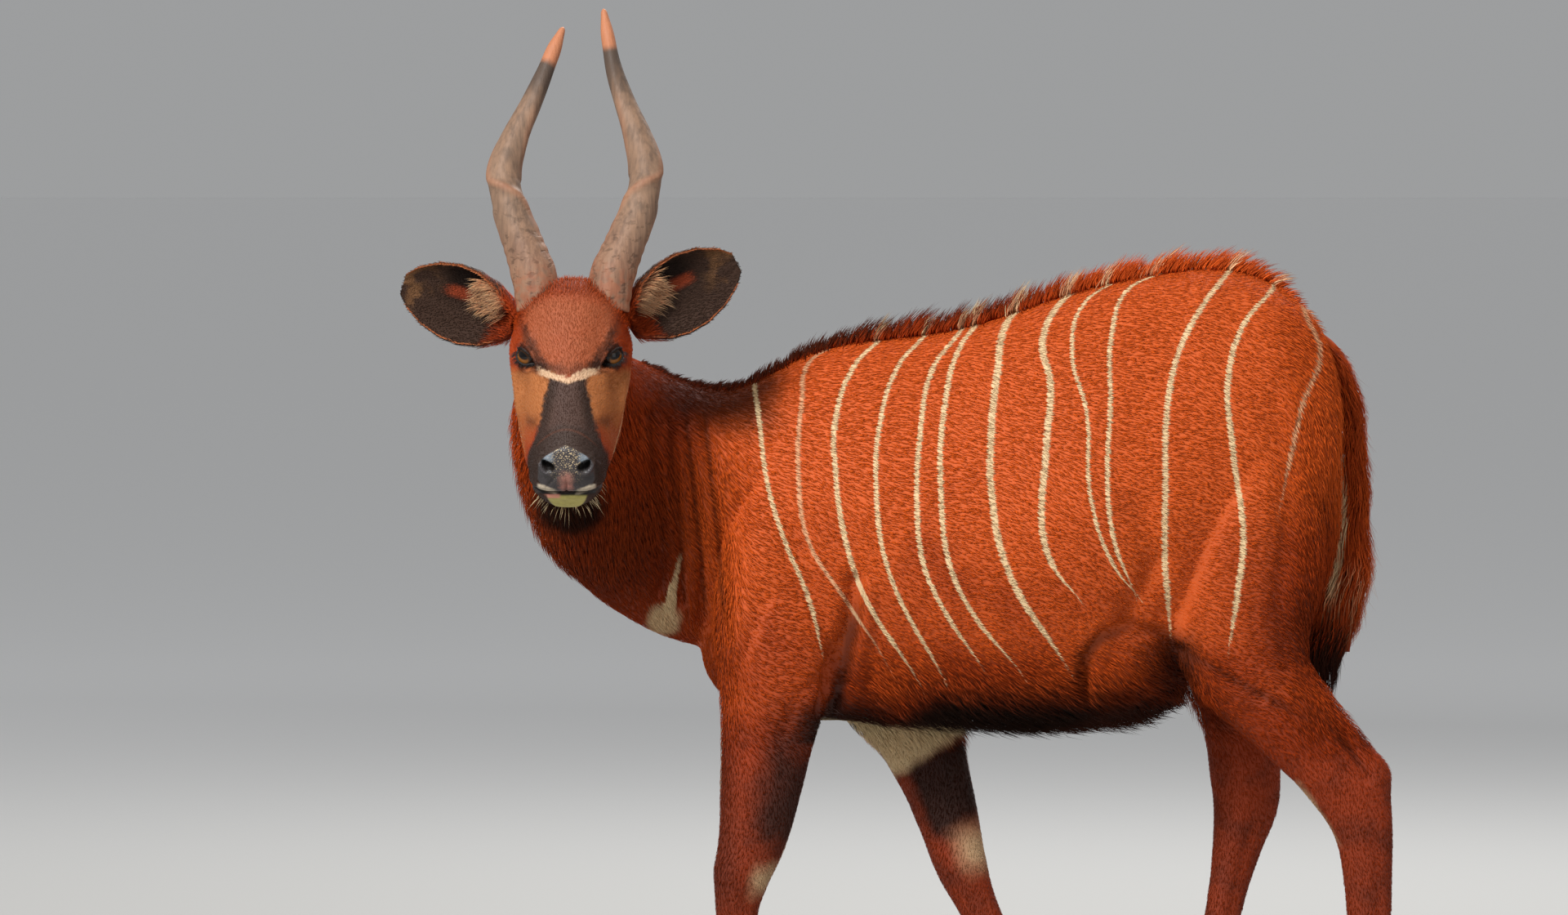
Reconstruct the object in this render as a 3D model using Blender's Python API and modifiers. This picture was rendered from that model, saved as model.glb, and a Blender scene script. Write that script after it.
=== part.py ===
"""A bongo antelope, life size, standing in mid stride with its head turned to its left side.

Metres, +Z up. The animal faces -X and its left side faces -Y. Every form is a loft through a short
list of measured sections, or an ellipsoid mass. The forms of flesh, dewclaws among them, are fused
into one body, smoothed, and parted into head, neck, torso and legs by thin cuts. Horns, ears, eyes,
hooves and tail are pieces of their own that meet the body across a gap of 0.3 mm.
"""

import math
import random

import bmesh
import bpy
import numpy as np
from mathutils import Matrix, Vector
from mathutils.bvhtree import BVHTree

GAP = 0.0003
MIDLINE_Y = 0.120
VOXEL = 0.0055
SHARP_ANGLE = math.radians(45)

# The head's own axes: forward along the nose, its left side, and up out of the forehead.
HEAD_ORIGIN = Vector((-0.483, -0.300, 1.068))
HEAD_PITCH = math.radians(50)
HEAD_YAW = math.radians(1)
FORWARD = Vector((
    -math.sin(HEAD_YAW) * math.cos(HEAD_PITCH),
    -math.cos(HEAD_YAW) * math.cos(HEAD_PITCH),
    -math.sin(HEAD_PITCH),
))
LEFTWARD = Vector((math.cos(HEAD_YAW), -math.sin(HEAD_YAW), 0))
UPWARD = FORWARD.cross(LEFTWARD)

EYE_RADIUS = 0.0205
EYE_ALONG, EYE_ASIDE, EYE_ABOVE = 0.012, 0.0560, 0.0140
LID_THICKNESS = 0.0030
LID_HALF_LENGTH = 0.0185
LID_RISE, LID_DROP = 0.0115, 0.0098
NOSTRIL_ALONG, NOSTRIL_ASIDE, NOSTRIL_ABOVE = 0.217, 0.0270, 0.0215
NOSTRIL_RADII = (0.0105, 0.0062, 0.0170)

# Sections of the trunk: x, top, widest height, bottom, half width.
TORSO = [
    (-0.290, 0.800, 0.710, 0.615, 0.060),
    (-0.256, 0.925, 0.730, 0.548, 0.112),
    (-0.207, 1.022, 0.760, 0.520, 0.140),
    (-0.146, 1.066, 0.790, 0.515, 0.156),
    (-0.073, 1.086, 0.790, 0.516, 0.170),
    (0.024, 1.095, 0.780, 0.518, 0.190),
    (0.122, 1.114, 0.770, 0.513, 0.210),
    (0.219, 1.147, 0.770, 0.508, 0.222),
    (0.305, 1.172, 0.790, 0.518, 0.222),
    (0.390, 1.189, 0.830, 0.560, 0.208),
    (0.475, 1.197, 0.870, 0.615, 0.188),
    (0.548, 1.182, 0.890, 0.640, 0.168),
    (0.605, 1.130, 0.890, 0.668, 0.140),
    (0.640, 1.062, 0.880, 0.720, 0.102),
    (0.655, 0.985, 0.870, 0.790, 0.058),
]

# Sections of the neck: x, y, z, half width, rise to the crest, drop to the throat.
NECK = [
    (-0.110, 0.000, 0.848, 0.125, 0.195, 0.200),
    (-0.183, 0.000, 0.854, 0.124, 0.190, 0.230),
    (-0.250, 0.000, 0.860, 0.118, 0.166, 0.238),
    (-0.320, -0.008, 0.880, 0.110, 0.144, 0.230),
    (-0.385, -0.036, 0.905, 0.104, 0.142, 0.212),
    (-0.438, -0.085, 0.937, 0.100, 0.144, 0.186),
    (-0.468, -0.138, 0.980, 0.094, 0.132, 0.142),
    (-0.480, -0.184, 1.027, 0.083, 0.112, 0.100),
    (-0.483, -0.222, 1.070, 0.072, 0.092, 0.086),
]

# Sections of each leg from the body down: x, y, z, half width, reach to the front, reach to the back.
FORE_NEAR = [
    (-0.190, -0.050, 0.840, 0.040, 0.050, 0.060),
    (-0.192, -0.088, 0.755, 0.058, 0.074, 0.084),
    (-0.192, -0.111, 0.672, 0.061, 0.082, 0.093),
    (-0.189, -0.121, 0.598, 0.057, 0.080, 0.090),
    (-0.191, -0.122, 0.538, 0.051, 0.074, 0.078),
    (-0.197, -0.120, 0.477, 0.046, 0.068, 0.066),
    (-0.205, -0.118, 0.428, 0.043, 0.061, 0.062),
    (-0.212, -0.116, 0.379, 0.040, 0.055, 0.056),
    (-0.223, -0.113, 0.331, 0.038, 0.047, 0.050),
    (-0.233, -0.110, 0.292, 0.037, 0.042, 0.042),
    (-0.241, -0.108, 0.254, 0.031, 0.033, 0.036),
    (-0.243, -0.106, 0.218, 0.026, 0.028, 0.032),
    (-0.245, -0.104, 0.160, 0.023, 0.026, 0.030),
    (-0.245, -0.102, 0.112, 0.028, 0.030, 0.035),
    (-0.257, -0.102, 0.072, 0.027, 0.027, 0.029),
    (-0.268, -0.102, 0.040, 0.031, 0.032, 0.031),
]
FORE_FAR = [
    (-0.195, 0.050, 0.840, 0.040, 0.050, 0.060),
    (-0.152, 0.088, 0.750, 0.058, 0.078, 0.080),
    (-0.100, 0.111, 0.668, 0.061, 0.082, 0.086),
    (-0.041, 0.121, 0.584, 0.057, 0.076, 0.080),
    (0.006, 0.123, 0.522, 0.051, 0.068, 0.072),
    (0.030, 0.122, 0.485, 0.048, 0.062, 0.066),
    (0.046, 0.120, 0.448, 0.045, 0.057, 0.060),
    (0.060, 0.118, 0.412, 0.042, 0.052, 0.053),
    (0.076, 0.115, 0.362, 0.039, 0.047, 0.047),
    (0.090, 0.112, 0.313, 0.037, 0.041, 0.041),
    (0.100, 0.110, 0.280, 0.036, 0.038, 0.038),
    (0.114, 0.108, 0.243, 0.030, 0.031, 0.033),
    (0.130, 0.106, 0.206, 0.026, 0.027, 0.031),
    (0.154, 0.104, 0.155, 0.023, 0.026, 0.030),
    (0.176, 0.102, 0.108, 0.028, 0.030, 0.034),
    (0.170, 0.102, 0.068, 0.027, 0.027, 0.029),
    (0.160, 0.102, 0.040, 0.031, 0.032, 0.031),
]
HIND_NEAR = [
    (0.520, -0.040, 1.050, 0.040, 0.060, 0.060),
    (0.523, -0.078, 0.960, 0.070, 0.104, 0.090),
    (0.522, -0.102, 0.862, 0.082, 0.128, 0.103),
    (0.513, -0.115, 0.757, 0.085, 0.130, 0.114),
    (0.507, -0.118, 0.669, 0.076, 0.115, 0.104),
    (0.530, -0.117, 0.588, 0.064, 0.080, 0.084),
    (0.586, -0.114, 0.520, 0.052, 0.067, 0.068),
    (0.638, -0.111, 0.466, 0.043, 0.062, 0.060),
    (0.670, -0.108, 0.418, 0.037, 0.058, 0.058),
    (0.690, -0.106, 0.354, 0.032, 0.044, 0.044),
    (0.696, -0.104, 0.294, 0.028, 0.038, 0.037),
    (0.698, -0.102, 0.233, 0.025, 0.034, 0.034),
    (0.699, -0.101, 0.165, 0.024, 0.029, 0.031),
    (0.699, -0.100, 0.117, 0.029, 0.031, 0.035),
    (0.688, -0.100, 0.074, 0.027, 0.027, 0.029),
    (0.677, -0.100, 0.040, 0.031, 0.032, 0.031),
]
HIND_FAR = [
    (0.520, 0.040, 1.030, 0.040, 0.060, 0.060),
    (0.516, 0.078, 0.935, 0.070, 0.104, 0.090),
    (0.506, 0.102, 0.831, 0.082, 0.124, 0.103),
    (0.497, 0.115, 0.717, 0.083, 0.118, 0.106),
    (0.505, 0.118, 0.609, 0.070, 0.084, 0.090),
    (0.519, 0.117, 0.523, 0.057, 0.064, 0.068),
    (0.523, 0.113, 0.449, 0.044, 0.054, 0.056),
    (0.523, 0.110, 0.381, 0.036, 0.048, 0.052),
    (0.513, 0.107, 0.326, 0.030, 0.039, 0.040),
    (0.501, 0.105, 0.270, 0.026, 0.031, 0.032),
    (0.488, 0.103, 0.209, 0.024, 0.027, 0.029),
    (0.472, 0.101, 0.145, 0.023, 0.026, 0.029),
    (0.461, 0.100, 0.100, 0.028, 0.030, 0.034),
    (0.446, 0.100, 0.064, 0.027, 0.027, 0.029),
    (0.433, 0.100, 0.040, 0.031, 0.032, 0.031),
]

# Sections of the head: along the nose, half width, top, widest height, bottom.
HEAD = [
    (-0.138, 0.040, 0.012, -0.016, -0.056),
    (-0.120, 0.064, 0.040, -0.014, -0.086),
    (-0.092, 0.078, 0.060, -0.014, -0.106),
    (-0.060, 0.084, 0.070, -0.018, -0.122),
    (-0.030, 0.087, 0.073, -0.026, -0.131),
    (0.000, 0.086, 0.069, -0.034, -0.134),
    (0.030, 0.084, 0.063, -0.042, -0.131),
    (0.060, 0.081, 0.057, -0.048, -0.122),
    (0.090, 0.076, 0.052, -0.050, -0.110),
    (0.120, 0.068, 0.048, -0.046, -0.097),
    (0.150, 0.060, 0.046, -0.036, -0.085),
    (0.180, 0.056, 0.044, -0.024, -0.078),
    (0.204, 0.054, 0.037, -0.018, -0.077),
    (0.222, 0.048, 0.024, -0.020, -0.073),
    (0.234, 0.034, 0.004, -0.026, -0.062),
]

# Masses of muscle and belly on one side: centre, radii, lean inward and turn about Y in degrees.
MASSES = [
    ((-0.165, -0.080, 0.810), (0.098, 0.070, 0.200), 16, 12),
    ((-0.178, -0.100, 0.640), (0.090, 0.058, 0.120), 4, -22),
    ((0.525, -0.082, 0.960), (0.132, 0.078, 0.210), 12, 6),
    ((-0.165, 0.080, 0.800), (0.098, 0.070, 0.200), -16, 12),
    ((-0.120, 0.100, 0.640), (0.090, 0.058, 0.120), -4, -42),
    ((0.520, 0.082, 0.950), (0.132, 0.078, 0.210), -12, 6),
    ((0.335, 0.000, 0.585), (0.105, 0.090, 0.066), 0, -20),
    ((-0.245, -0.010, 0.660), (0.055, 0.080, 0.110), 0, 0),
    ((-0.150, 0.040, 0.645), (0.110, 0.085, 0.105), 0, 0),
]

# Sections of a horn: x, y, z, radius. The left horn, then the right one.
HORN_LEFT = [
    (-0.430, -0.268, 1.135, 0.0300),
    (-0.424, -0.264, 1.175, 0.0305),
    (-0.404, -0.248, 1.229, 0.0270),
    (-0.383, -0.230, 1.282, 0.0252),
    (-0.374, -0.212, 1.336, 0.0240),
    (-0.387, -0.195, 1.390, 0.0200),
    (-0.405, -0.180, 1.438, 0.0165),
    (-0.421, -0.168, 1.486, 0.0132),
    (-0.430, -0.158, 1.532, 0.0090),
    (-0.437, -0.150, 1.576, 0.0040),
]
HORN_RIGHT = [
    (-0.529, -0.268, 1.135, 0.0300),
    (-0.535, -0.264, 1.175, 0.0305),
    (-0.553, -0.248, 1.229, 0.0270),
    (-0.572, -0.230, 1.280, 0.0252),
    (-0.582, -0.212, 1.330, 0.0240),
    (-0.567, -0.195, 1.384, 0.0200),
    (-0.543, -0.180, 1.436, 0.0165),
    (-0.524, -0.168, 1.480, 0.0132),
    (-0.509, -0.158, 1.518, 0.0090),
    (-0.496, -0.150, 1.549, 0.0040),
]
HORN_TURNS = 0.85
HORN_KEEL = 0.24

# Ears: root, tip and the way the cup opens. Their sections: share of the length, half width, depth of
# the cup and how far it wraps round, in degrees.
EAR_LEFT = ((-0.398, -0.238, 1.112), (-0.236, -0.215, 1.205), (0.10, -0.90, -0.28))
EAR_RIGHT = ((-0.566, -0.238, 1.112), (-0.735, -0.215, 1.172), (-0.10, -0.90, -0.28))
EAR_SECTIONS = [
    (0.00, 0.024, 0.022, 140),
    (0.08, 0.034, 0.027, 124),
    (0.22, 0.050, 0.030, 106),
    (0.38, 0.059, 0.029, 96),
    (0.56, 0.060, 0.025, 88),
    (0.74, 0.051, 0.019, 82),
    (0.89, 0.034, 0.012, 78),
    (0.98, 0.015, 0.005, 74),
]
EAR_THICKNESS = 0.0050

# Sections of the tail: x, y, z, half width, reach to the front, reach to the back.
TAIL = [
    (0.600, 0.000, 1.096, 0.026, 0.024, 0.024),
    (0.640, 0.000, 1.068, 0.028, 0.026, 0.026),
    (0.668, 0.000, 1.010, 0.028, 0.022, 0.026),
    (0.679, 0.000, 0.940, 0.027, 0.022, 0.026),
    (0.682, 0.000, 0.860, 0.027, 0.024, 0.026),
    (0.675, 0.000, 0.770, 0.029, 0.028, 0.028),
    (0.666, 0.000, 0.690, 0.030, 0.030, 0.030),
    (0.658, 0.000, 0.620, 0.027, 0.027, 0.027),
    (0.655, 0.000, 0.560, 0.016, 0.016, 0.016),
    (0.656, 0.000, 0.520, 0.006, 0.006, 0.006),
]

# Mane along the crest and back: x of the skin and how far the hair stands over it there.
MANE = [(-0.360, 0.010), (-0.240, 0.015), (-0.110, 0.024), (-0.020, 0.040), (0.080, 0.036), (0.300, 0.033)]
MANE += [(0.500, 0.034), (0.560, 0.024), (0.620, 0.014)]
MANE_STEP = 0.015
MANE_ROWS = (0.0, 0.0095, -0.0095)
MANE_ROOT = 0.012
MANE_LEANS = (0.30, 0.50, 0.70, 0.85)
NECK_MANE_SPAN = (-0.362, -0.286)
TORSO_MANE_SPAN = (-0.226, 0.600)

# Locks of the tail: share of the way down, length, width, and how far the tip stands off the core.
TAIL_LOCKS = [
    (0.34, 0.085, 0.026, 0.003, 4),
    (0.50, 0.090, 0.028, 0.005, 5),
    (0.65, 0.090, 0.029, 0.006, 5),
    (0.78, 0.085, 0.026, 0.007, 5),
    (0.89, 0.065, 0.022, 0.007, 4),
]

# Where each leg parts from the trunk, seen from the side: x, z round each part of the leg.
FORE_NEAR_EDGE = [
    (-0.292, 0.560), (-0.290, 0.640), (-0.268, 0.715), (-0.225, 0.765), (-0.170, 0.778), (-0.118, 0.750),
    (-0.088, 0.690), (-0.080, 0.620), (-0.090, 0.555), (-0.104, 0.480), (-0.060, -0.10), (-0.400, -0.10),
]
FORE_FAR_EDGE = [
    (-0.092, 0.490), (-0.128, 0.556), (-0.176, 0.618), (-0.222, 0.684), (-0.240, 0.745), (-0.212, 0.795),
    (-0.150, 0.808), (-0.085, 0.780), (-0.025, 0.722), (0.030, 0.655), (0.078, 0.590), (0.112, 0.500),
    (0.400, -0.10), (-0.120, -0.10),
]
HIND_EDGE = [
    (0.372, 0.520), (0.366, 0.620), (0.372, 0.720), (0.392, 0.830), (0.425, 0.925), (0.470, 0.985),
    (0.525, 1.008), (0.578, 0.990), (0.628, 0.930), (0.680, 0.830), (0.760, 0.700), (0.900, 0.400),
    (0.900, -0.10), (0.330, -0.10),
]
LEG_INNER_Y = 0.042

# Planes across the neck: a point, and the way towards the nose.
HEAD_CUT = ((-0.482, -0.214, 1.060), (0.00, -0.985, 0.170))
NECK_CUT = ((-0.262, 0.000, 0.860), (-1.00, -0.06, 0.10))

# Feet: middle of the coronet, for the hoof under each leg, and which way the toe points from straight ahead.
CORONET_HEIGHT = 0.046
CORONET_SLOPE = 0.34
FEET = {
    "fore_left": (-0.268, -0.102, -3.0),
    "fore_right": (0.160, 0.102, 3.0),
    "hind_left": (0.677, -0.100, -4.0),
    "hind_right": (0.433, 0.100, 4.0),
}

# Triangles left on each piece after thinning.
TRIANGLES = {
    "head": 2500,
    "neck": 700,
    "torso": 3800,
    "foreleg_left": 520,
    "foreleg_right": 520,
    "hindleg_left": 560,
    "hindleg_right": 560,
}

# Dewclaws: how far behind the middle of the fetlock, to each side and above the floor, and their radii.
DEWCLAW_BEHIND, DEWCLAW_ASIDE, DEWCLAW_ABOVE = 0.031, 0.0165, 0.094
DEWCLAW_RADII = (0.0095, 0.0085, 0.0150)
FETLOCKS = {"fore_left": -0.247, "fore_right": 0.172, "hind_left": 0.694, "hind_right": 0.456}

# Colour and roughness of each node's own material.
HIDE = (0.46, 0.105, 0.022)
HORN_BROWN = (0.105, 0.072, 0.060)
HOOF_BLACK = (0.020, 0.017, 0.015)
COLOURS = {
    "torso": (HIDE, 0.75),
    "neck": (HIDE, 0.75),
    "head": ((0.38, 0.12, 0.045), 0.72),
    "tail": (HIDE, 0.80),
    "foreleg_left": ((0.33, 0.065, 0.018), 0.75),
    "foreleg_right": ((0.33, 0.065, 0.018), 0.75),
    "hindleg_left": ((0.40, 0.085, 0.020), 0.75),
    "hindleg_right": ((0.40, 0.085, 0.020), 0.75),
    "ear_left": ((0.060, 0.022, 0.014), 0.80),
    "ear_right": ((0.060, 0.022, 0.014), 0.80),
    "horn_left": (HORN_BROWN, 0.45),
    "horn_right": (HORN_BROWN, 0.45),
    "eye_left": ((0.018, 0.010, 0.007), 0.08),
    "eye_right": ((0.018, 0.010, 0.007), 0.08),
}


def column(rows, index):
    return np.array([row[index] for row in rows], float)


def through(rows, count):
    """The rows joined by a smooth curve through them all, read at count places even along its length."""
    rows = np.array(rows, float)
    steps = np.linalg.norm(np.diff(rows[:, :3], axis=0), axis=1)
    knots = np.concatenate([[0.0], np.cumsum(steps)])
    slopes = np.gradient(rows, knots, axis=0)
    at = np.linspace(0.0, knots[-1], count)
    left = np.clip(np.searchsorted(knots, at, side="right") - 1, 0, len(knots) - 2)
    width = knots[left + 1] - knots[left]
    t = ((at - knots[left]) / width)[:, None]
    width = width[:, None]
    return (
        (2 * t**3 - 3 * t**2 + 1) * rows[left]
        + (t**3 - 2 * t**2 + t) * width * slopes[left]
        + (3 * t**2 - 2 * t**3) * rows[left + 1]
        + (t**3 - t**2) * width * slopes[left + 1]
    )


def unit(vectors):
    return vectors / np.linalg.norm(vectors, axis=-1, keepdims=True)


def bridge(rings):
    """A closed mesh through rings of points, with a fan at each end. Returns points and faces."""
    count, around = len(rings), len(rings[0])
    points = [tuple(p) for ring in rings for p in ring]
    faces = []
    for i in range(count - 1):
        for j in range(around):
            k = (j + 1) % around
            faces.append((i * around + j, i * around + k, (i + 1) * around + k, (i + 1) * around + j))
    first, last = len(points), len(points) + 1
    points.append(tuple(np.mean(rings[0], axis=0)))
    points.append(tuple(np.mean(rings[-1], axis=0)))
    for j in range(around):
        k = (j + 1) % around
        faces.append((first, k, j))
        faces.append((last, (count - 1) * around + j, (count - 1) * around + k))
    return points, faces


def make_object(name, points, faces, collection=None):
    mesh = bpy.data.meshes.new(name)
    mesh.from_pydata([tuple(map(float, p)) for p in points], [], faces)
    bm = bmesh.new()
    bm.from_mesh(mesh)
    bmesh.ops.recalc_face_normals(bm, faces=bm.faces)
    bm.to_mesh(mesh)
    bm.free()
    made = bpy.data.objects.new(name, mesh)
    (collection or bpy.context.scene.collection).objects.link(made)
    return made


def section_ring(centre, aside, upward, half, rise, drop, around, bulk=1.0, pinch=(0.0, 0.0)):
    """One closed section. bulk below 1 squares it, and pinch narrows its upper and lower halves."""
    turn = np.linspace(0, 2 * math.pi, around, endpoint=False)
    c, s = np.cos(turn), np.sin(turn)
    across = np.sign(c) * np.abs(c) ** bulk * half
    across *= 1 - pinch[0] * np.maximum(s, 0) ** 1.5 - pinch[1] * np.maximum(-s, 0) ** 1.5
    over = np.sign(s) * np.abs(s) ** bulk * np.where(s > 0, rise, drop)
    return centre + across[:, None] * aside + over[:, None] * upward


def loft(name, rows, hint, count, around, bulk=1.0, pinch=(0.0, 0.0), level=None):
    """A closed form along a bent path. Each row is x, y, z, half width, reach towards hint, reach away.

    Sections stand square to the path, or square to level where that is given.
    """
    rows = through(rows, count)
    path = rows[:, :3]
    along = unit(np.gradient(path, axis=0)) if level is None else np.tile(level, (count, 1))
    upward = unit(np.array(hint) - (along @ np.array(hint))[:, None] * along)
    aside = np.cross(along, upward)
    rings = [
        section_ring(path[i], aside[i], upward[i], *rows[i, 3:6], around, bulk, pinch)
        for i in range(count)
    ]
    return make_object(name, *bridge(rings))


def torso_form():
    rows = [(x, 0.0, wide, half, top - wide, wide - low) for x, top, wide, low, half in TORSO]
    return loft("torso_form", rows, (0, 0, 1), 90, 110, 0.95, (0.30, 0.05), (1.0, 0.0, 0.0))


def head_place(along, aside, above):
    return HEAD_ORIGIN + float(along) * FORWARD + float(aside) * LEFTWARD + float(above) * UPWARD


def head_form():
    rows = through([(a, 0.0, wide, half, top - wide, wide - low) for a, half, top, wide, low in HEAD], 60)
    rings = []
    for along, _, wide, half, rise, drop in rows:
        muzzle = min(max((along - 0.03) / 0.10, 0.0), 1.0)
        crown = min(max((-0.02 - along) / 0.06, 0.0), 1.0)
        blunt = min(max((along - 0.12) / 0.06, 0.0), 1.0)
        centre = np.array(head_place(along, 0.0, wide))
        narrow = 0.22 + 0.16 * muzzle * (1 - blunt) - 0.14 * crown
        rings.append(section_ring(
            centre, np.array(LEFTWARD), np.array(UPWARD), half, rise, drop, 90,
            0.84 - 0.04 * muzzle - 0.06 * crown,
            (narrow, 0.06 + 0.14 * crown - 0.14 * muzzle * (1 - blunt)),
        ))
    return make_object("head_form", *bridge(rings))


def ellipsoid(name, centre, radii, lean=0.0, turn=0.0, segments=28):
    bm = bmesh.new()
    bmesh.ops.create_uvsphere(bm, u_segments=segments, v_segments=segments * 2 // 3, radius=1.0)
    shape = (
        Matrix.Translation(centre)
        @ Matrix.Rotation(math.radians(-lean), 4, "X")
        @ Matrix.Rotation(math.radians(turn), 4, "Y")
        @ Matrix.Diagonal((*radii, 1.0))
    )
    bm.transform(shape)
    mesh = bpy.data.meshes.new(name)
    bm.to_mesh(mesh)
    bm.free()
    made = bpy.data.objects.new(name, mesh)
    bpy.context.scene.collection.objects.link(made)
    return made


def evaluated(obj, name):
    """A new object that holds obj's mesh with its modifiers applied. obj is removed."""
    bpy.context.view_layer.update()
    graph = bpy.context.evaluated_depsgraph_get()
    mesh = bpy.data.meshes.new_from_object(obj.evaluated_get(graph))
    bpy.data.objects.remove(obj)
    mesh.name = name
    made = bpy.data.objects.new(name, mesh)
    bpy.context.scene.collection.objects.link(made)
    return made


def merged(objects, name):
    """All the closed meshes in one object, not yet joined where they overlap."""
    bm = bmesh.new()
    for obj in objects:
        bm.from_mesh(obj.data)
        bpy.data.objects.remove(obj)
    mesh = bpy.data.meshes.new(name)
    bm.to_mesh(mesh)
    bm.free()
    made = bpy.data.objects.new(name, mesh)
    bpy.context.scene.collection.objects.link(made)
    return made


def fused(objects, name, voxel):
    """One skin round every form, by a voxel remesh."""
    body = merged(objects, name)
    remesh = body.modifiers.new("Fuse", "REMESH")
    remesh.mode = "VOXEL"
    remesh.voxel_size = voxel
    return evaluated(body, name)


def points_of(obj):
    flat = np.empty(len(obj.data.vertices) * 3)
    obj.data.vertices.foreach_get("co", flat)
    return flat.reshape(-1, 3)


def normals_of(obj):
    flat = np.empty(len(obj.data.vertices) * 3)
    obj.data.vertices.foreach_get("normal", flat)
    return flat.reshape(-1, 3)


def put_points(obj, points):
    obj.data.vertices.foreach_set("co", points.ravel())
    obj.data.update()


def step_up(values, low, high):
    """0 below low, 1 above high, and smooth between."""
    t = np.clip((values - low) / (high - low), 0.0, 1.0)
    return t * t * (3 - 2 * t)


def relaxed(obj, share, passes):
    """Smooths the mesh in place. share says how much of each pass every point takes."""
    edges = np.empty(len(obj.data.edges) * 2, int)
    obj.data.edges.foreach_get("vertices", edges)
    edges = edges.reshape(-1, 2)
    points = points_of(obj)
    degree = np.bincount(edges.ravel(), minlength=len(points))[:, None]
    for _ in range(passes):
        total = np.zeros_like(points)
        for axis in range(3):
            total[:, axis] = np.bincount(edges[:, 0], points[edges[:, 1], axis], len(points))
            total[:, axis] += np.bincount(edges[:, 1], points[edges[:, 0], axis], len(points))
        points += share[:, None] * 0.5 * (total / degree - points)
    put_points(obj, points)


def head_coordinates(points):
    """Along the nose, aside and above, for points in the frame of the body."""
    offset = points - np.array(HEAD_ORIGIN)
    return offset @ np.array(FORWARD), offset @ np.array(LEFTWARD), offset @ np.array(UPWARD)


def bump(distance, width):
    return np.exp(-((distance / width) ** 2))


def mouth_height(along):
    """Height of the mouth line in the head's axes, from its corner to the middle of the lips."""
    return -0.054 + 0.029 * step_up(along, 0.170, 0.236)


def carve_head(obj):
    """Raises the brow, cheekbone, jaw, nostril rims and lips, and sinks the hollows and the mouth line."""
    points, normals = points_of(obj), normals_of(obj)
    along, aside, above = head_coordinates(points)
    near = (along > -0.15) & (along < 0.26) & (np.abs(aside) < 0.12) & (np.abs(above) < 0.16)
    away = np.abs(aside)
    flank = step_up(away, 0.042, 0.060)
    rise = np.zeros(len(points))
    brow = np.hypot(along - EYE_ALONG + 0.014, above - EYE_ABOVE - 0.027)
    rise += 0.0055 * bump(brow, 0.018) * flank
    tear_hollow = np.hypot(along - EYE_ALONG - 0.042, above - EYE_ABOVE + 0.014)
    rise -= 0.0050 * bump(tear_hollow, 0.018) * flank
    cheekbone = above + 0.014 + 0.22 * (along + 0.02)
    cheek_span = step_up(along, -0.07, -0.02) * (1 - step_up(along, 0.06, 0.11))
    rise += 0.0050 * bump(cheekbone, 0.010) * flank * cheek_span
    rise += 0.0040 * bump(np.hypot(along + 0.005, above + 0.075), 0.042) * flank
    for side in (1, -1):
        front = eye_place(side) + eye_axes(side)[0] * EYE_RADIUS
        rise += 0.0055 * bump(np.linalg.norm(points - np.array(front), axis=1), 0.026)
    rise -= 0.0035 * bump(np.hypot(along - 0.105, above + 0.020), 0.026) * step_up(away, 0.035, 0.050)
    nostril = np.hypot(along - NOSTRIL_ALONG, above - NOSTRIL_ABOVE)
    rise += 0.0040 * bump(nostril - 0.017, 0.009) * bump(away - NOSTRIL_ASIDE - 0.008, 0.016)
    line = above - mouth_height(along)
    mouth = step_up(along, 0.140, 0.152)
    rise -= 0.0065 * bump(line, 0.0040) * mouth
    rise += 0.0030 * bump(line - 0.013, 0.008) * mouth
    rise += 0.0030 * bump(line + 0.011, 0.008) * mouth
    rise -= 0.0030 * bump(away, 0.0035) * bump(above + 0.014, 0.014) * step_up(along, 0.19, 0.21)
    put_points(obj, points + (rise * near)[:, None] * normals)


def whole_body():
    """Every form of flesh fused into one, broad and soft on the trunk and crisp on head and feet."""
    forms = [torso_form(), head_form(), loft("neck_form", NECK, (0, 0, 1), 60, 90, 1.0, (0.25, 0.10))]
    for name, rows in (("fore_near", FORE_NEAR), ("fore_far", FORE_FAR)):
        forms.append(loft(name, rows, (-1, 0, 0), 110, 44, 0.92))
    for name, rows in (("hind_near", HIND_NEAR), ("hind_far", HIND_FAR)):
        forms.append(loft(name, rows, (-1, 0, 0), 110, 44, 0.95, (0.12, 0.25)))
    for number, (centre, radii, lean, turn) in enumerate(MASSES):
        forms.append(ellipsoid(f"mass_{number}", centre, radii, lean, turn))
    for foot, x in FETLOCKS.items():
        for side in (1, -1):
            place = (x + DEWCLAW_BEHIND, FEET[foot][1] + side * DEWCLAW_ASIDE, DEWCLAW_ABOVE)
            forms.append(ellipsoid("dewclaw", place, DEWCLAW_RADII, turn=-24, segments=16))
    body = fused(forms, "body", VOXEL)
    points = points_of(body)
    along, _, _ = head_coordinates(points)
    trunk = step_up(points[:, 2], 0.42, 0.60) * (1 - step_up(along, -0.13, -0.03))
    relaxed(body, 0.25 + 0.75 * trunk, 8)
    relaxed(body, trunk, 130)
    carve_head(body)
    return body


def cut(obj, cutter, operation, solver="MANIFOLD"):
    """obj with cutter taken away from it, or only what they share. Both are used up."""
    modifier = obj.modifiers.new("Cut", "BOOLEAN")
    modifier.operation = operation
    modifier.solver = solver
    modifier.object = cutter
    made = evaluated(obj, obj.name)
    bpy.data.objects.remove(cutter)
    return made


def copied(obj, name):
    made = bpy.data.objects.new(name, obj.data.copy())
    bpy.context.scene.collection.objects.link(made)
    return made


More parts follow.
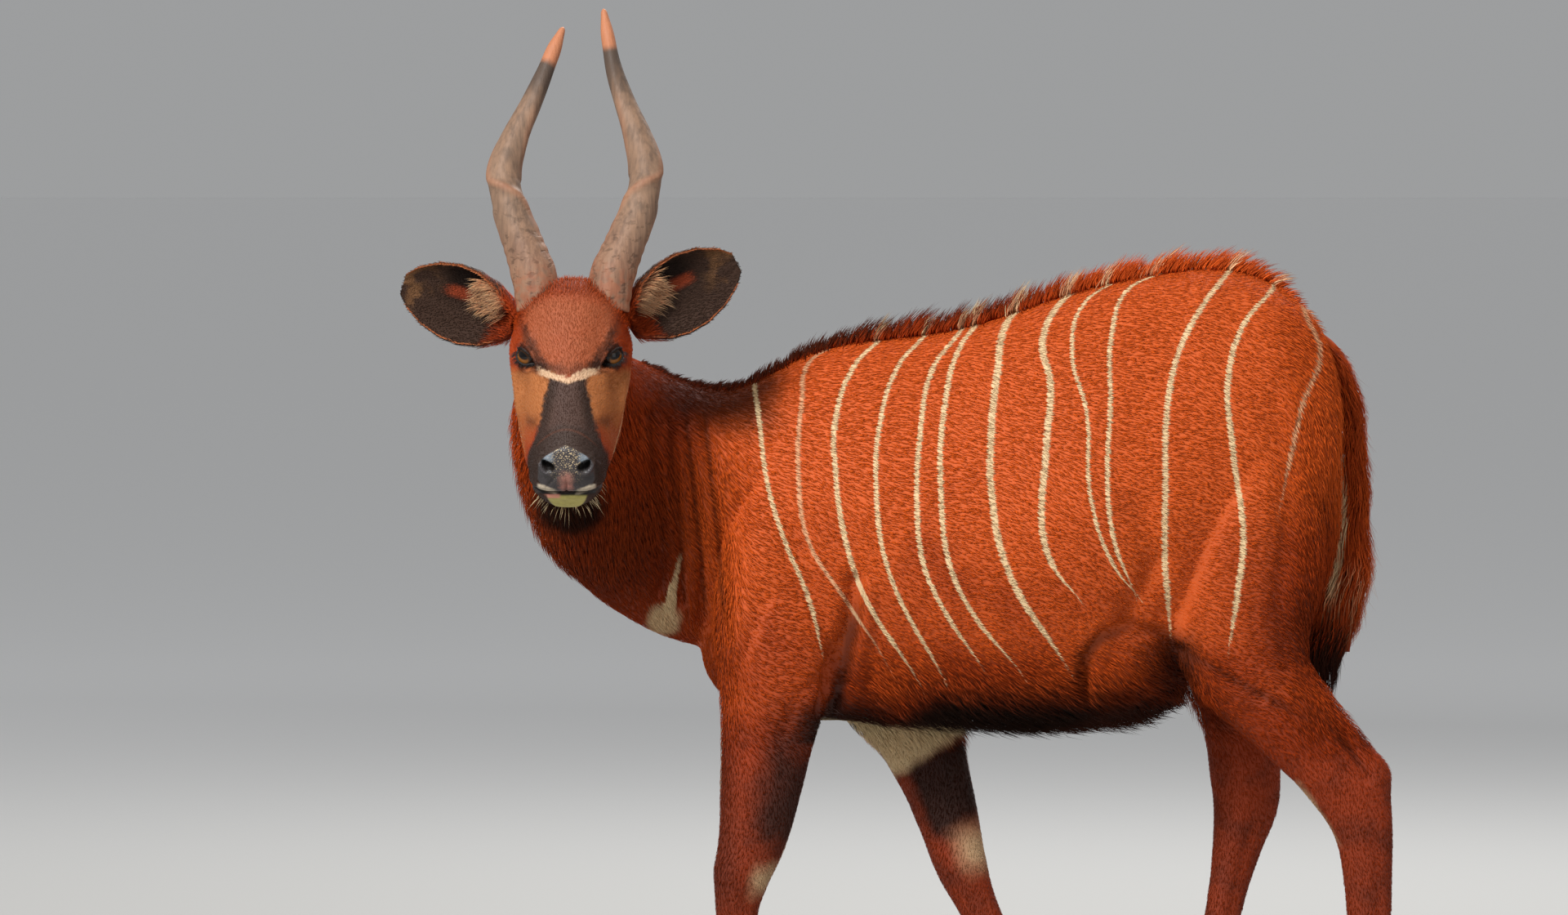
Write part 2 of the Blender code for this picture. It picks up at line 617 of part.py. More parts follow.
def thinned(obj, triangles):
    decimate = obj.modifiers.new("Thin", "DECIMATE")
    count = sum(len(face.vertices) - 2 for face in obj.data.polygons)
    decimate.ratio = min(1.0, triangles / count)
    decimate.use_collapse_triangulate = True
    return evaluated(obj, obj.name)


def largest_part(obj):
    """Keeps only the biggest closed surface of obj."""
    bm = bmesh.new()
    bm.from_mesh(obj.data)
    bm.verts.ensure_lookup_table()
    seen, parts = set(), []
    for start in bm.verts:
        if start.index in seen:
            continue
        stack, part = [start], []
        seen.add(start.index)
        while stack:
            vert = stack.pop()
            part.append(vert)
            for edge in vert.link_edges:
                other = edge.other_vert(vert)
                if other.index not in seen:
                    seen.add(other.index)
                    stack.append(other)
        parts.append(part)
    parts.sort(key=len)
    for part in parts[:-1]:
        bmesh.ops.delete(bm, geom=part, context="VERTS")
    bm.to_mesh(obj.data)
    bm.free()
    return obj


def widened(outline, distance):
    """A polygon with every corner moved outward by distance."""
    points = np.array(outline, float)
    ahead = unit(np.roll(points, -1, axis=0) - points)
    behind = unit(points - np.roll(points, 1, axis=0))
    out_a = np.stack([-ahead[:, 1], ahead[:, 0]], axis=1)
    out_b = np.stack([-behind[:, 1], behind[:, 0]], axis=1)
    middle = unit(out_a + out_b)
    return points + middle * (distance / np.sum(middle * out_a, axis=1))[:, None]


def leg_cutter(name, edge, side, distance):
    """A prism round one leg's outline, from beside the middle of the body outward."""
    outline = widened(edge, distance)
    near, far = side * (LEG_INNER_Y - distance), side * 0.40
    rings = [[(x, y, z) for x, z in outline] for y in (near, far)]
    count = len(outline)
    points = [p for ring in rings for p in ring]
    faces = [tuple(range(count)), tuple(range(2 * count - 1, count - 1, -1))]
    faces += [(j, j + count, (j + 1) % count + count, (j + 1) % count) for j in range(count)]
    return make_object(name, points, faces)


def half_space(name, point, towards, distance=0.0, size=1.2):
    """A box with one face on a plane, filling the side that towards points to."""
    towards = Vector(towards).normalized()
    centre = Vector(point) + towards * (size / 2 + distance)
    bm = bmesh.new()
    bmesh.ops.create_cube(bm, size=size)
    bm.transform(Matrix.Translation(centre) @ towards.to_track_quat("Z", "Y").to_matrix().to_4x4())
    mesh = bpy.data.meshes.new(name)
    bm.to_mesh(mesh)
    bm.free()
    made = bpy.data.objects.new(name, mesh)
    bpy.context.scene.collection.objects.link(made)
    return made


def foot_frame(foot):
    """Middle of a coronet, and the ways to the toe and to the left of it."""
    x, y, turn = FEET[foot]
    turn = math.radians(turn)
    toe = Vector((-math.cos(turn), math.sin(turn), 0.0))
    return Vector((x, y, CORONET_HEIGHT)), toe, Vector((-toe.y, toe.x, 0.0))


def coronet_plane(foot):
    """A point on the joint between leg and hoof, and the way up out of it."""
    centre, toe, _ = foot_frame(foot)
    return centre, (Vector((0, 0, 1)) - CORONET_SLOPE * toe).normalized()


def leg_piece(body, name, edge, side, foot):
    """One leg of the body, cut along its outline and at the coronet, and thinned between two cuts."""
    margin = 0.004
    rough = cut(copied(body, name), leg_cutter("rough", edge, side, margin), "INTERSECT")
    rough = thinned(largest_part(rough), TRIANGLES[name])
    piece = cut(rough, leg_cutter("fine", edge, side, 0.0), "INTERSECT", "EXACT")
    point, up = coronet_plane(foot)
    piece = cut(piece, half_space("above", point, up, GAP, 1.6), "INTERSECT", "EXACT")
    return largest_part(piece)


def without_legs(obj):
    """obj with room for all four legs cut out of it."""
    for edge, side in ((FORE_NEAR_EDGE, -1), (FORE_FAR_EDGE, 1), (HIND_EDGE, -1), (HIND_EDGE, 1)):
        obj = cut(obj, leg_cutter("room", edge, side, GAP), "DIFFERENCE", "EXACT")
    return largest_part(obj)


def hoof_claw(name, foot, side):
    """One half of a cloven hoof: flat below, pointed in front, and sloped to meet the coronet above."""
    centre, toe, left = foot_frame(foot)
    floor = Vector((centre.x, centre.y, 0.0))
    sections = [(0.000, 0.068, 0.038, 0.0165), (0.012, 0.064, 0.037, 0.0163), (0.030, 0.054, 0.035, 0.0156)]
    sections.append((CORONET_HEIGHT, 0.036, 0.034, 0.0146))
    rings = []
    for height, front, back, half in sections:
        ring = []
        for k in range(12):
            turn = 2 * math.pi * k / 12
            ahead = math.cos(turn)
            reach = ahead * (front if ahead > 0 else back)
            narrow = 1 - 0.55 * max(ahead, 0) ** 2
            across = math.sin(turn) * half * narrow
            inward = -side * 0.004 * max(ahead, 0)
            aside = side * 0.0172 + across + inward
            point = floor + toe * reach + left * aside
            lift = height / CORONET_HEIGHT
            point.z = height + lift * (CORONET_SLOPE * reach - GAP)
            ring.append(tuple(point))
        rings.append(ring)
    return make_object(name, *bridge(rings))


def horn(name, rows, turn_way):
    """A horn bent like a lyre, with a keel that winds round it and rings near its root."""
    rows = through(rows, 24)
    path, radius = rows[:, :3], rows[:, 3]
    along = unit(np.gradient(path, axis=0))
    ahead = np.array([0.0, -1.0, 0.0])
    upward = unit(ahead - (along @ ahead)[:, None] * along)
    aside = np.cross(along, upward)
    turn = np.linspace(0, 2 * math.pi, 14, endpoint=False)
    rings = []
    for i in range(len(rows)):
        share = i / (len(rows) - 1)
        wound = turn - turn_way * 2 * math.pi * HORN_TURNS * share - math.pi / 2
        keel = 1 + HORN_KEEL * np.exp(-(1 - np.cos(wound)) * 4.0) - 0.06 * np.cos(2 * wound)
        rough = 1 + 0.030 * math.sin(share * 60) * (1 - share) ** 2
        reach = radius[i] * keel * rough
        rings.append(
            path[i]
            + (reach * np.cos(turn))[:, None] * aside[i]
            + (reach * np.sin(turn))[:, None] * upward[i]
        )
    return make_object(name, *bridge(rings))


def ear(name, root, tip, opening):
    """A leaf-shaped cup with a wall of even thickness."""
    root, tip = Vector(root), Vector(tip)
    length = (tip - root).length
    along = (tip - root).normalized()
    opens = Vector(opening)
    opens = (opens - opens.dot(along) * along).normalized()
    across = along.cross(opens)
    sections = [(share * length, 0.0, 0.0, half, depth, wrap) for share, half, depth, wrap in EAR_SECTIONS]
    rows = through(sections, 12)
    rings = []
    for place, _, _, half, depth, wrap in rows:
        wrap = math.radians(wrap)
        wall = min(EAR_THICKNESS, 0.40 * half)
        angles = np.linspace(-wrap, wrap, 10)
        ring = []
        for shrink, order in ((0.0, angles), (wall, angles[::-1])):
            for angle in order:
                wide = (half - shrink) * math.sin(angle) / math.sin(min(wrap, math.pi / 2))
                deep = depth * math.cos(angle) - shrink * max(math.cos(angle), 0.25)
                ring.append(tuple(root + along * place + across * wide - opens * deep))
        rings.append(ring)
    return make_object(name, *bridge(rings))


def eye_place(side):
    return head_place(EYE_ALONG, side * EYE_ASIDE, EYE_ABOVE)


def eye_axes(side):
    """Out of the eye, along the slit of the lids, and across the slit."""
    out = (side * 0.64 * LEFTWARD + 0.50 * FORWARD + 0.58 * UPWARD).normalized()
    slit = FORWARD - side * 0.80 * LEFTWARD
    slit = (slit - slit.dot(out) * out).normalized()
    return out, slit, out.cross(slit)


def ball(name, centre, radius, segments):
    return ellipsoid(name, centre, (radius, radius, radius), segments=segments)


def lid_opening(name, side):
    """An almond-shaped prism that looks out of the eye."""
    out, slit, across = eye_axes(side)
    centre = eye_place(side)
    outline = []
    for k in range(16):
        turn = 2 * math.pi * k / 16
        tall = math.sin(turn) * (LID_RISE if math.sin(turn) * side > 0 else LID_DROP)
        tall *= 1 - 0.35 * abs(math.cos(turn)) ** 3
        outline.append(slit * LID_HALF_LENGTH * math.cos(turn) + across * tall)
    rings = []
    for reach, scale in ((0.004, 0.75), (0.05, 1.70)):
        rings.append([tuple(centre + out * reach + p * scale) for p in outline])
    return make_object(name, *bridge(rings))


def joined(obj, other, solver="EXACT"):
    modifier = obj.modifiers.new("Join", "BOOLEAN")
    modifier.operation = "UNION"
    modifier.solver = solver
    modifier.object = other
    made = evaluated(obj, obj.name)
    bpy.data.objects.remove(other)
    return made


def head_piece(body):
    """The head, with lids round the eyes, holes for the eyes, and nostrils."""
    point, towards = HEAD_CUT
    rough = cut(copied(body, "head"), half_space("rough", point, towards, -0.004, 1.0), "INTERSECT")
    rough = thinned(largest_part(rough), TRIANGLES["head"])
    piece = cut(rough, half_space("fine", point, towards, GAP / 2, 1.0), "INTERSECT", "EXACT")
    for side in (1, -1):
        piece = joined(piece, ball("lids", eye_place(side), EYE_RADIUS + GAP + LID_THICKNESS, 18))
    for side in (1, -1):
        piece = cut(piece, ball("socket", eye_place(side), EYE_RADIUS + GAP * 1.5, 18), "DIFFERENCE", "EXACT")
        piece = cut(piece, lid_opening("slit", side), "DIFFERENCE", "EXACT")
        centre = head_place(NOSTRIL_ALONG, side * NOSTRIL_ASIDE, NOSTRIL_ABOVE)
        hole = ellipsoid("nostril", (0, 0, 0), NOSTRIL_RADII, segments=12)
        lean = Matrix.Rotation(side * math.radians(28), 4, "Z")
        axes = Matrix((LEFTWARD, UPWARD, FORWARD)).transposed().to_4x4()
        hole.data.transform(Matrix.Translation(centre) @ axes @ lean)
        piece = cut(piece, hole, "DIFFERENCE", "EXACT")
    return largest_part(piece)


def grown(obj, distance):
    """A copy of obj with every point moved out along its normal."""
    made = copied(obj, "grown")
    put_points(made, points_of(made) + distance * normals_of(made))
    return made


def cut_clear(child, parent, solver="EXACT"):
    """The child with room round the parent cut out of it."""
    return largest_part(cut(child, grown(parent, GAP), "DIFFERENCE", solver))


def lock(name, path, widths, thickness, flat, collection):
    """A flat, tapered lock of hair along a bent path. flat is the way its broad faces look."""
    path, flat = np.array(path, float), np.array(flat, float)
    along = unit(np.gradient(path, axis=0))
    rings = []
    for point, way, wide in zip(path[:-1], along, widths):
        across = unit(np.cross(way, flat))
        over = np.cross(across, way)
        deep = thickness * wide / widths[0]
        rings.append([point + across * wide / 2, point + over * deep / 2,
                      point - across * wide / 2, point - over * deep / 2])
    points = [tuple(p) for ring in rings for p in ring] + [tuple(path[-1])]
    faces = [(3, 2, 1, 0)]
    for i in range(len(rings) - 1):
        for j in range(4):
            k = (j + 1) % 4
            faces.append((4 * i + j, 4 * i + k, 4 * i + 4 + k, 4 * i + 4 + j))
    last = 4 * (len(rings) - 1)
    faces += [(last + j, last + (j + 1) % 4, last + 4) for j in range(4)]
    return make_object(name, points, faces, collection)


def with_locks(obj, collection):
    """obj joined with every lock in the collection, which is then removed."""
    modifier = obj.modifiers.new("Locks", "BOOLEAN")
    modifier.operation = "UNION"
    modifier.operand_type = "COLLECTION"
    modifier.collection = collection
    modifier.solver = "EXACT"
    made = evaluated(obj, obj.name)
    for item in list(collection.objects):
        bpy.data.objects.remove(item)
    bpy.data.collections.remove(collection)
    return largest_part(made)


def lock_collection(name):
    made = bpy.data.collections.new(name)
    bpy.context.scene.collection.children.link(made)
    return made


def surface_tree(obj):
    return BVHTree.FromPolygons(
        [v.co.copy() for v in obj.data.vertices], [tuple(f.vertices) for f in obj.data.polygons])


def mane_height(x):
    return float(np.interp(x, column(MANE, 0), column(MANE, 1)))


def add_mane(obj, span, draw):
    """Sets the mane's locks along the top of obj: a zigzag row that leans back and bends over."""
    tree = surface_tree(obj)
    locks = lock_collection("mane_locks")
    count = int(round((span[1] - span[0]) / MANE_STEP)) + 1
    for number in range(count):
        x = span[0] + (span[1] - span[0]) * number / max(count - 1, 1)
        offset = MANE_ROWS[number % len(MANE_ROWS)] + draw.uniform(-0.0015, 0.0015)
        crest = crest_line(x)
        hit, normal, _, _ = tree.ray_cast(Vector((x, crest + offset, 1.5)), Vector((0, 0, -1)))
        if hit is None:
            continue
        tall = mane_height(x) * draw.uniform(0.85, 1.12)
        back = Vector((1.0, 0.0, 0.0))
        back = (back - back.dot(normal) * normal).normalized()
        aside = Vector((0.0, 1.0, 0.0)) * offset * 14
        path = [hit - normal * MANE_ROOT - back * MANE_ROOT * MANE_LEANS[0]]
        for share, lean in zip((0.45, 0.80, 1.0), MANE_LEANS[1:]):
            path.append(hit + (normal + back * lean + aside) * tall * share)
        wide = 0.030 * min(1.0, 0.45 + tall / 0.05)
        widths = (wide, wide * 0.80, wide * 0.38)
        lock(f"mane_{number}", path, widths, 0.0085, (0.0, 1.0, 0.0), locks)
    return with_locks(obj, locks)


def crest_line(x):
    """How far the crest lies from the middle plane: the neck bends to the left ahead of the withers."""
    order = np.argsort(column(NECK, 0))
    return float(np.interp(x, column(NECK, 0)[order], column(NECK, 1)[order]))


def add_tail_locks(obj, draw):
    """Sets locks round the lower tail that lie along it and end in a loose tuft."""
    rows = through(TAIL, 120)
    locks = lock_collection("tail_locks")
    for tier, (share, length, wide, stand, count) in enumerate(TAIL_LOCKS):
        start = int(share * (len(rows) - 1))
        for number in range(count):
            turn = 2 * math.pi * (number + 0.5 * (tier % 2)) / count + draw.uniform(-0.15, 0.15)
            out = Vector((math.cos(turn), math.sin(turn), 0.0))
            reach = rows[start][3] * 0.75
            path = []
            for step in (0.0, 0.35, 0.70, 1.0):
                index = start + int(step * length / 0.60 * (len(rows) - 1))
                spare = max(index - len(rows) + 1, 0) * 0.60 / (len(rows) - 1)
                row = rows[min(index, len(rows) - 1)]
                point = Vector(row[:3]) - Vector((0, 0, spare))
                hold = reach * (1 - step) + (row[3] + stand) * step if spare == 0 else stand + 0.006
                path.append(point + out * hold)
            lock(f"tail_{tier}_{number}", path, (wide, wide * 0.95, wide * 0.6), 0.010, out, locks)
    return with_locks(obj, locks)


def finished(obj, name, group):
    """Moves obj to its place, names it, and gives it a material of its own."""
    obj.name = name
    obj.data.name = name
    obj.data.transform(Matrix.Translation((0.0, MIDLINE_Y, 0.0)))
    for collection in list(obj.users_collection):
        collection.objects.unlink(obj)
    group.objects.link(obj)
    colour, roughness = COLOURS.get(name, (HOOF_BLACK, 0.45))
    material = bpy.data.materials.new(name)
    material.use_nodes = True
    shader = material.node_tree.nodes["Principled BSDF"]
    shader.inputs["Base Color"].default_value = (*colour, 1.0)
    shader.inputs["Roughness"].default_value = roughness
    obj.data.materials.clear()
    obj.data.materials.append(material)
    obj.data.shade_smooth()
    obj.data.set_sharp_from_angle(angle=SHARP_ANGLE)


def main():
    for obj in list(bpy.data.objects):
        bpy.data.objects.remove(obj)
    group = bpy.data.collections.new("bongo_antelope")
    bpy.context.scene.collection.children.link(group)
    body = whole_body()
    pieces = {
        "foreleg_left": leg_piece(body, "foreleg_left", FORE_NEAR_EDGE, -1, "fore_left"),
        "foreleg_right": leg_piece(body, "foreleg_right", FORE_FAR_EDGE, 1, "fore_right"),
        "hindleg_left": leg_piece(body, "hindleg_left", HIND_EDGE, -1, "hind_left"),
        "hindleg_right": leg_piece(body, "hindleg_right", HIND_EDGE, 1, "hind_right"),
    }
    head = head_piece(body)
    point, towards = HEAD_CUT
    neck_point, neck_towards = NECK_CUT
    back = tuple(-v for v in towards)
    neck = cut(copied(body, "neck"), half_space("behind", point, back, -0.004), "INTERSECT")
    neck = cut(neck, half_space("before", neck_point, neck_towards, -0.004), "INTERSECT")
    neck = thinned(largest_part(neck), TRIANGLES["neck"])
    neck = cut(neck, half_space("behind", point, back, GAP / 2), "INTERSECT", "EXACT")
    neck = cut(neck, half_space("before", neck_point, neck_towards, GAP / 2), "INTERSECT", "EXACT")
    draw = random.Random(7)
    pieces["neck"] = add_mane(without_legs(neck), NECK_MANE_SPAN, draw)
    neck_back = tuple(-v for v in neck_towards)
    torso = cut(body, half_space("after", neck_point, neck_back, -0.004, 2.4), "INTERSECT")
    torso = thinned(largest_part(torso), TRIANGLES["torso"])
    torso = cut(torso, half_space("after", neck_point, neck_back, GAP / 2, 2.4), "INTERSECT", "EXACT")
    pieces["torso"] = add_mane(without_legs(torso), TORSO_MANE_SPAN, draw)
    tail = add_tail_locks(loft("tail", TAIL, (-1, 0, 0), 16, 10), draw)
    pieces["tail"] = cut_clear(tail, pieces["torso"])
    for side, rows, place in (("left", HORN_LEFT, EAR_LEFT), ("right", HORN_RIGHT, EAR_RIGHT)):
        sign = 1 if side == "left" else -1
        pieces["horn_" + side] = cut_clear(horn("horn", rows, sign), head)
        ear_clear = cut_clear(ear("ear", *place), head, "MANIFOLD")
        pieces["ear_" + side] = cut_clear(ear_clear, pieces["horn_" + side], "MANIFOLD")
        pieces["eye_" + side] = ball("eye", eye_place(sign), EYE_RADIUS, 14)
    pieces["head"] = head
    for foot in FEET:
        for side in (1, -1):
            outward = (side == 1) == foot.endswith("left")
            word = "outer" if outward else "inner"
            pieces[f"hoof_{foot}_{word}"] = hoof_claw("claw", foot, side)
    for name, obj in pieces.items():
        finished(obj, name, group)
        print(name, sum(len(f.vertices) - 2 for f in obj.data.polygons))


if __name__ == "__main__":
    main()
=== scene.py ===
"""Looks of a life-size bongo antelope in mid stride, its head turned to its left side.

The skin repeats the part's own forms and adds the folds, lids, nostrils and lips. The coat, mane and tail
are closed slivers of mesh that lie over it. Skin and coat take their markings from the same nodes, which
read where each point lies on the animal. Lengths are metres, +Z is up and the animal faces -X. Shapes
are worked out about the animal's middle plane at Y = 0 and move to MIDLINE_Y as each piece is finished.
"""

import math
from functools import reduce

import bmesh
import bpy
import numpy as np
from bpy.props import FloatProperty, FloatVectorProperty, IntProperty, PointerProperty
from mathutils import Matrix, Vector
from mathutils.bvhtree import BVHTree


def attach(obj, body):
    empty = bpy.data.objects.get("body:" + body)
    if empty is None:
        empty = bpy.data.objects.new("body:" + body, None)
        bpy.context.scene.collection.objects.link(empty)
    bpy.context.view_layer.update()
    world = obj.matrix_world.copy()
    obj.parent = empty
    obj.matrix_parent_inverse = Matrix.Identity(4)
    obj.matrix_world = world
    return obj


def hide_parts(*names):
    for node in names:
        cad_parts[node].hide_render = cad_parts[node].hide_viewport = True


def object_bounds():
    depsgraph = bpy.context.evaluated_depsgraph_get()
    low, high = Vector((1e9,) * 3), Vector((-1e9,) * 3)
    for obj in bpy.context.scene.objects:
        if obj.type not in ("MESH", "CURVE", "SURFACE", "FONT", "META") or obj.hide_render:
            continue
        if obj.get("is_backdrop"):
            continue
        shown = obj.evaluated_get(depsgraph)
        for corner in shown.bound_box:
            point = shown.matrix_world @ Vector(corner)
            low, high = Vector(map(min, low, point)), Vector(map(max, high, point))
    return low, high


bl_info = {
    "name": "Bongo Antelope",
    "version": (1, 0, 0),
    "blender": (4, 5, 0),
    "location": "3D View > Sidebar > Bongo",
    "description": "Skin, coat, horns, eyes and studio for a life-size bongo antelope",
    "category": "Object",
}

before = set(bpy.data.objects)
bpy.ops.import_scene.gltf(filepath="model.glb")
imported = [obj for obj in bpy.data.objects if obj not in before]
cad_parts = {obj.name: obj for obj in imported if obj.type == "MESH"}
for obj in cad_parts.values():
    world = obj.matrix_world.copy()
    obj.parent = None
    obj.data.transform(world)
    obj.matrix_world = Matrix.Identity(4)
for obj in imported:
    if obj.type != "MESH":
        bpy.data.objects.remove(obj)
CAD_LOW, CAD_HIGH = (np.array(corner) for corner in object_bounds())

MIDLINE_Y = 0.120
HEAD_ORIGIN = np.array((-0.483, -0.300, 1.068))
HEAD_PITCH = math.radians(50)
HEAD_YAW = math.radians(1)
FORWARD = np.array((
    -math.sin(HEAD_YAW) * math.cos(HEAD_PITCH),
    -math.cos(HEAD_YAW) * math.cos(HEAD_PITCH),
    -math.sin(HEAD_PITCH),
))
LEFTWARD = np.array((math.cos(HEAD_YAW), -math.sin(HEAD_YAW), 0.0))
UPWARD = np.cross(FORWARD, LEFTWARD)

EYE_RADIUS = 0.0205
EYE_ALONG, EYE_ASIDE, EYE_ABOVE = 0.012, 0.0560, 0.0140
LID_HALF_LENGTH = 0.0175
LID_RISE, LID_DROP = 0.0092, 0.0082
NOSTRIL_ALONG, NOSTRIL_ASIDE, NOSTRIL_FALL = 0.217, 0.0270, -0.1565

# Half width of the bare nose pad by how far it lies below the head's origin.
NOSE_PAD = [
    (0.126, 0.000), (0.132, 0.016), (0.141, 0.030), (0.154, 0.041), (0.176, 0.042), (0.186, 0.036),
    (0.190, 0.000),
]

# Sections of the trunk: x, top, widest height, bottom, half width.
TORSO = [
    (-0.290, 0.800, 0.710, 0.615, 0.060),
    (-0.256, 0.925, 0.730, 0.548, 0.112),
    (-0.207, 1.022, 0.760, 0.520, 0.140),
    (-0.146, 1.066, 0.790, 0.515, 0.156),
    (-0.073, 1.086, 0.790, 0.516, 0.170),
    (0.024, 1.095, 0.780, 0.518, 0.190),
    (0.122, 1.114, 0.770, 0.513, 0.210),
    (0.219, 1.147, 0.770, 0.508, 0.222),
    (0.305, 1.172, 0.790, 0.518, 0.222),
    (0.390, 1.189, 0.830, 0.560, 0.208),
    (0.475, 1.197, 0.870, 0.615, 0.188),
    (0.548, 1.182, 0.890, 0.640, 0.168),
    (0.605, 1.130, 0.890, 0.668, 0.140),
    (0.640, 1.062, 0.880, 0.720, 0.102),
    (0.655, 0.985, 0.870, 0.790, 0.058),
]

# Sections of the neck: x, y, z, half width, rise to the crest, drop to the throat.
NECK = [
    (-0.110, 0.000, 0.848, 0.125, 0.195, 0.200),
    (-0.183, 0.000, 0.854, 0.124, 0.190, 0.230),
    (-0.250, 0.000, 0.860, 0.118, 0.166, 0.238),
    (-0.320, -0.008, 0.880, 0.110, 0.144, 0.230),
    (-0.385, -0.036, 0.905, 0.104, 0.142, 0.212),
    (-0.438, -0.085, 0.937, 0.100, 0.144, 0.186),
    (-0.468, -0.138, 0.980, 0.094, 0.132, 0.142),
    (-0.480, -0.184, 1.027, 0.083, 0.112, 0.100),
    (-0.483, -0.222, 1.070, 0.072, 0.092, 0.086),
]

# Sections of each leg from the body down: x, y, z, half width, reach to the front, reach to the back.
LEGS = {
    "fore_left": [
        (-0.190, -0.050, 0.840, 0.040, 0.050, 0.060),
        (-0.192, -0.088, 0.755, 0.058, 0.074, 0.084),
        (-0.192, -0.111, 0.672, 0.061, 0.082, 0.093),
        (-0.189, -0.121, 0.598, 0.057, 0.080, 0.090),
        (-0.191, -0.122, 0.538, 0.051, 0.074, 0.078),
        (-0.197, -0.120, 0.477, 0.046, 0.068, 0.066),
        (-0.205, -0.118, 0.428, 0.043, 0.061, 0.062),
        (-0.212, -0.116, 0.379, 0.040, 0.055, 0.056),
        (-0.223, -0.113, 0.331, 0.038, 0.047, 0.050),
        (-0.233, -0.110, 0.292, 0.037, 0.042, 0.042),
        (-0.241, -0.108, 0.254, 0.031, 0.033, 0.036),
        (-0.243, -0.106, 0.218, 0.026, 0.028, 0.032),
        (-0.245, -0.104, 0.160, 0.023, 0.026, 0.030),
        (-0.245, -0.102, 0.112, 0.028, 0.030, 0.035),
        (-0.257, -0.102, 0.072, 0.027, 0.027, 0.029),
        (-0.268, -0.102, 0.040, 0.031, 0.032, 0.031),
    ],
    "fore_right": [
        (-0.195, 0.050, 0.840, 0.040, 0.050, 0.060),
        (-0.152, 0.088, 0.750, 0.058, 0.078, 0.080),
        (-0.100, 0.111, 0.668, 0.061, 0.082, 0.086),
        (-0.041, 0.121, 0.584, 0.057, 0.076, 0.080),
        (0.006, 0.123, 0.522, 0.051, 0.068, 0.072),
        (0.030, 0.122, 0.485, 0.048, 0.062, 0.066),
        (0.046, 0.120, 0.448, 0.045, 0.057, 0.060),
        (0.060, 0.118, 0.412, 0.042, 0.052, 0.053),
        (0.076, 0.115, 0.362, 0.039, 0.047, 0.047),
        (0.090, 0.112, 0.313, 0.037, 0.041, 0.041),
        (0.100, 0.110, 0.280, 0.036, 0.038, 0.038),
        (0.114, 0.108, 0.243, 0.030, 0.031, 0.033),
        (0.130, 0.106, 0.206, 0.026, 0.027, 0.031),
        (0.154, 0.104, 0.155, 0.023, 0.026, 0.030),
        (0.176, 0.102, 0.108, 0.028, 0.030, 0.034),
        (0.170, 0.102, 0.068, 0.027, 0.027, 0.029),
        (0.160, 0.102, 0.040, 0.031, 0.032, 0.031),
    ],
    "hind_left": [
        (0.520, -0.040, 1.050, 0.040, 0.060, 0.060),
        (0.523, -0.078, 0.960, 0.070, 0.104, 0.090),
        (0.522, -0.102, 0.862, 0.082, 0.128, 0.103),
        (0.513, -0.115, 0.757, 0.085, 0.130, 0.114),
        (0.507, -0.118, 0.669, 0.076, 0.115, 0.104),
        (0.530, -0.117, 0.588, 0.064, 0.080, 0.084),
        (0.586, -0.114, 0.520, 0.052, 0.067, 0.068),
        (0.638, -0.111, 0.466, 0.043, 0.062, 0.060),
        (0.670, -0.108, 0.418, 0.037, 0.058, 0.058),
        (0.690, -0.106, 0.354, 0.032, 0.044, 0.044),
        (0.696, -0.104, 0.294, 0.028, 0.038, 0.037),
        (0.698, -0.102, 0.233, 0.025, 0.034, 0.034),
        (0.699, -0.101, 0.165, 0.024, 0.029, 0.031),
        (0.699, -0.100, 0.117, 0.029, 0.031, 0.035),
        (0.688, -0.100, 0.074, 0.027, 0.027, 0.029),
        (0.677, -0.100, 0.040, 0.031, 0.032, 0.031),
    ],
    "hind_right": [
        (0.520, 0.040, 1.030, 0.040, 0.060, 0.060),
        (0.516, 0.078, 0.935, 0.070, 0.104, 0.090),
        (0.506, 0.102, 0.831, 0.082, 0.124, 0.103),
        (0.497, 0.115, 0.717, 0.083, 0.118, 0.106),
        (0.505, 0.118, 0.609, 0.070, 0.084, 0.090),
        (0.519, 0.117, 0.523, 0.057, 0.064, 0.068),
        (0.523, 0.113, 0.449, 0.044, 0.054, 0.056),
        (0.523, 0.110, 0.381, 0.036, 0.048, 0.052),
        (0.513, 0.107, 0.326, 0.030, 0.039, 0.040),
        (0.501, 0.105, 0.270, 0.026, 0.031, 0.032),
        (0.488, 0.103, 0.209, 0.024, 0.027, 0.029),
        (0.472, 0.101, 0.145, 0.023, 0.026, 0.029),
        (0.461, 0.100, 0.100, 0.028, 0.030, 0.034),
        (0.446, 0.100, 0.064, 0.027, 0.027, 0.029),
        (0.433, 0.100, 0.040, 0.031, 0.032, 0.031),
    ],
}

# Sections of the head: along the nose, half width, top, widest height, bottom.
HEAD = [
    (-0.138, 0.040, 0.012, -0.016, -0.056),
    (-0.120, 0.064, 0.040, -0.014, -0.086),
    (-0.092, 0.078, 0.060, -0.014, -0.106),
    (-0.060, 0.084, 0.070, -0.018, -0.122),
    (-0.030, 0.087, 0.073, -0.026, -0.131),
    (0.000, 0.086, 0.069, -0.034, -0.134),
    (0.030, 0.084, 0.063, -0.042, -0.131),
    (0.060, 0.081, 0.057, -0.048, -0.122),
    (0.090, 0.076, 0.052, -0.050, -0.110),
    (0.120, 0.068, 0.048, -0.046, -0.097),
    (0.150, 0.060, 0.046, -0.036, -0.085),
    (0.180, 0.056, 0.044, -0.024, -0.078),
    (0.204, 0.054, 0.037, -0.018, -0.077),
    (0.222, 0.048, 0.024, -0.020, -0.073),
    (0.234, 0.034, 0.004, -0.026, -0.062),
]

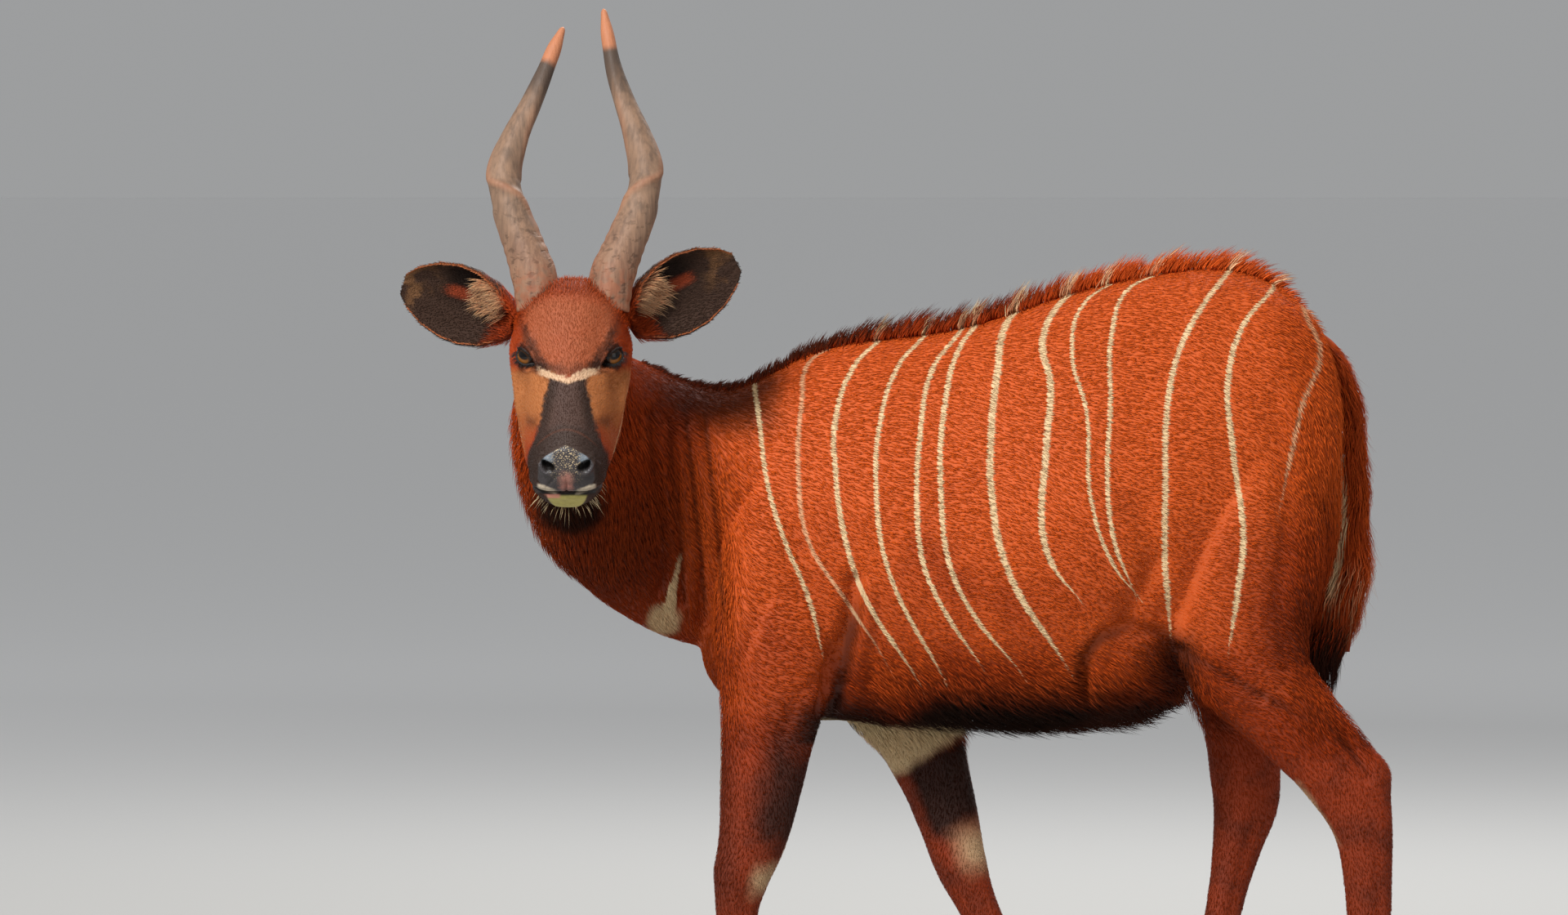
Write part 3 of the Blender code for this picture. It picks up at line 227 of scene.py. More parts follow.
# The head and the throat behind it, which need a finer grain than the body: where they start along the
# nose, and the middle and radius of a ball round them, in the head's own axes.
HEAD_START, HEAD_MIDDLE, HEAD_REACH = -0.085, (0.07, 0.0, -0.02), 0.21

# Masses of muscle and belly: centre, radii, lean inward and turn about Y in degrees.
MASSES = [
    ((-0.165, -0.080, 0.810), (0.098, 0.070, 0.200), 16, 12),
    ((-0.178, -0.100, 0.640), (0.090, 0.058, 0.120), 4, -22),
    ((0.525, -0.082, 0.960), (0.132, 0.078, 0.210), 12, 6),
    ((-0.165, 0.080, 0.800), (0.098, 0.070, 0.200), -16, 12),
    ((-0.120, 0.100, 0.640), (0.090, 0.058, 0.120), -4, -42),
    ((0.520, 0.082, 0.950), (0.132, 0.078, 0.210), -12, 6),
    ((0.335, 0.000, 0.585), (0.105, 0.090, 0.066), 0, -20),
    ((-0.245, -0.010, 0.660), (0.055, 0.080, 0.110), 0, 0),
    ((-0.150, 0.040, 0.645), (0.110, 0.085, 0.105), 0, 0),
]

# Sections of the horns: x and z of the left, x and z of the right, y and radius of both.
HORN_ROWS = [
    (-0.430, 1.135, -0.529, 1.135, -0.268, 0.0300),
    (-0.424, 1.175, -0.535, 1.175, -0.264, 0.0305),
    (-0.404, 1.229, -0.553, 1.229, -0.248, 0.0270),
    (-0.383, 1.282, -0.572, 1.280, -0.230, 0.0252),
    (-0.374, 1.336, -0.582, 1.330, -0.212, 0.0240),
    (-0.387, 1.390, -0.567, 1.384, -0.195, 0.0200),
    (-0.405, 1.438, -0.543, 1.436, -0.180, 0.0165),
    (-0.421, 1.486, -0.524, 1.480, -0.168, 0.0132),
    (-0.430, 1.532, -0.509, 1.518, -0.158, 0.0090),
    (-0.437, 1.576, -0.496, 1.549, -0.150, 0.0040),
]
HORNS = {
    "left": [(x, y, z, radius) for x, z, _, _, y, radius in HORN_ROWS],
    "right": [(x, y, z, radius) for _, _, x, z, y, radius in HORN_ROWS],
}

# Where the main keel of a horn stands, by share of its length: degrees round from the outer side.
HORN_KEEL = [
    (0.00, -10), (0.30, 0), (0.36, 25), (0.41, 90), (0.45, 160), (0.55, 200), (0.70, 240), (0.85, 270),
    (1.00, 300),
]

# Ears: root, tip and the way the cup opens. Their sections: share of the length, half width, depth of
# the cup and how far it wraps round, in degrees.
EARS = {
    "left": ((-0.398, -0.238, 1.112), (-0.236, -0.215, 1.205), (0.10, -0.90, -0.28)),
    "right": ((-0.566, -0.238, 1.112), (-0.735, -0.215, 1.172), (-0.10, -0.90, -0.28)),
}
EAR_SECTIONS = [
    (0.00, 0.024, 0.022, 140),
    (0.08, 0.034, 0.027, 124),
    (0.22, 0.050, 0.030, 106),
    (0.38, 0.059, 0.029, 96),
    (0.56, 0.060, 0.025, 88),
    (0.74, 0.051, 0.019, 82),
    (0.89, 0.034, 0.012, 78),
    (0.98, 0.015, 0.005, 74),
]

# Sections of the tail: x, y, z, half width, reach to the front, reach to the back.
TAIL = [
    (0.600, 0.000, 1.096, 0.026, 0.024, 0.024),
    (0.640, 0.000, 1.068, 0.028, 0.026, 0.026),
    (0.668, 0.000, 1.010, 0.028, 0.022, 0.026),
    (0.679, 0.000, 0.940, 0.027, 0.022, 0.026),
    (0.682, 0.000, 0.860, 0.027, 0.024, 0.026),
    (0.675, 0.000, 0.770, 0.029, 0.028, 0.028),
    (0.666, 0.000, 0.690, 0.030, 0.030, 0.030),
    (0.658, 0.000, 0.620, 0.027, 0.027, 0.027),
    (0.655, 0.000, 0.560, 0.016, 0.016, 0.016),
    (0.656, 0.000, 0.520, 0.006, 0.006, 0.006),
]

# The tail under its hair, as a share of its section.
TAIL_CORE = 0.62

# Mane along the crest and back: x of the skin and how far the hair stands over it there.
MANE = [
    (-0.360, 0.010), (-0.240, 0.015), (-0.110, 0.024), (-0.020, 0.040), (0.080, 0.036), (0.300, 0.033),
    (0.500, 0.034), (0.560, 0.024), (0.620, 0.014),
]
MANE_SPAN = (-0.385, 0.620)

# Planes across the neck: a point, and the way towards the nose.
HEAD_CUT = ((-0.482, -0.214, 1.060), (0.00, -0.985, 0.170))
NECK_CUT = ((-0.262, 0.000, 0.860), (-1.00, -0.06, 0.10))

# Heights of the knee of a foreleg and the hock of a hind leg, and of the top of the tendons below it.
KNEES = {"fore": (0.300, 0.30), "hind": (0.430, 0.42)}
# The point of the left hock in x and z, how far its swell reaches and how far it stands out.
HOCK_POINT, HOCK_REACH, HOCK_SWELL = (0.708, 0.450), 0.030, 0.011

# Feet: middle of the coronet, and which way the toe points from straight ahead, in degrees.
CORONET_HEIGHT = 0.046
CORONET_SLOPE = 0.34
FOOT_TOP = 0.13
FEET = {
    "fore_left": (-0.268, -0.102, -3.0),
    "fore_right": (0.160, 0.102, 3.0),
    "hind_left": (0.677, -0.100, -4.0),
    "hind_right": (0.433, 0.100, 4.0),
}
# Sections of a claw: height, reach to the front, reach to the back, half width.
CLAW_SECTIONS = [
    (0.000, 0.068, 0.038, 0.0165),
    (0.012, 0.064, 0.037, 0.0163),
    (0.030, 0.054, 0.035, 0.0156),
    (CORONET_HEIGHT, 0.036, 0.034, 0.0146),
]
CLAW_ASIDE = 0.0172
DEWCLAW_BEHIND, DEWCLAW_ASIDE, DEWCLAW_ABOVE = 0.031, 0.0165, 0.094
DEWCLAW_RADII = (0.0095, 0.0085, 0.0150)
FETLOCKS = {"fore_left": -0.247, "fore_right": 0.172, "hind_left": 0.694, "hind_right": 0.456}

# White stripes of the left side, from the back down: x and z on the flank.
STRIPES = [
    [(-0.220, 1.040), (-0.210, 0.980), (-0.195, 0.870), (-0.170, 0.790), (-0.135, 0.705), (-0.115, 0.625)],
    [(-0.095, 1.080), (-0.135, 1.050), (-0.145, 0.995), (-0.150, 0.890), (-0.135, 0.790), (-0.085, 0.710),
     (-0.035, 0.635)],
    [(-0.025, 1.090), (-0.065, 1.050), (-0.095, 0.970), (-0.095, 0.890), (-0.080, 0.790), (-0.050, 0.705),
     (0.025, 0.585)],
    [(0.040, 1.095), (0.000, 1.050), (-0.030, 0.960), (-0.035, 0.865), (-0.025, 0.775), (0.000, 0.705),
     (0.065, 0.585)],
    [(0.095, 1.105), (0.050, 1.045), (0.030, 0.950), (0.025, 0.840), (0.035, 0.755), (0.070, 0.680),
     (0.120, 0.605)],
    [(0.130, 1.125), (0.090, 1.075), (0.065, 0.980), (0.060, 0.865), (0.075, 0.750), (0.110, 0.680),
     (0.175, 0.600)],
    [(0.200, 1.150), (0.160, 1.110), (0.145, 1.040), (0.135, 0.960), (0.135, 0.855), (0.160, 0.745),
     (0.245, 0.605)],
    [(0.295, 1.180), (0.240, 1.140), (0.212, 1.085), (0.222, 1.025), (0.215, 0.930), (0.210, 0.800),
     (0.225, 0.755), (0.265, 0.705)],
    [(0.345, 1.185), (0.275, 1.140), (0.255, 1.070), (0.275, 0.980), (0.280, 0.855), (0.315, 0.755),
     (0.355, 0.705)],
    [(0.400, 1.190), (0.340, 1.160), (0.315, 1.100), (0.310, 0.995), (0.305, 0.865), (0.315, 0.790),
     (0.345, 0.715)],
    [(0.500, 1.200), (0.455, 1.145), (0.415, 1.075), (0.395, 0.995), (0.390, 0.865), (0.390, 0.765),
     (0.400, 0.650)],
    [(0.565, 1.175), (0.510, 1.110), (0.485, 1.030), (0.490, 0.930), (0.505, 0.800), (0.495, 0.705),
     (0.485, 0.635)],
    [(0.600, 1.130), (0.622, 1.070), (0.595, 0.995), (0.575, 0.910), (0.565, 0.865)],
]
# How broad each stripe is. Those below FAINT_BREADTH are painted more weakly.
STRIPE_BREADTHS = [0.85, 0.60, 0.95, 0.85, 0.90, 0.95, 1.25, 1.20, 0.70, 0.80, 1.05, 1.05, 0.62]
FAINT_BREADTH = 0.65
STRIPE_LOW, STRIPE_HIGH = 0.560, 1.260
STRIPE_FRONT, STRIPE_BACK = -0.300, 0.700

# Oval marks on the flank and the neck: middle and radii, in x and z. Round the sheath and under the chin,
# dark hair and painted shade.
SHEATH_OVAL = ((0.338, 0.592), (0.078, 0.066))
BEARD_AND_SHADE_OVAL = ((-0.486, 0.848), (0.056, 0.048))
SPOT_OVAL = ((-0.351, 0.669), (0.028, 0.027))
# The lower lip seen from ahead: aside and below the head's origin.
LIP_OVAL = ((0.0, 0.196), (0.033, 0.028))
# Grooves of the neck, in radians per metre across them.
GROOVE_PACE = 218.9

# Where pieces of the coat meet: x behind the shoulder and before the haunch, middle height, x of the neck.
SHOULDER_END, HAUNCH_START, TRUNK_MIDDLE, NECK_MIDDLE = 0.02, 0.30, 0.80, -0.40
# How far the coat stands up on parts of the body, as a share of its length over that of the trunk.
COAT_STAND = {
    "belly": 0.38, "rump": 0.16, "neck": 0.03, "head": 0.05, "ruff": 0.28, "crown": 0.30, "beard": 0.20}
# Tufts for a quick export: share of the full number, and how much broader each is.
# How far the hair stays inside the box of the solids.
BOX_MARGIN = 0.0003
# How deep the root of a hair stands in the skin.
ROOT_DEPTH = 0.001
# Side of the patch that a tuft takes on the unwrap.
PATCH = 0.003

# Where each row of random draws starts.
SEEDS = {"lashes": 31, "ears": 47, "coat": 5, "mane": 12, "tail": 23, "whiskers": 61}

# Rings of a lid, by share of the opening between the lids.
LID_ROWS = [0.90, 1.0, 1.05, 1.14, 1.26, 1.40, 1.56, 1.74, 1.94, 2.16, 2.40]
# Which way LEFTWARD counts on each side of the head.
SIDES = ((1, "left"), (-1, "right"))

CAMERA_PLACE = (-0.1707, -13.880, 1.3974)
CAMERA_TILT = math.radians(88)
CAMERA_LENS, CAMERA_SENSOR = 215.38, 36.0
LIGHT_TARGET = (0.0, 0.0, 0.8)
DOWN = np.array((0.0, 0.0, -1.0))


def linear(red, green, blue):
    """A colour as seen on a screen, 0 to 255, as the shader's own linear values."""
    shares = [value / 255 for value in (red, green, blue)]
    return tuple(s / 12.92 if s <= 0.04045 else ((s + 0.055) / 1.055) ** 2.4 for s in shares)


def colour(name, description, default):
    return FloatVectorProperty(
        name=name, description=description, default=default, size=3, subtype="COLOR", min=0.0, max=1.0)


def distance(name, description, default):
    return FloatProperty(
        name=name, description=description, default=default, min=0.0, subtype="DISTANCE", unit="LENGTH")


def amount(name, description, default):
    return IntProperty(name=name, description=description, default=default, min=1)


def power(name, description, default):
    return FloatProperty(name=name, description=description, default=default, min=0.0, unit="POWER")


class BongoSkinSettings(bpy.types.PropertyGroup):
    voxel: distance("Voxel", "Grain of the fused body before the head is refined", 0.0060)
    trunk_depth: distance("Coat depth", "How far the skin lies inside the body's outline", 0.0024)
    face_depth: distance("Face coat depth", "How far the skin lies inside on the head and the feet", 0.0009)
    lid_thickness: distance("Lid thickness", "How far the lids stand over the eyeball", 0.0020)
    nostril_depth: distance("Nostril depth", "How deep each nostril goes", 0.0150)


class BongoCoatSettings(bpy.types.PropertyGroup):
    density: amount("Tufts per square metre", "Tufts on the trunk", 70000)
    trunk_length: distance("Trunk tuft", "Length of a tuft on the trunk", 0.0130)
    neck_length: distance("Neck tuft", "Length of a tuft on the neck", 0.0160)
    face_length: distance("Face tuft", "Length of a tuft on the head", 0.0062)
    leg_length: distance("Leg tuft", "Length of a tuft on the legs", 0.0085)
    trunk_width: distance("Tuft width", "Width of a tuft on the trunk", 0.0016)
    mane_locks: amount("Mane locks", "Locks along the crest", 5200)
    tail_hairs: amount("Tail hairs", "Locks round the tail", 3800)
    ear_density: amount("Ear tufts per square metre", "Tufts on the ears", 130000)
    ear_fan_hairs: amount("Ear fan", "Cream hairs at the root of each ear", 520)
    ear_fringe_hairs: amount("Ear fringe", "Pale hairs along the rims of each ear", 900)
    whiskers: amount("Whiskers", "Bristles at the chin and the lips", 90)


class BongoColourSettings(bpy.types.PropertyGroup):
    hide: colour("Hide", "Bright orange-red of the upper flank", linear(212, 90, 30))
    hide_deep: colour("Deep hide", "Red-brown of the lower flank, neck and legs", linear(158, 56, 16))
    hide_dark: colour("Dark hide", "Black-brown of the belly and the bands of the legs", linear(32, 17, 9))
    cream: colour("Cream", "Stripes, chevron and white patches", linear(236, 208, 160))
    forehead: colour("Forehead", "Brown of the forehead", linear(164, 86, 52))
    cheek: colour("Cheek", "Tan-orange of the cheek patches", linear(184, 114, 64))
    nose_band: colour("Nose band", "Slate black down the nose", linear(76, 58, 50))
    nose_pad: colour("Nose pad", "Bare skin round the nostrils", linear(60, 55, 56))
    rim: colour("Rim", "Black skin of lids, mouth and nostrils", linear(18, 13, 11))
    lip: colour("Lower lip", "Pale skin of the lower lip", linear(176, 164, 92))
    pink: colour("Pink lip", "Bare pink skin below the nose and inside the lip", linear(206, 134, 116))
    horn: colour("Horn", "Grey-brown of the horns", linear(144, 114, 92))
    horn_dark: colour("Horn band", "Dark grey below each tip", linear(78, 66, 58))
    horn_tip: colour("Horn tip", "Pinkish tan of the smooth tips", linear(192, 124, 88))
    iris: colour("Iris", "Amber brown of the iris", linear(128, 76, 22))
    hoof: colour("Hoof", "Worn black of the hooves", linear(50, 42, 36))
    chevron: colour("Chevron", "Pinkish white mixed into the chevron", linear(226, 178, 150))
    # Painted sheen: light reflected off the wet skin above the nostrils, given as a colour.
    nose_painted_sheen: colour("Nose sheen", "Blue-grey above the nostrils", (0.16, 0.19, 0.22))
    upper_lip: colour("Upper lip", "Pale edge of the upper lip", linear(208, 190, 164))
    pupil: colour("Pupil", "Black of the pupil", (0.004, 0.003, 0.003))
    ear_dusk: colour("Ear", "Dark brown inside the ears", linear(64, 46, 37))
    ear_blotch: colour("Ear blotches", "Brown blotches towards the tip of an ear", linear(136, 96, 62))
    ear_red: colour("Red of the ear", "Small red patch inside an ear", linear(170, 72, 40))
    ear_rim: colour("Rim of the ear", "Brown of an ear's upper rim", linear(146, 76, 38))
    ear_fan: colour("Fan of the ear", "Cream tips of the fan at the root of an ear", linear(214, 176, 128))


class BongoStageSettings(bpy.types.PropertyGroup):
    floor: colour("Floor", "Pale floor", (0.40, 0.395, 0.38))
    # Painted light: the floor far off, which the lamps hardly reach, is made nearly white to meet the
    # backdrop.
    far_floor_painted_light: colour("Far floor", "Nearly white floor far off", (0.97, 0.97, 0.97))
    backdrop: colour("Backdrop", "Pale light all round", (0.80, 0.81, 0.82))
    backdrop_strength: FloatProperty(
        name="Backdrop strength", description="Strength of the light all round", default=0.42, min=0.0)
    key_power: power("Key light", "Power of the light from the upper left", 600.0)
    fill_power: power("Fill light", "Power of the light from the right", 50.0)
    rim_power: power("Rim light", "Power of the light from above and behind", 260.0)


def column(rows, index):
    return np.array([row[index] for row in rows], float)


def unit(vectors):
    return vectors / np.maximum(np.linalg.norm(vectors, axis=-1, keepdims=True), 1e-12)


def through(rows, count):
    """The rows joined by a smooth curve through them all, read at count places even along its length."""
    rows = np.array(rows, float)
    steps = np.linalg.norm(np.diff(rows[:, :3], axis=0), axis=1)
    knots = np.concatenate([[0.0], np.cumsum(steps)])
    slopes = np.gradient(rows, knots, axis=0)
    at = np.linspace(0.0, knots[-1], count)
    left = np.clip(np.searchsorted(knots, at, side="right") - 1, 0, len(knots) - 2)
    width = knots[left + 1] - knots[left]
    t = ((at - knots[left]) / width)[:, None]
    width = width[:, None]
    return (
        (2 * t**3 - 3 * t**2 + 1) * rows[left]
        + (t**3 - 2 * t**2 + t) * width * slopes[left]
        + (3 * t**2 - 2 * t**3) * rows[left + 1]
        + (t**3 - t**2) * width * slopes[left + 1]
    )


def step_up(values, low, high):
    """0 below low, 1 above high, and smooth between."""
    t = np.clip((values - low) / (high - low), 0.0, 1.0)
    return t * t * (3 - 2 * t)


def bump(away, width):
    return np.exp(-((away / width) ** 2))


def blend(first, second, share):
    """first where share is 0 and second where it is 1."""
    share = np.asarray(share)
    if np.ndim(first) > share.ndim or np.ndim(second) > share.ndim:
        share = share[..., None]
    return first * (1 - share) + second * share


def ring_faces(count, around, closed=False):
    """Faces between neighbouring rings, and from the last ring to the first where closed."""
    faces = []
    for i in range(count if closed else count - 1):
        for j in range(around):
            k, n = (j + 1) % around, (i + 1) % count
            faces.append((i * around + j, i * around + k, n * around + k, n * around + j))
    return faces


def bridge(rings):
    """A closed form through rings of points, with a fan at each end, as points and faces."""
    count, around = len(rings), len(rings[0])
    points = [tuple(p) for ring in rings for p in ring]
    faces = ring_faces(count, around)
    first, last = len(points), len(points) + 1
    points += [tuple(np.mean(rings[0], axis=0)), tuple(np.mean(rings[-1], axis=0))]
    for j in range(around):
        k = (j + 1) % around
        faces += [(first, k, j), (last, (count - 1) * around + j, (count - 1) * around + k)]
    return points, faces


def section_ring(centre, aside, upward, half, rise, drop, around, bulk=1.0, pinch=(0.0, 0.0)):
    """One closed section. bulk below 1 squares it, and pinch narrows its upper and lower halves."""
    turn = np.linspace(0, 2 * math.pi, around, endpoint=False)
    c, s = np.cos(turn), np.sin(turn)
    across = np.sign(c) * np.abs(c) ** bulk * half
    across *= 1 - pinch[0] * np.maximum(s, 0) ** 1.5 - pinch[1] * np.maximum(-s, 0) ** 1.5
    over = np.sign(s) * np.abs(s) ** bulk * np.where(s > 0, rise, drop)
    return centre + across[:, None] * aside + over[:, None] * upward


def loft(rows, hint, count, around, bulk=1.0, pinch=(0.0, 0.0), level=None):
    """A closed form along a bent path. Each row is x, y, z, half width, reach towards hint, reach away."""
    rows = through(rows, count)
    path = rows[:, :3]
    along = unit(np.gradient(path, axis=0)) if level is None else np.tile(level, (count, 1))
    upward = unit(np.array(hint) - (along @ np.array(hint))[:, None] * along)
    aside = np.cross(along, upward)
    return bridge([
        section_ring(path[i], aside[i], upward[i], *rows[i, 3:6], around, bulk, pinch)
        for i in range(count)
    ])


def head_place(along, aside, above):
    return HEAD_ORIGIN + along * FORWARD + aside * LEFTWARD + above * UPWARD


def head_coordinates(points):
    """Along the nose, aside and above, for points in the frame of the body."""
    offset = points - HEAD_ORIGIN
    return offset @ FORWARD, offset @ LEFTWARD, offset @ UPWARD


def head_form():
    rows = through([(a, 0.0, wide, half, top - wide, wide - low) for a, half, top, wide, low in HEAD], 70)
    rings = []
    for along, _, wide, half, rise, drop in rows:
        muzzle = min(max((along - 0.03) / 0.10, 0.0), 1.0)
        crown = min(max((-0.02 - along) / 0.06, 0.0), 1.0)
        blunt = min(max((along - 0.12) / 0.06, 0.0), 1.0)
        narrow = 0.22 + 0.16 * muzzle * (1 - blunt) - 0.14 * crown
        rings.append(section_ring(
            head_place(along, 0.0, wide), LEFTWARD, UPWARD, half, rise, drop, 100,
            0.84 - 0.04 * muzzle - 0.06 * crown,
            (narrow, 0.06 + 0.14 * crown - 0.14 * muzzle * (1 - blunt)),
        ))
    return bridge(rings)


def ellipsoid(centre, radii, lean=0.0, turn=0.0, around=28):
    turned = Matrix.Rotation(math.radians(-lean), 3, "X") @ Matrix.Rotation(math.radians(turn), 3, "Y")
    turned = np.array(turned)
    rings = []
    for height in np.linspace(-math.pi / 2, math.pi / 2, around * 2 // 3)[1:-1]:
        ring = section_ring(
            np.array((0.0, 0.0, math.sin(height))), np.array((1.0, 0.0, 0.0)), np.array((0.0, 1.0, 0.0)),
            math.cos(height), math.cos(height), math.cos(height), around)
        rings.append((ring * np.array(radii)) @ turned.T + np.array(centre))
    return bridge(rings)


def gathered(forms):
    """Several forms as one list of points and one of faces."""
    points, faces = [], []
    for some_points, some_faces in forms:
        base = len(points)
        points += some_points
        faces += [tuple(i + base for i in face) for face in some_faces]
    return points, faces


def mesh_object(name, points, faces):
    mesh = bpy.data.meshes.new(name)
    mesh.from_pydata([tuple(map(float, p)) for p in points], [], faces)
    bm = bmesh.new()
    bm.from_mesh(mesh)
    bmesh.ops.recalc_face_normals(bm, faces=bm.faces)
    bm.to_mesh(mesh)
    bm.free()
    made = bpy.data.objects.new(name, mesh)
    bpy.context.scene.collection.objects.link(made)
    return made


def read(items, field, width=3, kind=float):
    flat = np.empty(len(items) * width, kind)
    items.foreach_get(field, flat)
    return flat.reshape(-1, width) if width > 1 else flat


def put_points(mesh, points):
    mesh.vertices.foreach_set("co", np.ascontiguousarray(points, float).ravel())
    mesh.update()


def set_attribute(mesh, name, values):
    values = np.asarray(values, np.float32)
    kind, field = ("FLOAT_VECTOR", "vector") if values.ndim == 2 else ("FLOAT", "value")
    mesh.attributes.new(name, kind, "POINT").data.foreach_set(field, values.ravel())


def relaxed(mesh, share, passes):
    """Smooths the mesh in place. share says how much of each pass every point takes."""
    edges = read(mesh.edges, "vertices", 2, np.int32)
    points = read(mesh.vertices, "co")
    degree = np.bincount(edges.ravel(), minlength=len(points))[:, None]
    for _ in range(passes):
        total = np.zeros_like(points)
        for axis in range(3):
            total[:, axis] = np.bincount(edges[:, 0], points[edges[:, 1], axis], len(points))
            total[:, axis] += np.bincount(edges[:, 1], points[edges[:, 0], axis], len(points))
        points += share[:, None] * 0.5 * (total / degree - points)
    put_points(mesh, points)


def refined(mesh, chosen):
    """Splits the faces whose corners are all chosen by the middle of their sides, and smooths them."""
    bm = bmesh.new()
    bm.from_mesh(mesh)
    flags = chosen(read(mesh.vertices, "co"))
    edges = {edge for face in bm.faces if all(flags[v.index] for v in face.verts) for edge in face.edges}
    bmesh.ops.subdivide_edges(bm, edges=list(edges), cuts=1, use_grid_fill=True)
    bm.to_mesh(mesh)
    bm.free()
    relaxed(mesh, chosen(read(mesh.vertices, "co")).astype(float), 4)


def tree_of(mesh, points):
    return BVHTree.FromPolygons([tuple(p) for p in points], [tuple(face.vertices) for face in mesh.polygons])


def eye_place(side):
    return head_place(EYE_ALONG, side * EYE_ASIDE, EYE_ABOVE)


def eye_axes(side):
    """Out of the eye, along the slit of the lids, and across it upward."""
    out = unit(side * 0.64 * LEFTWARD + 0.50 * FORWARD + 0.58 * UPWARD)
    slit = FORWARD - side * 1.30 * LEFTWARD
    slit = unit(slit - (slit @ out) * out)
    return out, slit, np.cross(out, slit) * side


def eye_front(side):
    """The foremost point of an eyeball."""
    return eye_place(side) + eye_axes(side)[0] * EYE_RADIUS


def eye_view(points, side):
    """How far points lie along the slit, across it and out of the eye, and their share of the opening."""
    out, slit, across = eye_axes(side)
    offset = points - eye_place(side)
    u, v, w = offset @ slit, offset @ across, offset @ out
    turn = np.arctan2(v / LID_RISE, u / LID_HALF_LENGTH)
    edge_u, edge_v = lid_edge(turn)
    return u, v, w, np.hypot(u, v) / np.hypot(edge_u, edge_v)


def lid_edge(turn):
    """The almond outline of the opening at a turn round it: 0 is the inner corner, a quarter is up."""
    tall = np.sin(turn) * np.where(np.sin(turn) > 0, LID_RISE, LID_DROP)
    long = np.cos(turn) * LID_HALF_LENGTH * (1 + 0.14 * step_up(np.cos(turn), 0.80, 1.0))
    return long, tall * (1 - 0.42 * np.abs(np.cos(turn)) ** 3) - 0.0012 * step_up(np.cos(turn), 0.6, 1.0)


def mouth_height(along):
    """Height of the mouth line in the head's axes, from its corner to the middle of the lips."""
    return -0.054 + 0.029 * step_up(along, 0.170, 0.236)


def nostril_share(points):
    """Distance from the middle of a comma-shaped nostril seen from ahead, as a share of its opening."""
    away = np.abs((points - HEAD_ORIGIN) @ LEFTWARD) - NOSTRIL_ASIDE
    tall = points[..., 2] - HEAD_ORIGIN[2] - NOSTRIL_FALL
    long, wide = 0.78 * away + 0.62 * tall, 0.78 * tall - 0.62 * away
    return np.hypot(long / 0.0112, (wide - 14 * long**2) / (0.0066 * (1 - 18 * np.clip(long, -0.02, 0.02))))


def carved_head(points, normals):
    """Raises the brow, cheekbone, jaw and lips, and sinks the hollows, sockets, nostrils and mouth line."""
    along, aside, above = head_coordinates(points)
    near = (along > -0.15) & (along < 0.26) & (np.abs(aside) < 0.12) & (np.abs(above) < 0.16)
    away = np.abs(aside)
    flank = step_up(away, 0.042, 0.060)
    rise = np.zeros(len(points))
    brow = np.hypot(along - EYE_ALONG + 0.014, above - EYE_ABOVE - 0.027)
    rise += 0.0055 * bump(brow, 0.018) * flank
    tear_hollow = np.hypot(along - EYE_ALONG - 0.042, above - EYE_ABOVE + 0.014)
    rise -= 0.0050 * bump(tear_hollow, 0.018) * flank
    cheekbone = above + 0.014 + 0.22 * (along + 0.02)
    cheek_span = step_up(along, -0.07, -0.02) * (1 - step_up(along, 0.06, 0.11))
    rise += 0.0050 * bump(cheekbone, 0.010) * flank * cheek_span
    rise += 0.0030 * bump(np.hypot(along + 0.005, above + 0.075), 0.042) * flank
    rise -= 0.0035 * bump(along - 0.045, 0.045) * step_up(away, 0.050, 0.070)
    rise += 0.0035 * bump(along - 0.145, 0.030) * step_up(away, 0.042, 0.056) * step_up(-above, 0.0, 0.03)
    for side in (1, -1):
        rise += 0.0045 * bump(np.linalg.norm(points - eye_front(side), axis=1), 0.026)
    rise -= 0.0035 * bump(np.hypot(along - 0.105, above + 0.020), 0.026) * step_up(away, 0.035, 0.050)
    rise -= 0.0012 * bump(away - 0.034, 0.006) * step_up(along, 0.08, 0.11) * (1 - step_up(along, 0.17, 0.19))
    fall = HEAD_ORIGIN[2] - points[:, 2]
    front = near & (along > NOSTRIL_ALONG - 0.034)
    share = nostril_share(points)
    wing = step_up(away - NOSTRIL_ASIDE, -0.006, 0.006)
    rise += (0.0012 + 0.0026 * wing) * bump(share - 1.45, 0.42) * front
    rise -= 0.0016 * bump(fall - 0.128 - 9.0 * away**2, 0.0035) * (away < 0.05) * (along > 0.13)
    rise += 0.0024 * bump(fall - 0.140 - 6.0 * away**2, 0.009) * (away < 0.05) * (along > 0.13)
    rise -= 0.0040 * bump(away, 0.0016) * bump(fall - 0.186, 0.010) * (along > 0.2)
    lip_groove = bump(away - 0.016 - 0.8 * (fall - 0.172), 0.0030) * bump(fall - 0.178, 0.010)
    rise -= 0.0022 * lip_groove * (along > 0.19)
    line = above - mouth_height(along)
    mouth = step_up(along, 0.140, 0.152)
    rise -= 0.0075 * bump(line, 0.0026) * mouth
    rise += 0.0026 * bump(line - 0.010, 0.006) * mouth
    rise += 0.0022 * bump(line + 0.010, 0.007) * mouth
    made = points + (rise * near)[:, None] * normals
    depth = bpy.context.scene.bongo_skin.nostril_depth
    sink = depth * np.clip(1 - nostril_share(made) ** 2, 0.0, 1.0) ** 0.6
    inward = unit(-FORWARD - 0.35 * UPWARD)
    return made + (sink * front)[:, None] * inward


def sunk_sockets(points):
    """Pushes the skin below each eyeball where the lids and the eye cover it."""
    made = points.copy()
    for side in (1, -1):
        out = eye_axes(side)[0]
        u, v, w, share = eye_view(points, side)
        reach = np.sqrt(np.maximum((EYE_RADIUS - 0.0045) ** 2 - u**2 - v**2, 0.0))
        drop = np.minimum(reach - w, 0.0) * (1 - step_up(share, 1.35, 1.95))
        made += (np.where((w > -0.005) & (share < 2.2), drop, 0.0))[:, None] * out
    return made


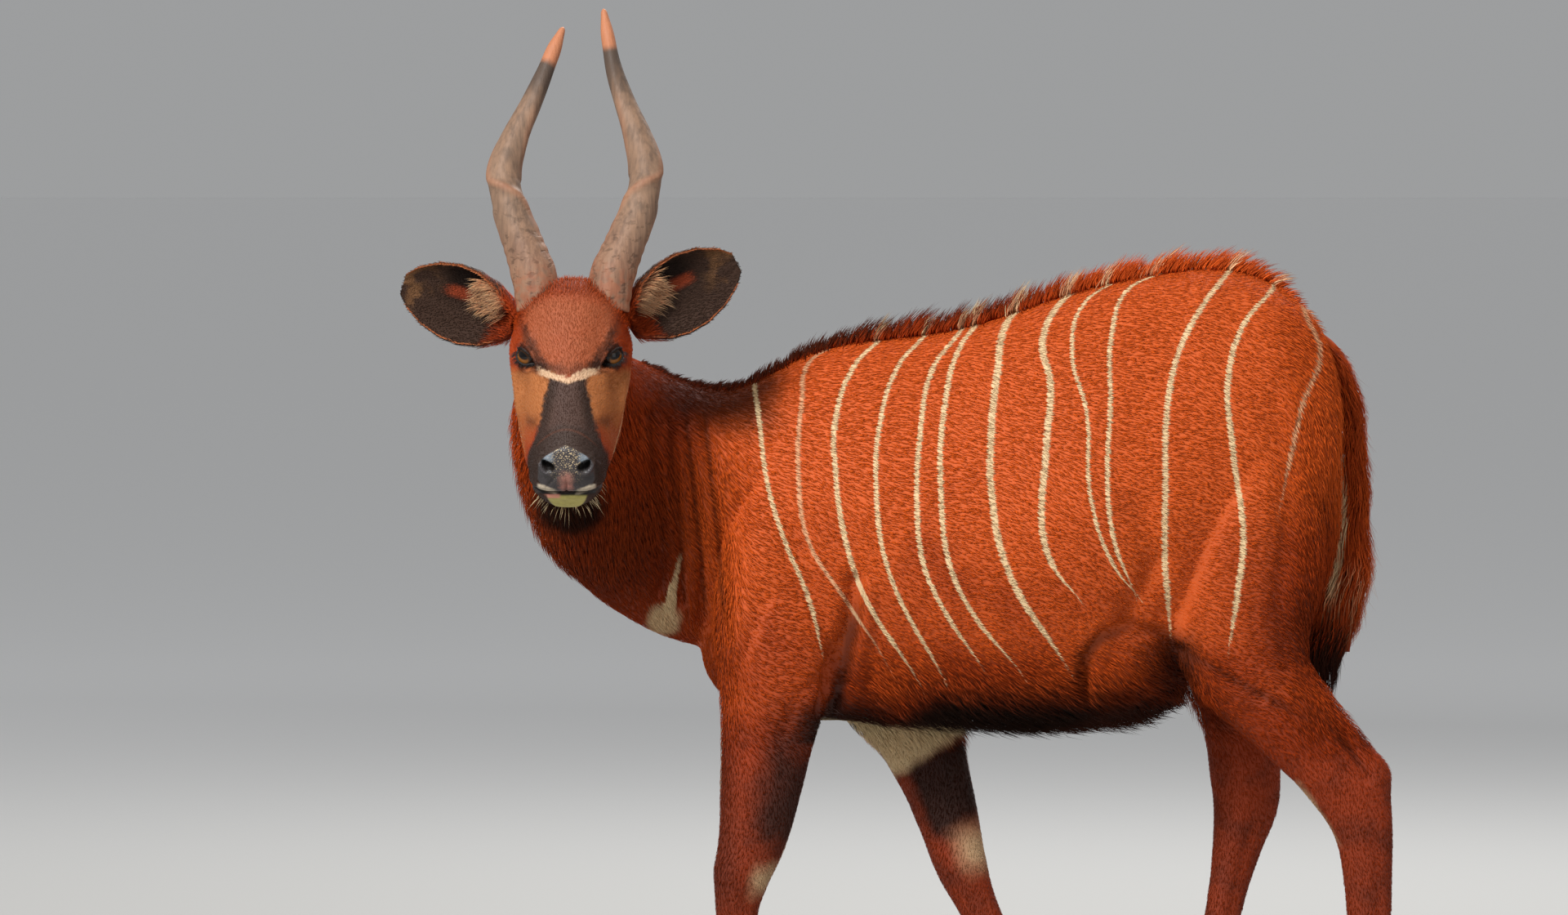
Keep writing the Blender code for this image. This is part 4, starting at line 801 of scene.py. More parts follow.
# Creases and swells of the body seen from its left side: x and z of each corner, how far they go in or
# out, how broad they are, and on how many sides. Those that follow a leg are on the left side alone.
FOLDS = [
    ([(-0.375, 0.985), (-0.366, 0.900), (-0.352, 0.800), (-0.350, 0.715)], -0.0100, 0.009, 2),
    ([(-0.345, 0.975), (-0.334, 0.890), (-0.326, 0.780), (-0.322, 0.690)], -0.0095, 0.008, 2),
    ([(-0.318, 0.960), (-0.305, 0.870), (-0.294, 0.770), (-0.290, 0.660)], -0.0080, 0.009, 2),
    ([(-0.290, 0.955), (-0.276, 0.870), (-0.262, 0.760), (-0.252, 0.650)], -0.0060, 0.010, 2),
    ([(-0.345, 0.720), (-0.300, 0.665), (-0.262, 0.600)], -0.0050, 0.014, 2),
    ([(-0.262, 0.610), (-0.230, 0.700), (-0.205, 0.800), (-0.195, 0.900)], 0.0060, 0.030, 2),
    ([(-0.108, 0.540), (-0.090, 0.620), (-0.072, 0.690), (-0.070, 0.730)], -0.0150, 0.013, 1),
    ([(-0.070, 0.600), (-0.048, 0.670), (-0.045, 0.720)], 0.0050, 0.014, 1),
    ([(0.413, 0.632), (0.470, 0.605), (0.532, 0.560)], -0.0050, 0.010, 1),
    ([(0.655, 0.520), (0.672, 0.480), (0.688, 0.440)], -0.0050, 0.008, 1),
    ([(0.268, 0.575), (0.272, 0.615), (0.300, 0.650), (0.345, 0.662), (0.385, 0.650), (0.410, 0.622)],
     -0.0110, 0.010, 2),
    ([(0.325, 0.600), (0.365, 0.605)], 0.0080, 0.030, 2),
    ([(-0.250, 0.560), (-0.225, 0.640), (-0.200, 0.700)], -0.0035, 0.012, 1),
    ([(-0.105, 0.600), (-0.150, 0.560), (-0.175, 0.500)], -0.0030, 0.012, 1),
    ([(-0.150, 0.760), (-0.125, 0.850), (-0.120, 0.960)], -0.0028, 0.026, 2),
    ([(0.300, 0.610), (0.345, 0.690), (0.385, 0.760)], -0.0080, 0.022, 1),
    ([(0.400, 0.690), (0.372, 0.760), (0.362, 0.840)], -0.0055, 0.024, 2),
    ([(0.355, 0.960), (0.392, 1.040), (0.420, 1.110)], -0.0040, 0.034, 2),
    ([(0.450, 1.120), (0.462, 1.135)], 0.0045, 0.034, 2),
    ([(0.555, 1.000), (0.575, 0.900), (0.570, 0.790), (0.560, 0.690), (0.572, 0.610)], -0.0042, 0.016, 1),
    ([(0.400, 0.640), (0.450, 0.610), (0.500, 0.560)], 0.0035, 0.022, 1),
    ([(0.020, 0.700), (0.060, 0.620), (0.110, 0.575)], 0.0020, 0.030, 2),
    ([(0.030, 1.000), (0.020, 0.850), (0.050, 0.700)], -0.0010, 0.014, 2),
    ([(0.085, 1.000), (0.080, 0.850), (0.110, 0.700)], -0.0010, 0.014, 2),
    ([(0.140, 1.000), (0.140, 0.850), (0.170, 0.700)], -0.0010, 0.014, 2),
]


def line_distance(x, z, corners):
    """How far each x, z lies from a bent line."""
    nearest = np.full(len(x), 9.0)
    for (x0, z0), (x1, z1) in zip(corners[:-1], corners[1:]):
        span = np.array((x1 - x0, z1 - z0))
        share = np.clip(((x - x0) * span[0] + (z - z0) * span[1]) / (span @ span), 0.0, 1.0)
        nearest = np.minimum(nearest, np.hypot(x - x0 - share * span[0], z - z0 - share * span[1]))
    return nearest


def leg_axis(leg, z):
    """Middle of a leg in x and y at heights z, and its reaches to the front and the back there."""
    rows = np.array(LEGS[leg])[::-1]
    return [np.interp(z, rows[:, 2], rows[:, i]) for i in (0, 1, 4, 5)]


def folded_body(points, normals):
    """Presses the creases in and draws the swells out, with the tendons of the lower legs."""
    x, y, z = points.T
    sideways = step_up(np.abs(normals[:, 1]), 0.10, 0.50)
    rise = 0.009 * region_shares(points)["neck"] * step_up(-y, 0.03, 0.12) * bump(z - 0.87, 0.12)
    for corners, height, breadth, sides in FOLDS:
        there = bump(line_distance(x, z, corners), breadth) * sideways
        rise += height * there * ((y < 0) | (sides == 2))
    for leg in LEGS:
        middle, middle_y, front, back = leg_axis(leg, z)
        near = (np.abs(y - middle_y) < 0.07) & (np.abs(x - middle) < 0.10) & (z < 0.46)
        knee, top = KNEES[leg[:4]]
        shank = step_up(z, 0.10, 0.14) * (1 - step_up(z, top - 0.06, top))
        groove = (x - middle) / back
        rise -= 0.0030 * bump(groove - 0.36, 0.22) * shank * near
        rise += 0.0022 * bump(np.hypot(z - knee, (x - middle + front * 0.6) * 0.8), 0.024) * near
    return points + rise[:, None] * normals


def whole_body():
    """Every form of flesh fused into one mesh, smoothed, refined on the head and then carved."""
    forms = [head_form(), loft(NECK, (0, 0, 1), count=60, around=90, pinch=(0.25, 0.10))]
    trunk_rows = [(x, 0.0, wide, half, top - wide, wide - low) for x, top, wide, low, half in TORSO]
    forms.append(loft(
        trunk_rows, (0, 0, 1), count=90, around=110, bulk=0.95, pinch=(0.30, 0.05), level=(1.0, 0.0, 0.0)))
    for leg, rows in LEGS.items():
        bulk, pinch = (0.92, (0.0, 0.0)) if leg.startswith("fore") else (0.95, (0.12, 0.25))
        forms.append(loft(rows, (-1, 0, 0), count=110, around=44, bulk=bulk, pinch=pinch))
    forms += [ellipsoid(*mass) for mass in MASSES]
    for foot, x in FETLOCKS.items():
        for side in (1, -1):
            place = (x + DEWCLAW_BEHIND, FEET[foot][1] + side * DEWCLAW_ASIDE, DEWCLAW_ABOVE)
            forms.append(ellipsoid(place, DEWCLAW_RADII, turn=-24, around=16))
    body = mesh_object("bongo_skin", *gathered(forms))
    remesh = body.modifiers.new("Fuse", "REMESH")
    remesh.mode = "VOXEL"
    remesh.voxel_size = bpy.context.scene.bongo_skin.voxel
    graph = bpy.context.evaluated_depsgraph_get()
    mesh = bpy.data.meshes.new_from_object(body.evaluated_get(graph))
    body.modifiers.clear()
    body.data = mesh
    points = read(mesh.vertices, "co")
    along, _, _ = head_coordinates(points)
    trunk = step_up(points[:, 2], 0.42, 0.60) * (1 - step_up(along, -0.13, -0.03))
    relaxed(mesh, 0.25 + 0.75 * trunk, passes=7)
    relaxed(mesh, trunk, passes=108)
    refined(mesh, lambda p: head_zone(p) | (p[:, 2] < FOOT_TOP))
    refined(mesh, fine_zone)
    put_points(mesh, carved_head(read(mesh.vertices, "co"), read(mesh.vertices, "normal")))
    put_points(mesh, folded_body(read(mesh.vertices, "co"), read(mesh.vertices, "normal")))
    return body


def head_zone(points):
    """The head and the throat behind it, true or false for each point."""
    place = np.array(head_coordinates(points))
    near = np.linalg.norm(place - np.array(HEAD_MIDDLE)[:, None], axis=0) < HEAD_REACH
    return (place[0] > HEAD_START) & near


def fine_zone(points):
    """Where the head needs its finest grain: round the eyes, and the nose and lips."""
    along, _, above = head_coordinates(points)
    chosen = head_zone(points) & ((along > 0.150) | ((along > 0.128) & (above < 0.0)))
    for side in (1, -1):
        chosen |= np.linalg.norm(points - eye_front(side), axis=1) < 0.040
    return chosen


def bare_skin(points):
    """Where the head has no coat: nose pad, lips and nostrils, from 0 to 1."""
    along, aside, above = head_coordinates(points)
    away, fall = np.abs(aside), HEAD_ORIGIN[2] - points[:, 2]
    half = np.interp(fall, column(NOSE_PAD, 0), column(NOSE_PAD, 1), 0.0, 0.0)
    pad = step_up(half - away, -0.001, 0.002) * (along > 0.15)
    lips = bump(above - mouth_height(along), 0.0052) * step_up(along, 0.150, 0.165)
    upper = (along > 0.16) * step_up(0.198 - fall, 0.0, 0.002) * step_up(fall, 0.181, 0.184)
    upper = upper * step_up(0.045 - away, 0.0, 0.004)
    chin = step_up(1 - np.hypot(away / 0.031, (fall - 0.196) / 0.027), 0.0, 0.10)
    chin = chin * (fall > 0.192) * (along > 0.19)
    return np.clip(np.maximum.reduce([pad, lips, upper, chin]), 0.0, 1.0)


def region_shares(points):
    """How much each point belongs to each part of the body, by the name of the part."""
    x, y, z = points.T
    along, aside, above = head_coordinates(points)
    head = step_up((points - np.array(HEAD_CUT[0])) @ unit(np.array(HEAD_CUT[1])), -0.010, 0.020)
    neck = step_up((points - np.array(NECK_CUT[0])) @ unit(np.array(NECK_CUT[1])), -0.06, 0.03) * (1 - head)
    leg = (1 - step_up(z, 0.43, 0.53)) * (1 - head) * (1 - neck)
    crown = head * step_up(-along, 0.045, 0.075) * step_up(above, 0.020, 0.045)
    belly = (1 - step_up(z, 0.56, 0.66)) * (1 - leg) * step_up(x, -0.12, -0.02)
    chest = (1 - step_up(x, -0.26, -0.18)) * (1 - step_up(z, 0.66, 0.80))
    return {
        "head": head,
        "muzzle": step_up(along, 0.08, 0.18) * head,
        "neck": neck,
        "ruff": neck * step_up(-y, 0.07, 0.15) * (1 - step_up(z, 0.98, 1.04)),
        "beard": head * step_up(-above, 0.056, 0.076) * step_up(along, 0.06, 0.12),
        "crown": crown * step_up(0.05 - np.abs(aside), 0.0, 0.02),
        "leg": leg,
        "rump": step_up(x, 0.52, 0.63) * (1 - leg),
        "belly": belly * (1 - step_up(x, 0.42, 0.50)),
        "chest": chest * (1 - head) * (1 - leg),
    }


def coat_lie(points, normals):
    """Which way the coat lies at each point, along the skin."""
    share = region_shares(points)
    _, aside, _ = head_coordinates(points)
    way = np.tile((1.0, 0.0, -0.42), (len(points), 1))
    way = blend(way, np.array((0.30, 0.0, -1.0)), share["rump"])
    way = blend(way, np.array((0.62, 0.20, -0.75)), share["neck"])
    way = blend(way, np.array((0.35, 0.0, -1.0)), share["chest"])
    way = blend(way, np.array((0.10, 0.0, -1.0)), share["leg"])
    cheek = step_up(np.abs(aside), 0.03, 0.07)[:, None] * UPWARD * -0.45
    outward = np.clip(aside * 8, -0.2, 0.2)[:, None] * LEFTWARD
    way = blend(way, cheek + outward - FORWARD, share["head"])
    way = blend(way, np.array((0.0, -0.25, -1.0)), share["beard"])
    way = blend(way, np.array((0.25, 0.0, -1.0)), share["ruff"] * 0.8)
    way = blend(way, np.array((0.55, 0.0, -0.8)), share["belly"] * 0.7)
    way -= np.sum(way * normals, axis=1)[:, None] * normals
    x, y, z = points.T
    swirl = 0.12 * np.sin(17 * x + 9 * z + 3 * y)
    swirl += 0.08 * np.sin(31 * z - 23 * x + 1.3) + 0.06 * np.sin(57 * x + 41 * z)
    return turned(unit(way), normals, swirl)


def turned(ways, about, angles):
    """Each way turned by its angle about a line square to it."""
    angles = np.asarray(angles)[:, None]
    return ways * np.cos(angles) + np.cross(about, ways) * np.sin(angles)


def scattered(mesh, points, normals, density, draw):
    """Roots spread evenly over a mesh, by a density for each of its points: their places and normals."""
    mesh.calc_loop_triangles()
    corners = read(mesh.loop_triangles, "vertices", 3, np.int32)
    a, b, c = (points[corners[:, i]] for i in range(3))
    area = np.linalg.norm(np.cross(b - a, c - a), axis=1) / 2
    share = np.cumsum(area * density[corners].mean(axis=1))
    count = int(share[-1])
    chosen = np.searchsorted(share, (np.arange(count) + draw.random(count)) * share[-1] / count)
    chosen = np.minimum(chosen, len(corners) - 1)
    root, other = np.sqrt(draw.random(count)), draw.random(count)
    weights = np.stack([1 - root, root * (1 - other), root * other], axis=1)[:, :, None]
    places = (points[corners[chosen]] * weights).sum(axis=1)
    return places, unit((normals[corners[chosen]] * weights).sum(axis=1))


def hair_paths(roots, ways, sizes, end=0.0):
    """Paths of three points: a little below each root, halfway, and the tip moved by end."""
    middle, tip = roots + ways * sizes * 0.5, roots + ways * sizes + end
    return np.stack([roots - ways * ROOT_DEPTH, middle, tip], axis=1)


def hair_piece(
        name, material, paths, broad, widths, thick, places, spread, draw,
        narrow=0.45, follow=0.0, marks=None):
    """One mesh of closed slivers, each along its own path of points, pointed at both ends.

    broad is the way a sliver's broad face looks, thick its depth as a share of its width, and narrow its
    width near the tip as a share of that near the root. places are where the roots lie on the animal, and
    spread is where each lies on the unwrap. follow says how far the markings change along a sliver, and
    marks are further values of each root for its material.
    """
    count, length = paths.shape[:2]
    along = unit(paths[:, 2:] - paths[:, :-2])
    across = unit(np.cross(along, np.broadcast_to(broad, (count, 3))[:, None]))
    over = np.cross(across, along)
    taper = np.linspace(1.0, narrow, length - 2)[None, :, None] if length > 3 else np.ones((1, 1, 1))
    wide = np.broadcast_to(widths, count)[:, None, None] * taper / 2
    deep = thick * 2 * wide
    middle = paths[:, 1:-1]
    rings = np.stack([middle + across * wide, middle + over * deep, middle - across * wide], axis=2)
    points = np.concatenate([paths[:, :1], rings.reshape(count, -1, 3), paths[:, -1:]], axis=1)
    size, tip, last = points.shape[1], points.shape[1] - 1, 3 * length - 8
    faces = []
    for i in range(3):
        k = (i + 1) % 3
        faces += [(0, 1 + i, 1 + k), (tip, last + k, last + i)]
        for ring in range(length - 3):
            low = 1 + 3 * ring
            faces += [(low + i, low + 3 + i, low + 3 + k), (low + i, low + 3 + k, low + k)]
    faces = np.array(faces, np.int32)
    corners = (faces[None] + size * np.arange(count, dtype=np.int32)[:, None, None]).reshape(-1)
    points = points.reshape(-1, 3) + (0.0, MIDLINE_Y, 0.0)
    own = points - (0.0, MIDLINE_Y, 0.0)
    marked = blend(np.repeat(places, size, axis=0), own, np.full(len(points), follow))
    points = np.clip(points, CAD_LOW + (BOX_MARGIN, BOX_MARGIN, 0.0), CAD_HIGH - BOX_MARGIN)
    mesh = bpy.data.meshes.new(name)
    mesh.vertices.add(len(points))
    mesh.vertices.foreach_set("co", points.ravel())
    mesh.loops.add(len(corners))
    mesh.loops.foreach_set("vertex_index", corners)
    mesh.polygons.add(len(corners) // 3)
    mesh.polygons.foreach_set("loop_start", np.arange(0, len(corners), 3, dtype=np.int32))
    mesh.update(calc_edges=True)
    mesh.shade_smooth()
    share = np.concatenate([[0.0], np.repeat(np.arange(1, length - 1) / (length - 1), 3), [1.0]])
    beside = np.concatenate([[0.5], np.tile([0.0, 0.5, 1.0], length - 2), [0.5]])
    patch = np.stack([beside, share], axis=1) * PATCH
    layer = mesh.uv_layers.new(name="OFBake")
    uv = (spread[:, None] + patch[None]).reshape(-1, 2)[corners]
    layer.data.foreach_set("uv", uv.astype(np.float32).ravel())
    set_attribute(mesh, "place", marked)
    set_attribute(mesh, "strand", np.repeat(draw.random(count), size))
    set_attribute(mesh, "tip", np.tile(share, count))
    for mark, values in (marks or {}).items():
        set_attribute(mesh, mark, np.repeat(values, size))
    made = bpy.data.objects.new(name, mesh)
    bpy.context.scene.collection.objects.link(made)
    return settled(made, material, shift=False)


def laid_out(u, v):
    """Two coordinates along the skin as places on the unwrap, from 0 to 1 less a patch."""
    flat = np.stack([u, v], axis=1)
    low = flat.min(axis=0)
    return (flat - low) / np.maximum(np.ptp(flat, axis=0), 1e-6) * (1 - PATCH)


def settled(obj, material, nodes=(), shift=True):
    """Gives a finished piece its place, material and body, and hides the nodes that it stands for."""
    if shift:
        obj.data.transform(Matrix.Translation((0.0, MIDLINE_Y, 0.0)))
        obj.data.shade_smooth()
    obj.data.materials.clear()
    obj.data.materials.append(material)
    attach(obj, "root")
    if nodes:
        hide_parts(*nodes)
    return obj


class Value:
    """A number on a shader socket. Arithmetic on it adds Math nodes."""

    def __init__(self, paint, socket):
        self.paint = paint
        self.socket = socket

    def __add__(self, other):
        return self.paint.maths("ADD", self, other)

    def __sub__(self, other):
        return self.paint.maths("SUBTRACT", self, other)

    def __rsub__(self, other):
        return self.paint.maths("SUBTRACT", other, self)

    def __mul__(self, other):
        return self.paint.maths("MULTIPLY", self, other)

    def __truediv__(self, other):
        return self.paint.maths("DIVIDE", self, other)

    def __pow__(self, other):
        return self.paint.maths("POWER", self, other)

    def __abs__(self):
        return self.paint.maths("ABSOLUTE", self)

    __radd__ = __add__
    __rmul__ = __mul__

    def least(self, other):
        return self.paint.maths("MINIMUM", self, other)

    def most(self, other):
        return self.paint.maths("MAXIMUM", self, other)

    def step(self, low, high):
        """0 below low, 1 above high, and smooth between. low above high turns it round."""
        if low > high:
            return 1 - self.step(high, low)
        settings = {"interpolation_type": "SMOOTHSTEP"}
        sockets = {"Value": self, "From Min": low, "From Max": high, "To Min": 0.0, "To Max": 1.0}
        return Value(self.paint, self.paint.node("ShaderNodeMapRange", settings, sockets).outputs["Result"])

    def band(self, low, high, soft):
        """1 between low and high, and 0 outside them."""
        return self.step(low - soft, low + soft) * self.step(high + soft, high - soft)


def oval(u, v, centre, radii):
    """How far a place lies from the middle of an oval, as a share of its size: 1 on its edge."""
    return (((u - centre[0]) / radii[0]) ** 2.0 + ((v - centre[1]) / radii[1]) ** 2.0) ** 0.5


class Paint:
    """One material. Every node in it is added by the method node."""

    def __init__(self, name, roughness, specular, sheen=0.0):
        self.material = bpy.data.materials.new(name)
        self.material.use_nodes = True
        self.nodes = self.material.node_tree.nodes
        self.links = self.material.node_tree.links
        self.shader = self.nodes["Principled BSDF"]
        self.set("Roughness", roughness)
        self.set("Specular IOR Level", specular)
        self.set("Sheen Weight", sheen)
        self.set("Sheen Roughness", 0.45)

    def fill(self, socket, value):
        """Gives a socket a link or a value."""
        if isinstance(value, Value):
            value = value.socket
        if isinstance(value, bpy.types.NodeSocket):
            self.links.new(value, socket)
        elif hasattr(value, "__len__") and len(value) == 3 and socket.type == "RGBA":
            socket.default_value = (*value, 1.0)
        else:
            socket.default_value = value

    def node(self, kind, settings=None, sockets=None):
        """A node of that type, with its settings, then the values or links of its sockets."""
        made = self.nodes.new(kind)
        for key, value in (settings or {}).items():
            setattr(made, key, value)
        for key, value in (sockets or {}).items():
            self.fill(made.inputs[key], value)
        return made

    def set(self, name, value):
        self.fill(self.shader.inputs[name], value)

    def maths(self, operation, *values):
        made = self.node("ShaderNodeMath", {"operation": operation}, dict(enumerate(values)))
        return Value(self, made.outputs[0])

    def vectors(self, operation, first, second, output=0):
        sockets = {0: first, 1: tuple(second)}
        return self.node("ShaderNodeVectorMath", {"operation": operation}, sockets).outputs[output]

    def place(self):
        """Where each point lies on the animal, as the mesh carries it."""
        return self.node("ShaderNodeAttribute", {"attribute_name": "place"}).outputs["Vector"]

    def marks(self, *names):
        """The numbers of those names that the mesh carries."""
        nodes = [self.node("ShaderNodeAttribute", {"attribute_name": name}) for name in names]
        return [Value(self, made.outputs["Fac"]) for made in nodes]

    def split(self, vector):
        made = self.node("ShaderNodeSeparateXYZ", None, {"Vector": vector})
        return [Value(self, made.outputs[axis]) for axis in "XYZ"]

    def joined(self, x, y, z):
        return self.node("ShaderNodeCombineXYZ", None, {"X": x, "Y": y, "Z": z}).outputs[0]

    def dot(self, vector, origin, way):
        """How far a place lies from origin along way."""
        offset = self.vectors("SUBTRACT", vector, origin)
        return Value(self, self.vectors("DOT_PRODUCT", offset, way, "Value"))

    def beyond(self, vector, cut):
        """How far a place lies beyond a plane, which is a point and a way."""
        return self.dot(vector, cut[0], unit(np.array(cut[1])))

    def near(self, vector, centre):
        """How far a place lies from a centre."""
        return Value(self, self.vectors("DISTANCE", vector, centre, "Value"))

    def blend(self, first, second, share, how="MIX"):
        """One colour over another, by share."""
        sockets = {0: share, 6: first, 7: second}
        return self.node("ShaderNodeMix", {"data_type": "RGBA", "blend_type": how}, sockets).outputs[2]

    def shade(self, colour, value):
        """A colour made darker or lighter by value."""
        return self.blend(colour, self.joined(value, value, value), 1.0, "MULTIPLY")

    def noise(self, vector, scale, detail=2.0, stretch=None):
        """Noise from 0 to 1 about a half. stretch scales the place first, along each axis."""
        if stretch:
            vector = self.vectors("MULTIPLY", vector, stretch)
        sockets = {"Vector": vector, "Scale": scale, "Detail": detail}
        return Value(self, self.node("ShaderNodeTexNoise", None, sockets).outputs["Fac"])

    def curve(self, value, places):
        """value from 0 to 1 through a smooth curve."""
        made = self.node("ShaderNodeFloatCurve", None, {"Value": value})
        points = made.mapping.curves[0].points
        while len(points) < len(places):
            points.new(0.5, 0.5)
        for point, place in zip(points, places):
            point.location = place
        made.mapping.update()
        return Value(self, made.outputs["Value"])

    def relief(self, height, strength, depth):
        """Bumps the surface by height."""
        sockets = {"Strength": strength, "Distance": depth, "Height": height}
        self.set("Normal", self.node("ShaderNodeBump", None, sockets).outputs["Normal"])


def stripe_mask(paint, x, y, z, ragged):
    """The thin white stripes of both flanks. Those of the right side stand a little apart from the left's."""
    tall, long = STRIPE_HIGH - STRIPE_LOW, STRIPE_BACK - STRIPE_FRONT
    height = (z - STRIPE_LOW) / tall
    right = y.step(-0.03, 0.03)
    strong, faint = [], []
    for number, (points, breadth) in enumerate(zip(STRIPES, STRIPE_BREADTHS)):
        shift = 0.012 * math.sin(2.1 * number + 0.6)
        ordered = sorted(((pz - STRIPE_LOW) / tall, (px - STRIPE_FRONT) / long) for px, pz in points)
        top = ordered[-1]
        slope = (top[1] - ordered[-2][1]) / (top[0] - ordered[-2][0])
        ordered.append((1.0, min(max(top[1] + slope * (1.0 - top[0]) * 0.5, 0.0), 1.0)))
        low, next_low = ordered[0], ordered[1]
        slope = (next_low[1] - low[1]) / (next_low[0] - low[0])
        ordered.insert(0, (0.0, min(max(low[1] - slope * low[0] * 0.8, 0.0), 1.0)))
        place = paint.curve(height, ordered) * long + STRIPE_FRONT
        away = abs(x - place - right * shift)
        below = (points[-1][1] + 0.060 - z).most(0.0) * 0.075
        above = (z - points[0][1] - 0.05).most(0.0) * 0.20
        group = faint if breadth < FAINT_BREADTH else strong
        group.append(away / (breadth * 0.86) + below + above)
    nearest, faintest = (reduce(Value.least, group) for group in (strong, faint))
    wobble = (ragged - 0.5) * 0.0042
    return (nearest + wobble).step(0.0062, 0.0032).most((faintest + wobble).step(0.0095, 0.0030) * 0.55)


def crease_shade_mask(paint, place, x, y, z, edge):
    """Painted shade in the grooves of the neck, in hollows and low on the legs, and in the folds behind the
    elbow, at the stifle and above the hock.
    """
    hollow = paint.near(place, (-0.440, -0.110, 0.800)).step(0.20, 0.06) * 0.50
    hollow = hollow.most(z.step(0.50, 0.26) * 0.26)
    hollow = hollow.most(paint.near(place, (0.600, -0.120, 0.660)).step(0.11, 0.03) * 0.35)
    line = x + (z - 0.83) * 0.105
    grooves = paint.maths("COSINE", (line + 0.360 + edge * 0.15) * GROOVE_PACE).step(0.35, 0.95)
    grooves = grooves * line.band(-0.374, -0.258, 0.006) * z.band(0.69, 0.97, 0.03) * y.step(0.0, -0.04)
    elbow = (x + 0.065 + (0.665 - z) * 0.22 + edge * 0.3).band(-0.014, 0.006, 0.008)
    elbow = elbow * z.band(0.52, 0.69, 0.03)
    stifle = (z - 0.633 + (x - 0.414) * 0.55 + edge * 0.2).band(-0.009, 0.004, 0.007)
    stifle = stifle * x.band(0.42, 0.58, 0.03)
    behind, over = x - 0.641, z - 0.512
    tendon = abs(behind * 0.793 + over * 0.610 + edge * 0.2).step(0.009, 0.002)
    tendon = tendon * (behind * 0.610 - over * 0.793).band(0.000, 0.078, 0.020)
    creases = (elbow * 0.75).most(stifle * 0.50).most(tendon * 0.45) * y.step(0.0, -0.05)
    return creases.most(grooves * 0.45).most(hollow)


def under_hair_and_shade_mask(x, z, edge):
    """Black-brown under belly and chest, round the sheath and at the tuck of the flank: dark hair and painted
    shade.
    """
    belly = (z + edge).step(0.598, 0.535) * x.step(-0.02, 0.06) * x.step(0.46, 0.40)
    brisket = (z + edge).step(0.575, 0.520) * x.step(0.02, -0.04) * x.step(-0.20, -0.12)
    # Dark ring round the sheath: dark hair with painted shade in the groove round it.
    sheath = (oval(x, z, *SHEATH_OVAL) + edge * 4.0).band(0.90, 1.08, 0.20)
    sheath = sheath * x.band(0.24, 0.44, 0.02) * z.step(0.70, 0.65) * (x.step(0.36, 0.27) * 0.5 + 0.35)
    tuck = (x + edge * 1.5).step(0.325, 0.410) * x.step(0.455, 0.420) * (z + edge).step(0.680, 0.625)
    return belly.most(brisket).most(sheath).most(tuck * 0.8) * z.step(0.482, 0.496)


def marked_coat(paint, place):
    """The colour of the coat at a place on the animal, with all its markings."""
    c = bpy.context.scene.bongo_colours
    x, y, z = paint.split(place)
    head = paint.beyond(place, HEAD_CUT).step(-0.012, 0.018)
    neck = paint.beyond(place, NECK_CUT)
    ragged, broken = paint.noise(place, 170.0), paint.noise(place, 45.0)
    patchy = paint.noise(place, 9.0, 3.0)
    edge = (broken - 0.5) * 0.022

    # Darker towards the bottom, with random patches: partly the coat's own darker red-brown, partly painted
    # shade low on the body.
    deep = (0.98 - z) * 1.10 + (patchy - 0.5) * 0.9
    colour = paint.blend(c.hide, c.hide_deep, deep.step(0.10, 0.62) * 0.85)
    # Darker on the neck, its darker coat with painted shade, and painted shade low on the haunch and below
    # the flank.
    neck_tone_and_shade = neck.step(-0.02, 0.09) * (0.50 + patchy * 0.6)
    neck_tone_and_shade = neck_tone_and_shade.most(paint.near(place, (0.600, -0.100, 0.700)).step(0.21, 0.06) * 0.85)
    colour = paint.blend(colour, c.hide_deep, neck_tone_and_shade.most(z.step(0.62, 0.48)))
    # Painted shade in the creases and hollows, in the dark hide colour.
    colour = paint.blend(colour, c.hide_dark, crease_shade_mask(paint, place, x, y, z, edge))
    # Dark hair and painted shade under the body.
    colour = paint.blend(colour, c.hide_dark, under_hair_and_shade_mask(x, z, edge) * 0.94)
    # Dark patch over the shoulders at the base of the neck: dark mane hair and painted shade.
    withers_hair_and_shade = (z + edge * 1.8 + (x + 0.27) * 0.10).step(0.925, 0.990)
    withers_hair_and_shade = withers_hair_and_shade * (x + edge * 2.0).step(-0.150, -0.215) * (1 - head) * (x + edge).step(-0.42, -0.31)
    colour = paint.blend(colour, c.hide_dark, withers_hair_and_shade * 0.72)
    # Black on the neck's front under the chin: dark hair and painted shade beneath the head.
    beard = (oval(x, z, *BEARD_AND_SHADE_OVAL) + edge * 9.0).step(1.20, 0.65) * (1 - head) * y.step(-0.02, -0.08)
    colour = paint.blend(colour, c.hide_dark, beard * 0.95)
    stripes = stripe_mask(paint, x, y, z, ragged) * (1 - head) * neck.step(0.05, 0.0)
    fold = abs(paint.dot(place, (-0.336, 0.0, 0.720), (0.981, 0.0, -0.196)) + edge * 0.25)
    fold = (fold - (0.735 - z).most(0.0) * 0.14).step(0.0050, 0.0016) * z.band(0.672, 0.765, 0.012)
    spot = (oval(x, z, *SPOT_OVAL) + edge * 20.0).step(1.15, 0.60) * y.step(0.02, -0.02) * 0.85
    colour = paint.blend(colour, c.cream, stripes.most(fold * (1 - head)).most(spot) * 0.92)
    colour = leg_markings(paint, place, colour, x, y, z, edge)
    return paint.blend(colour, face_markings(paint, place, ragged, broken), head)


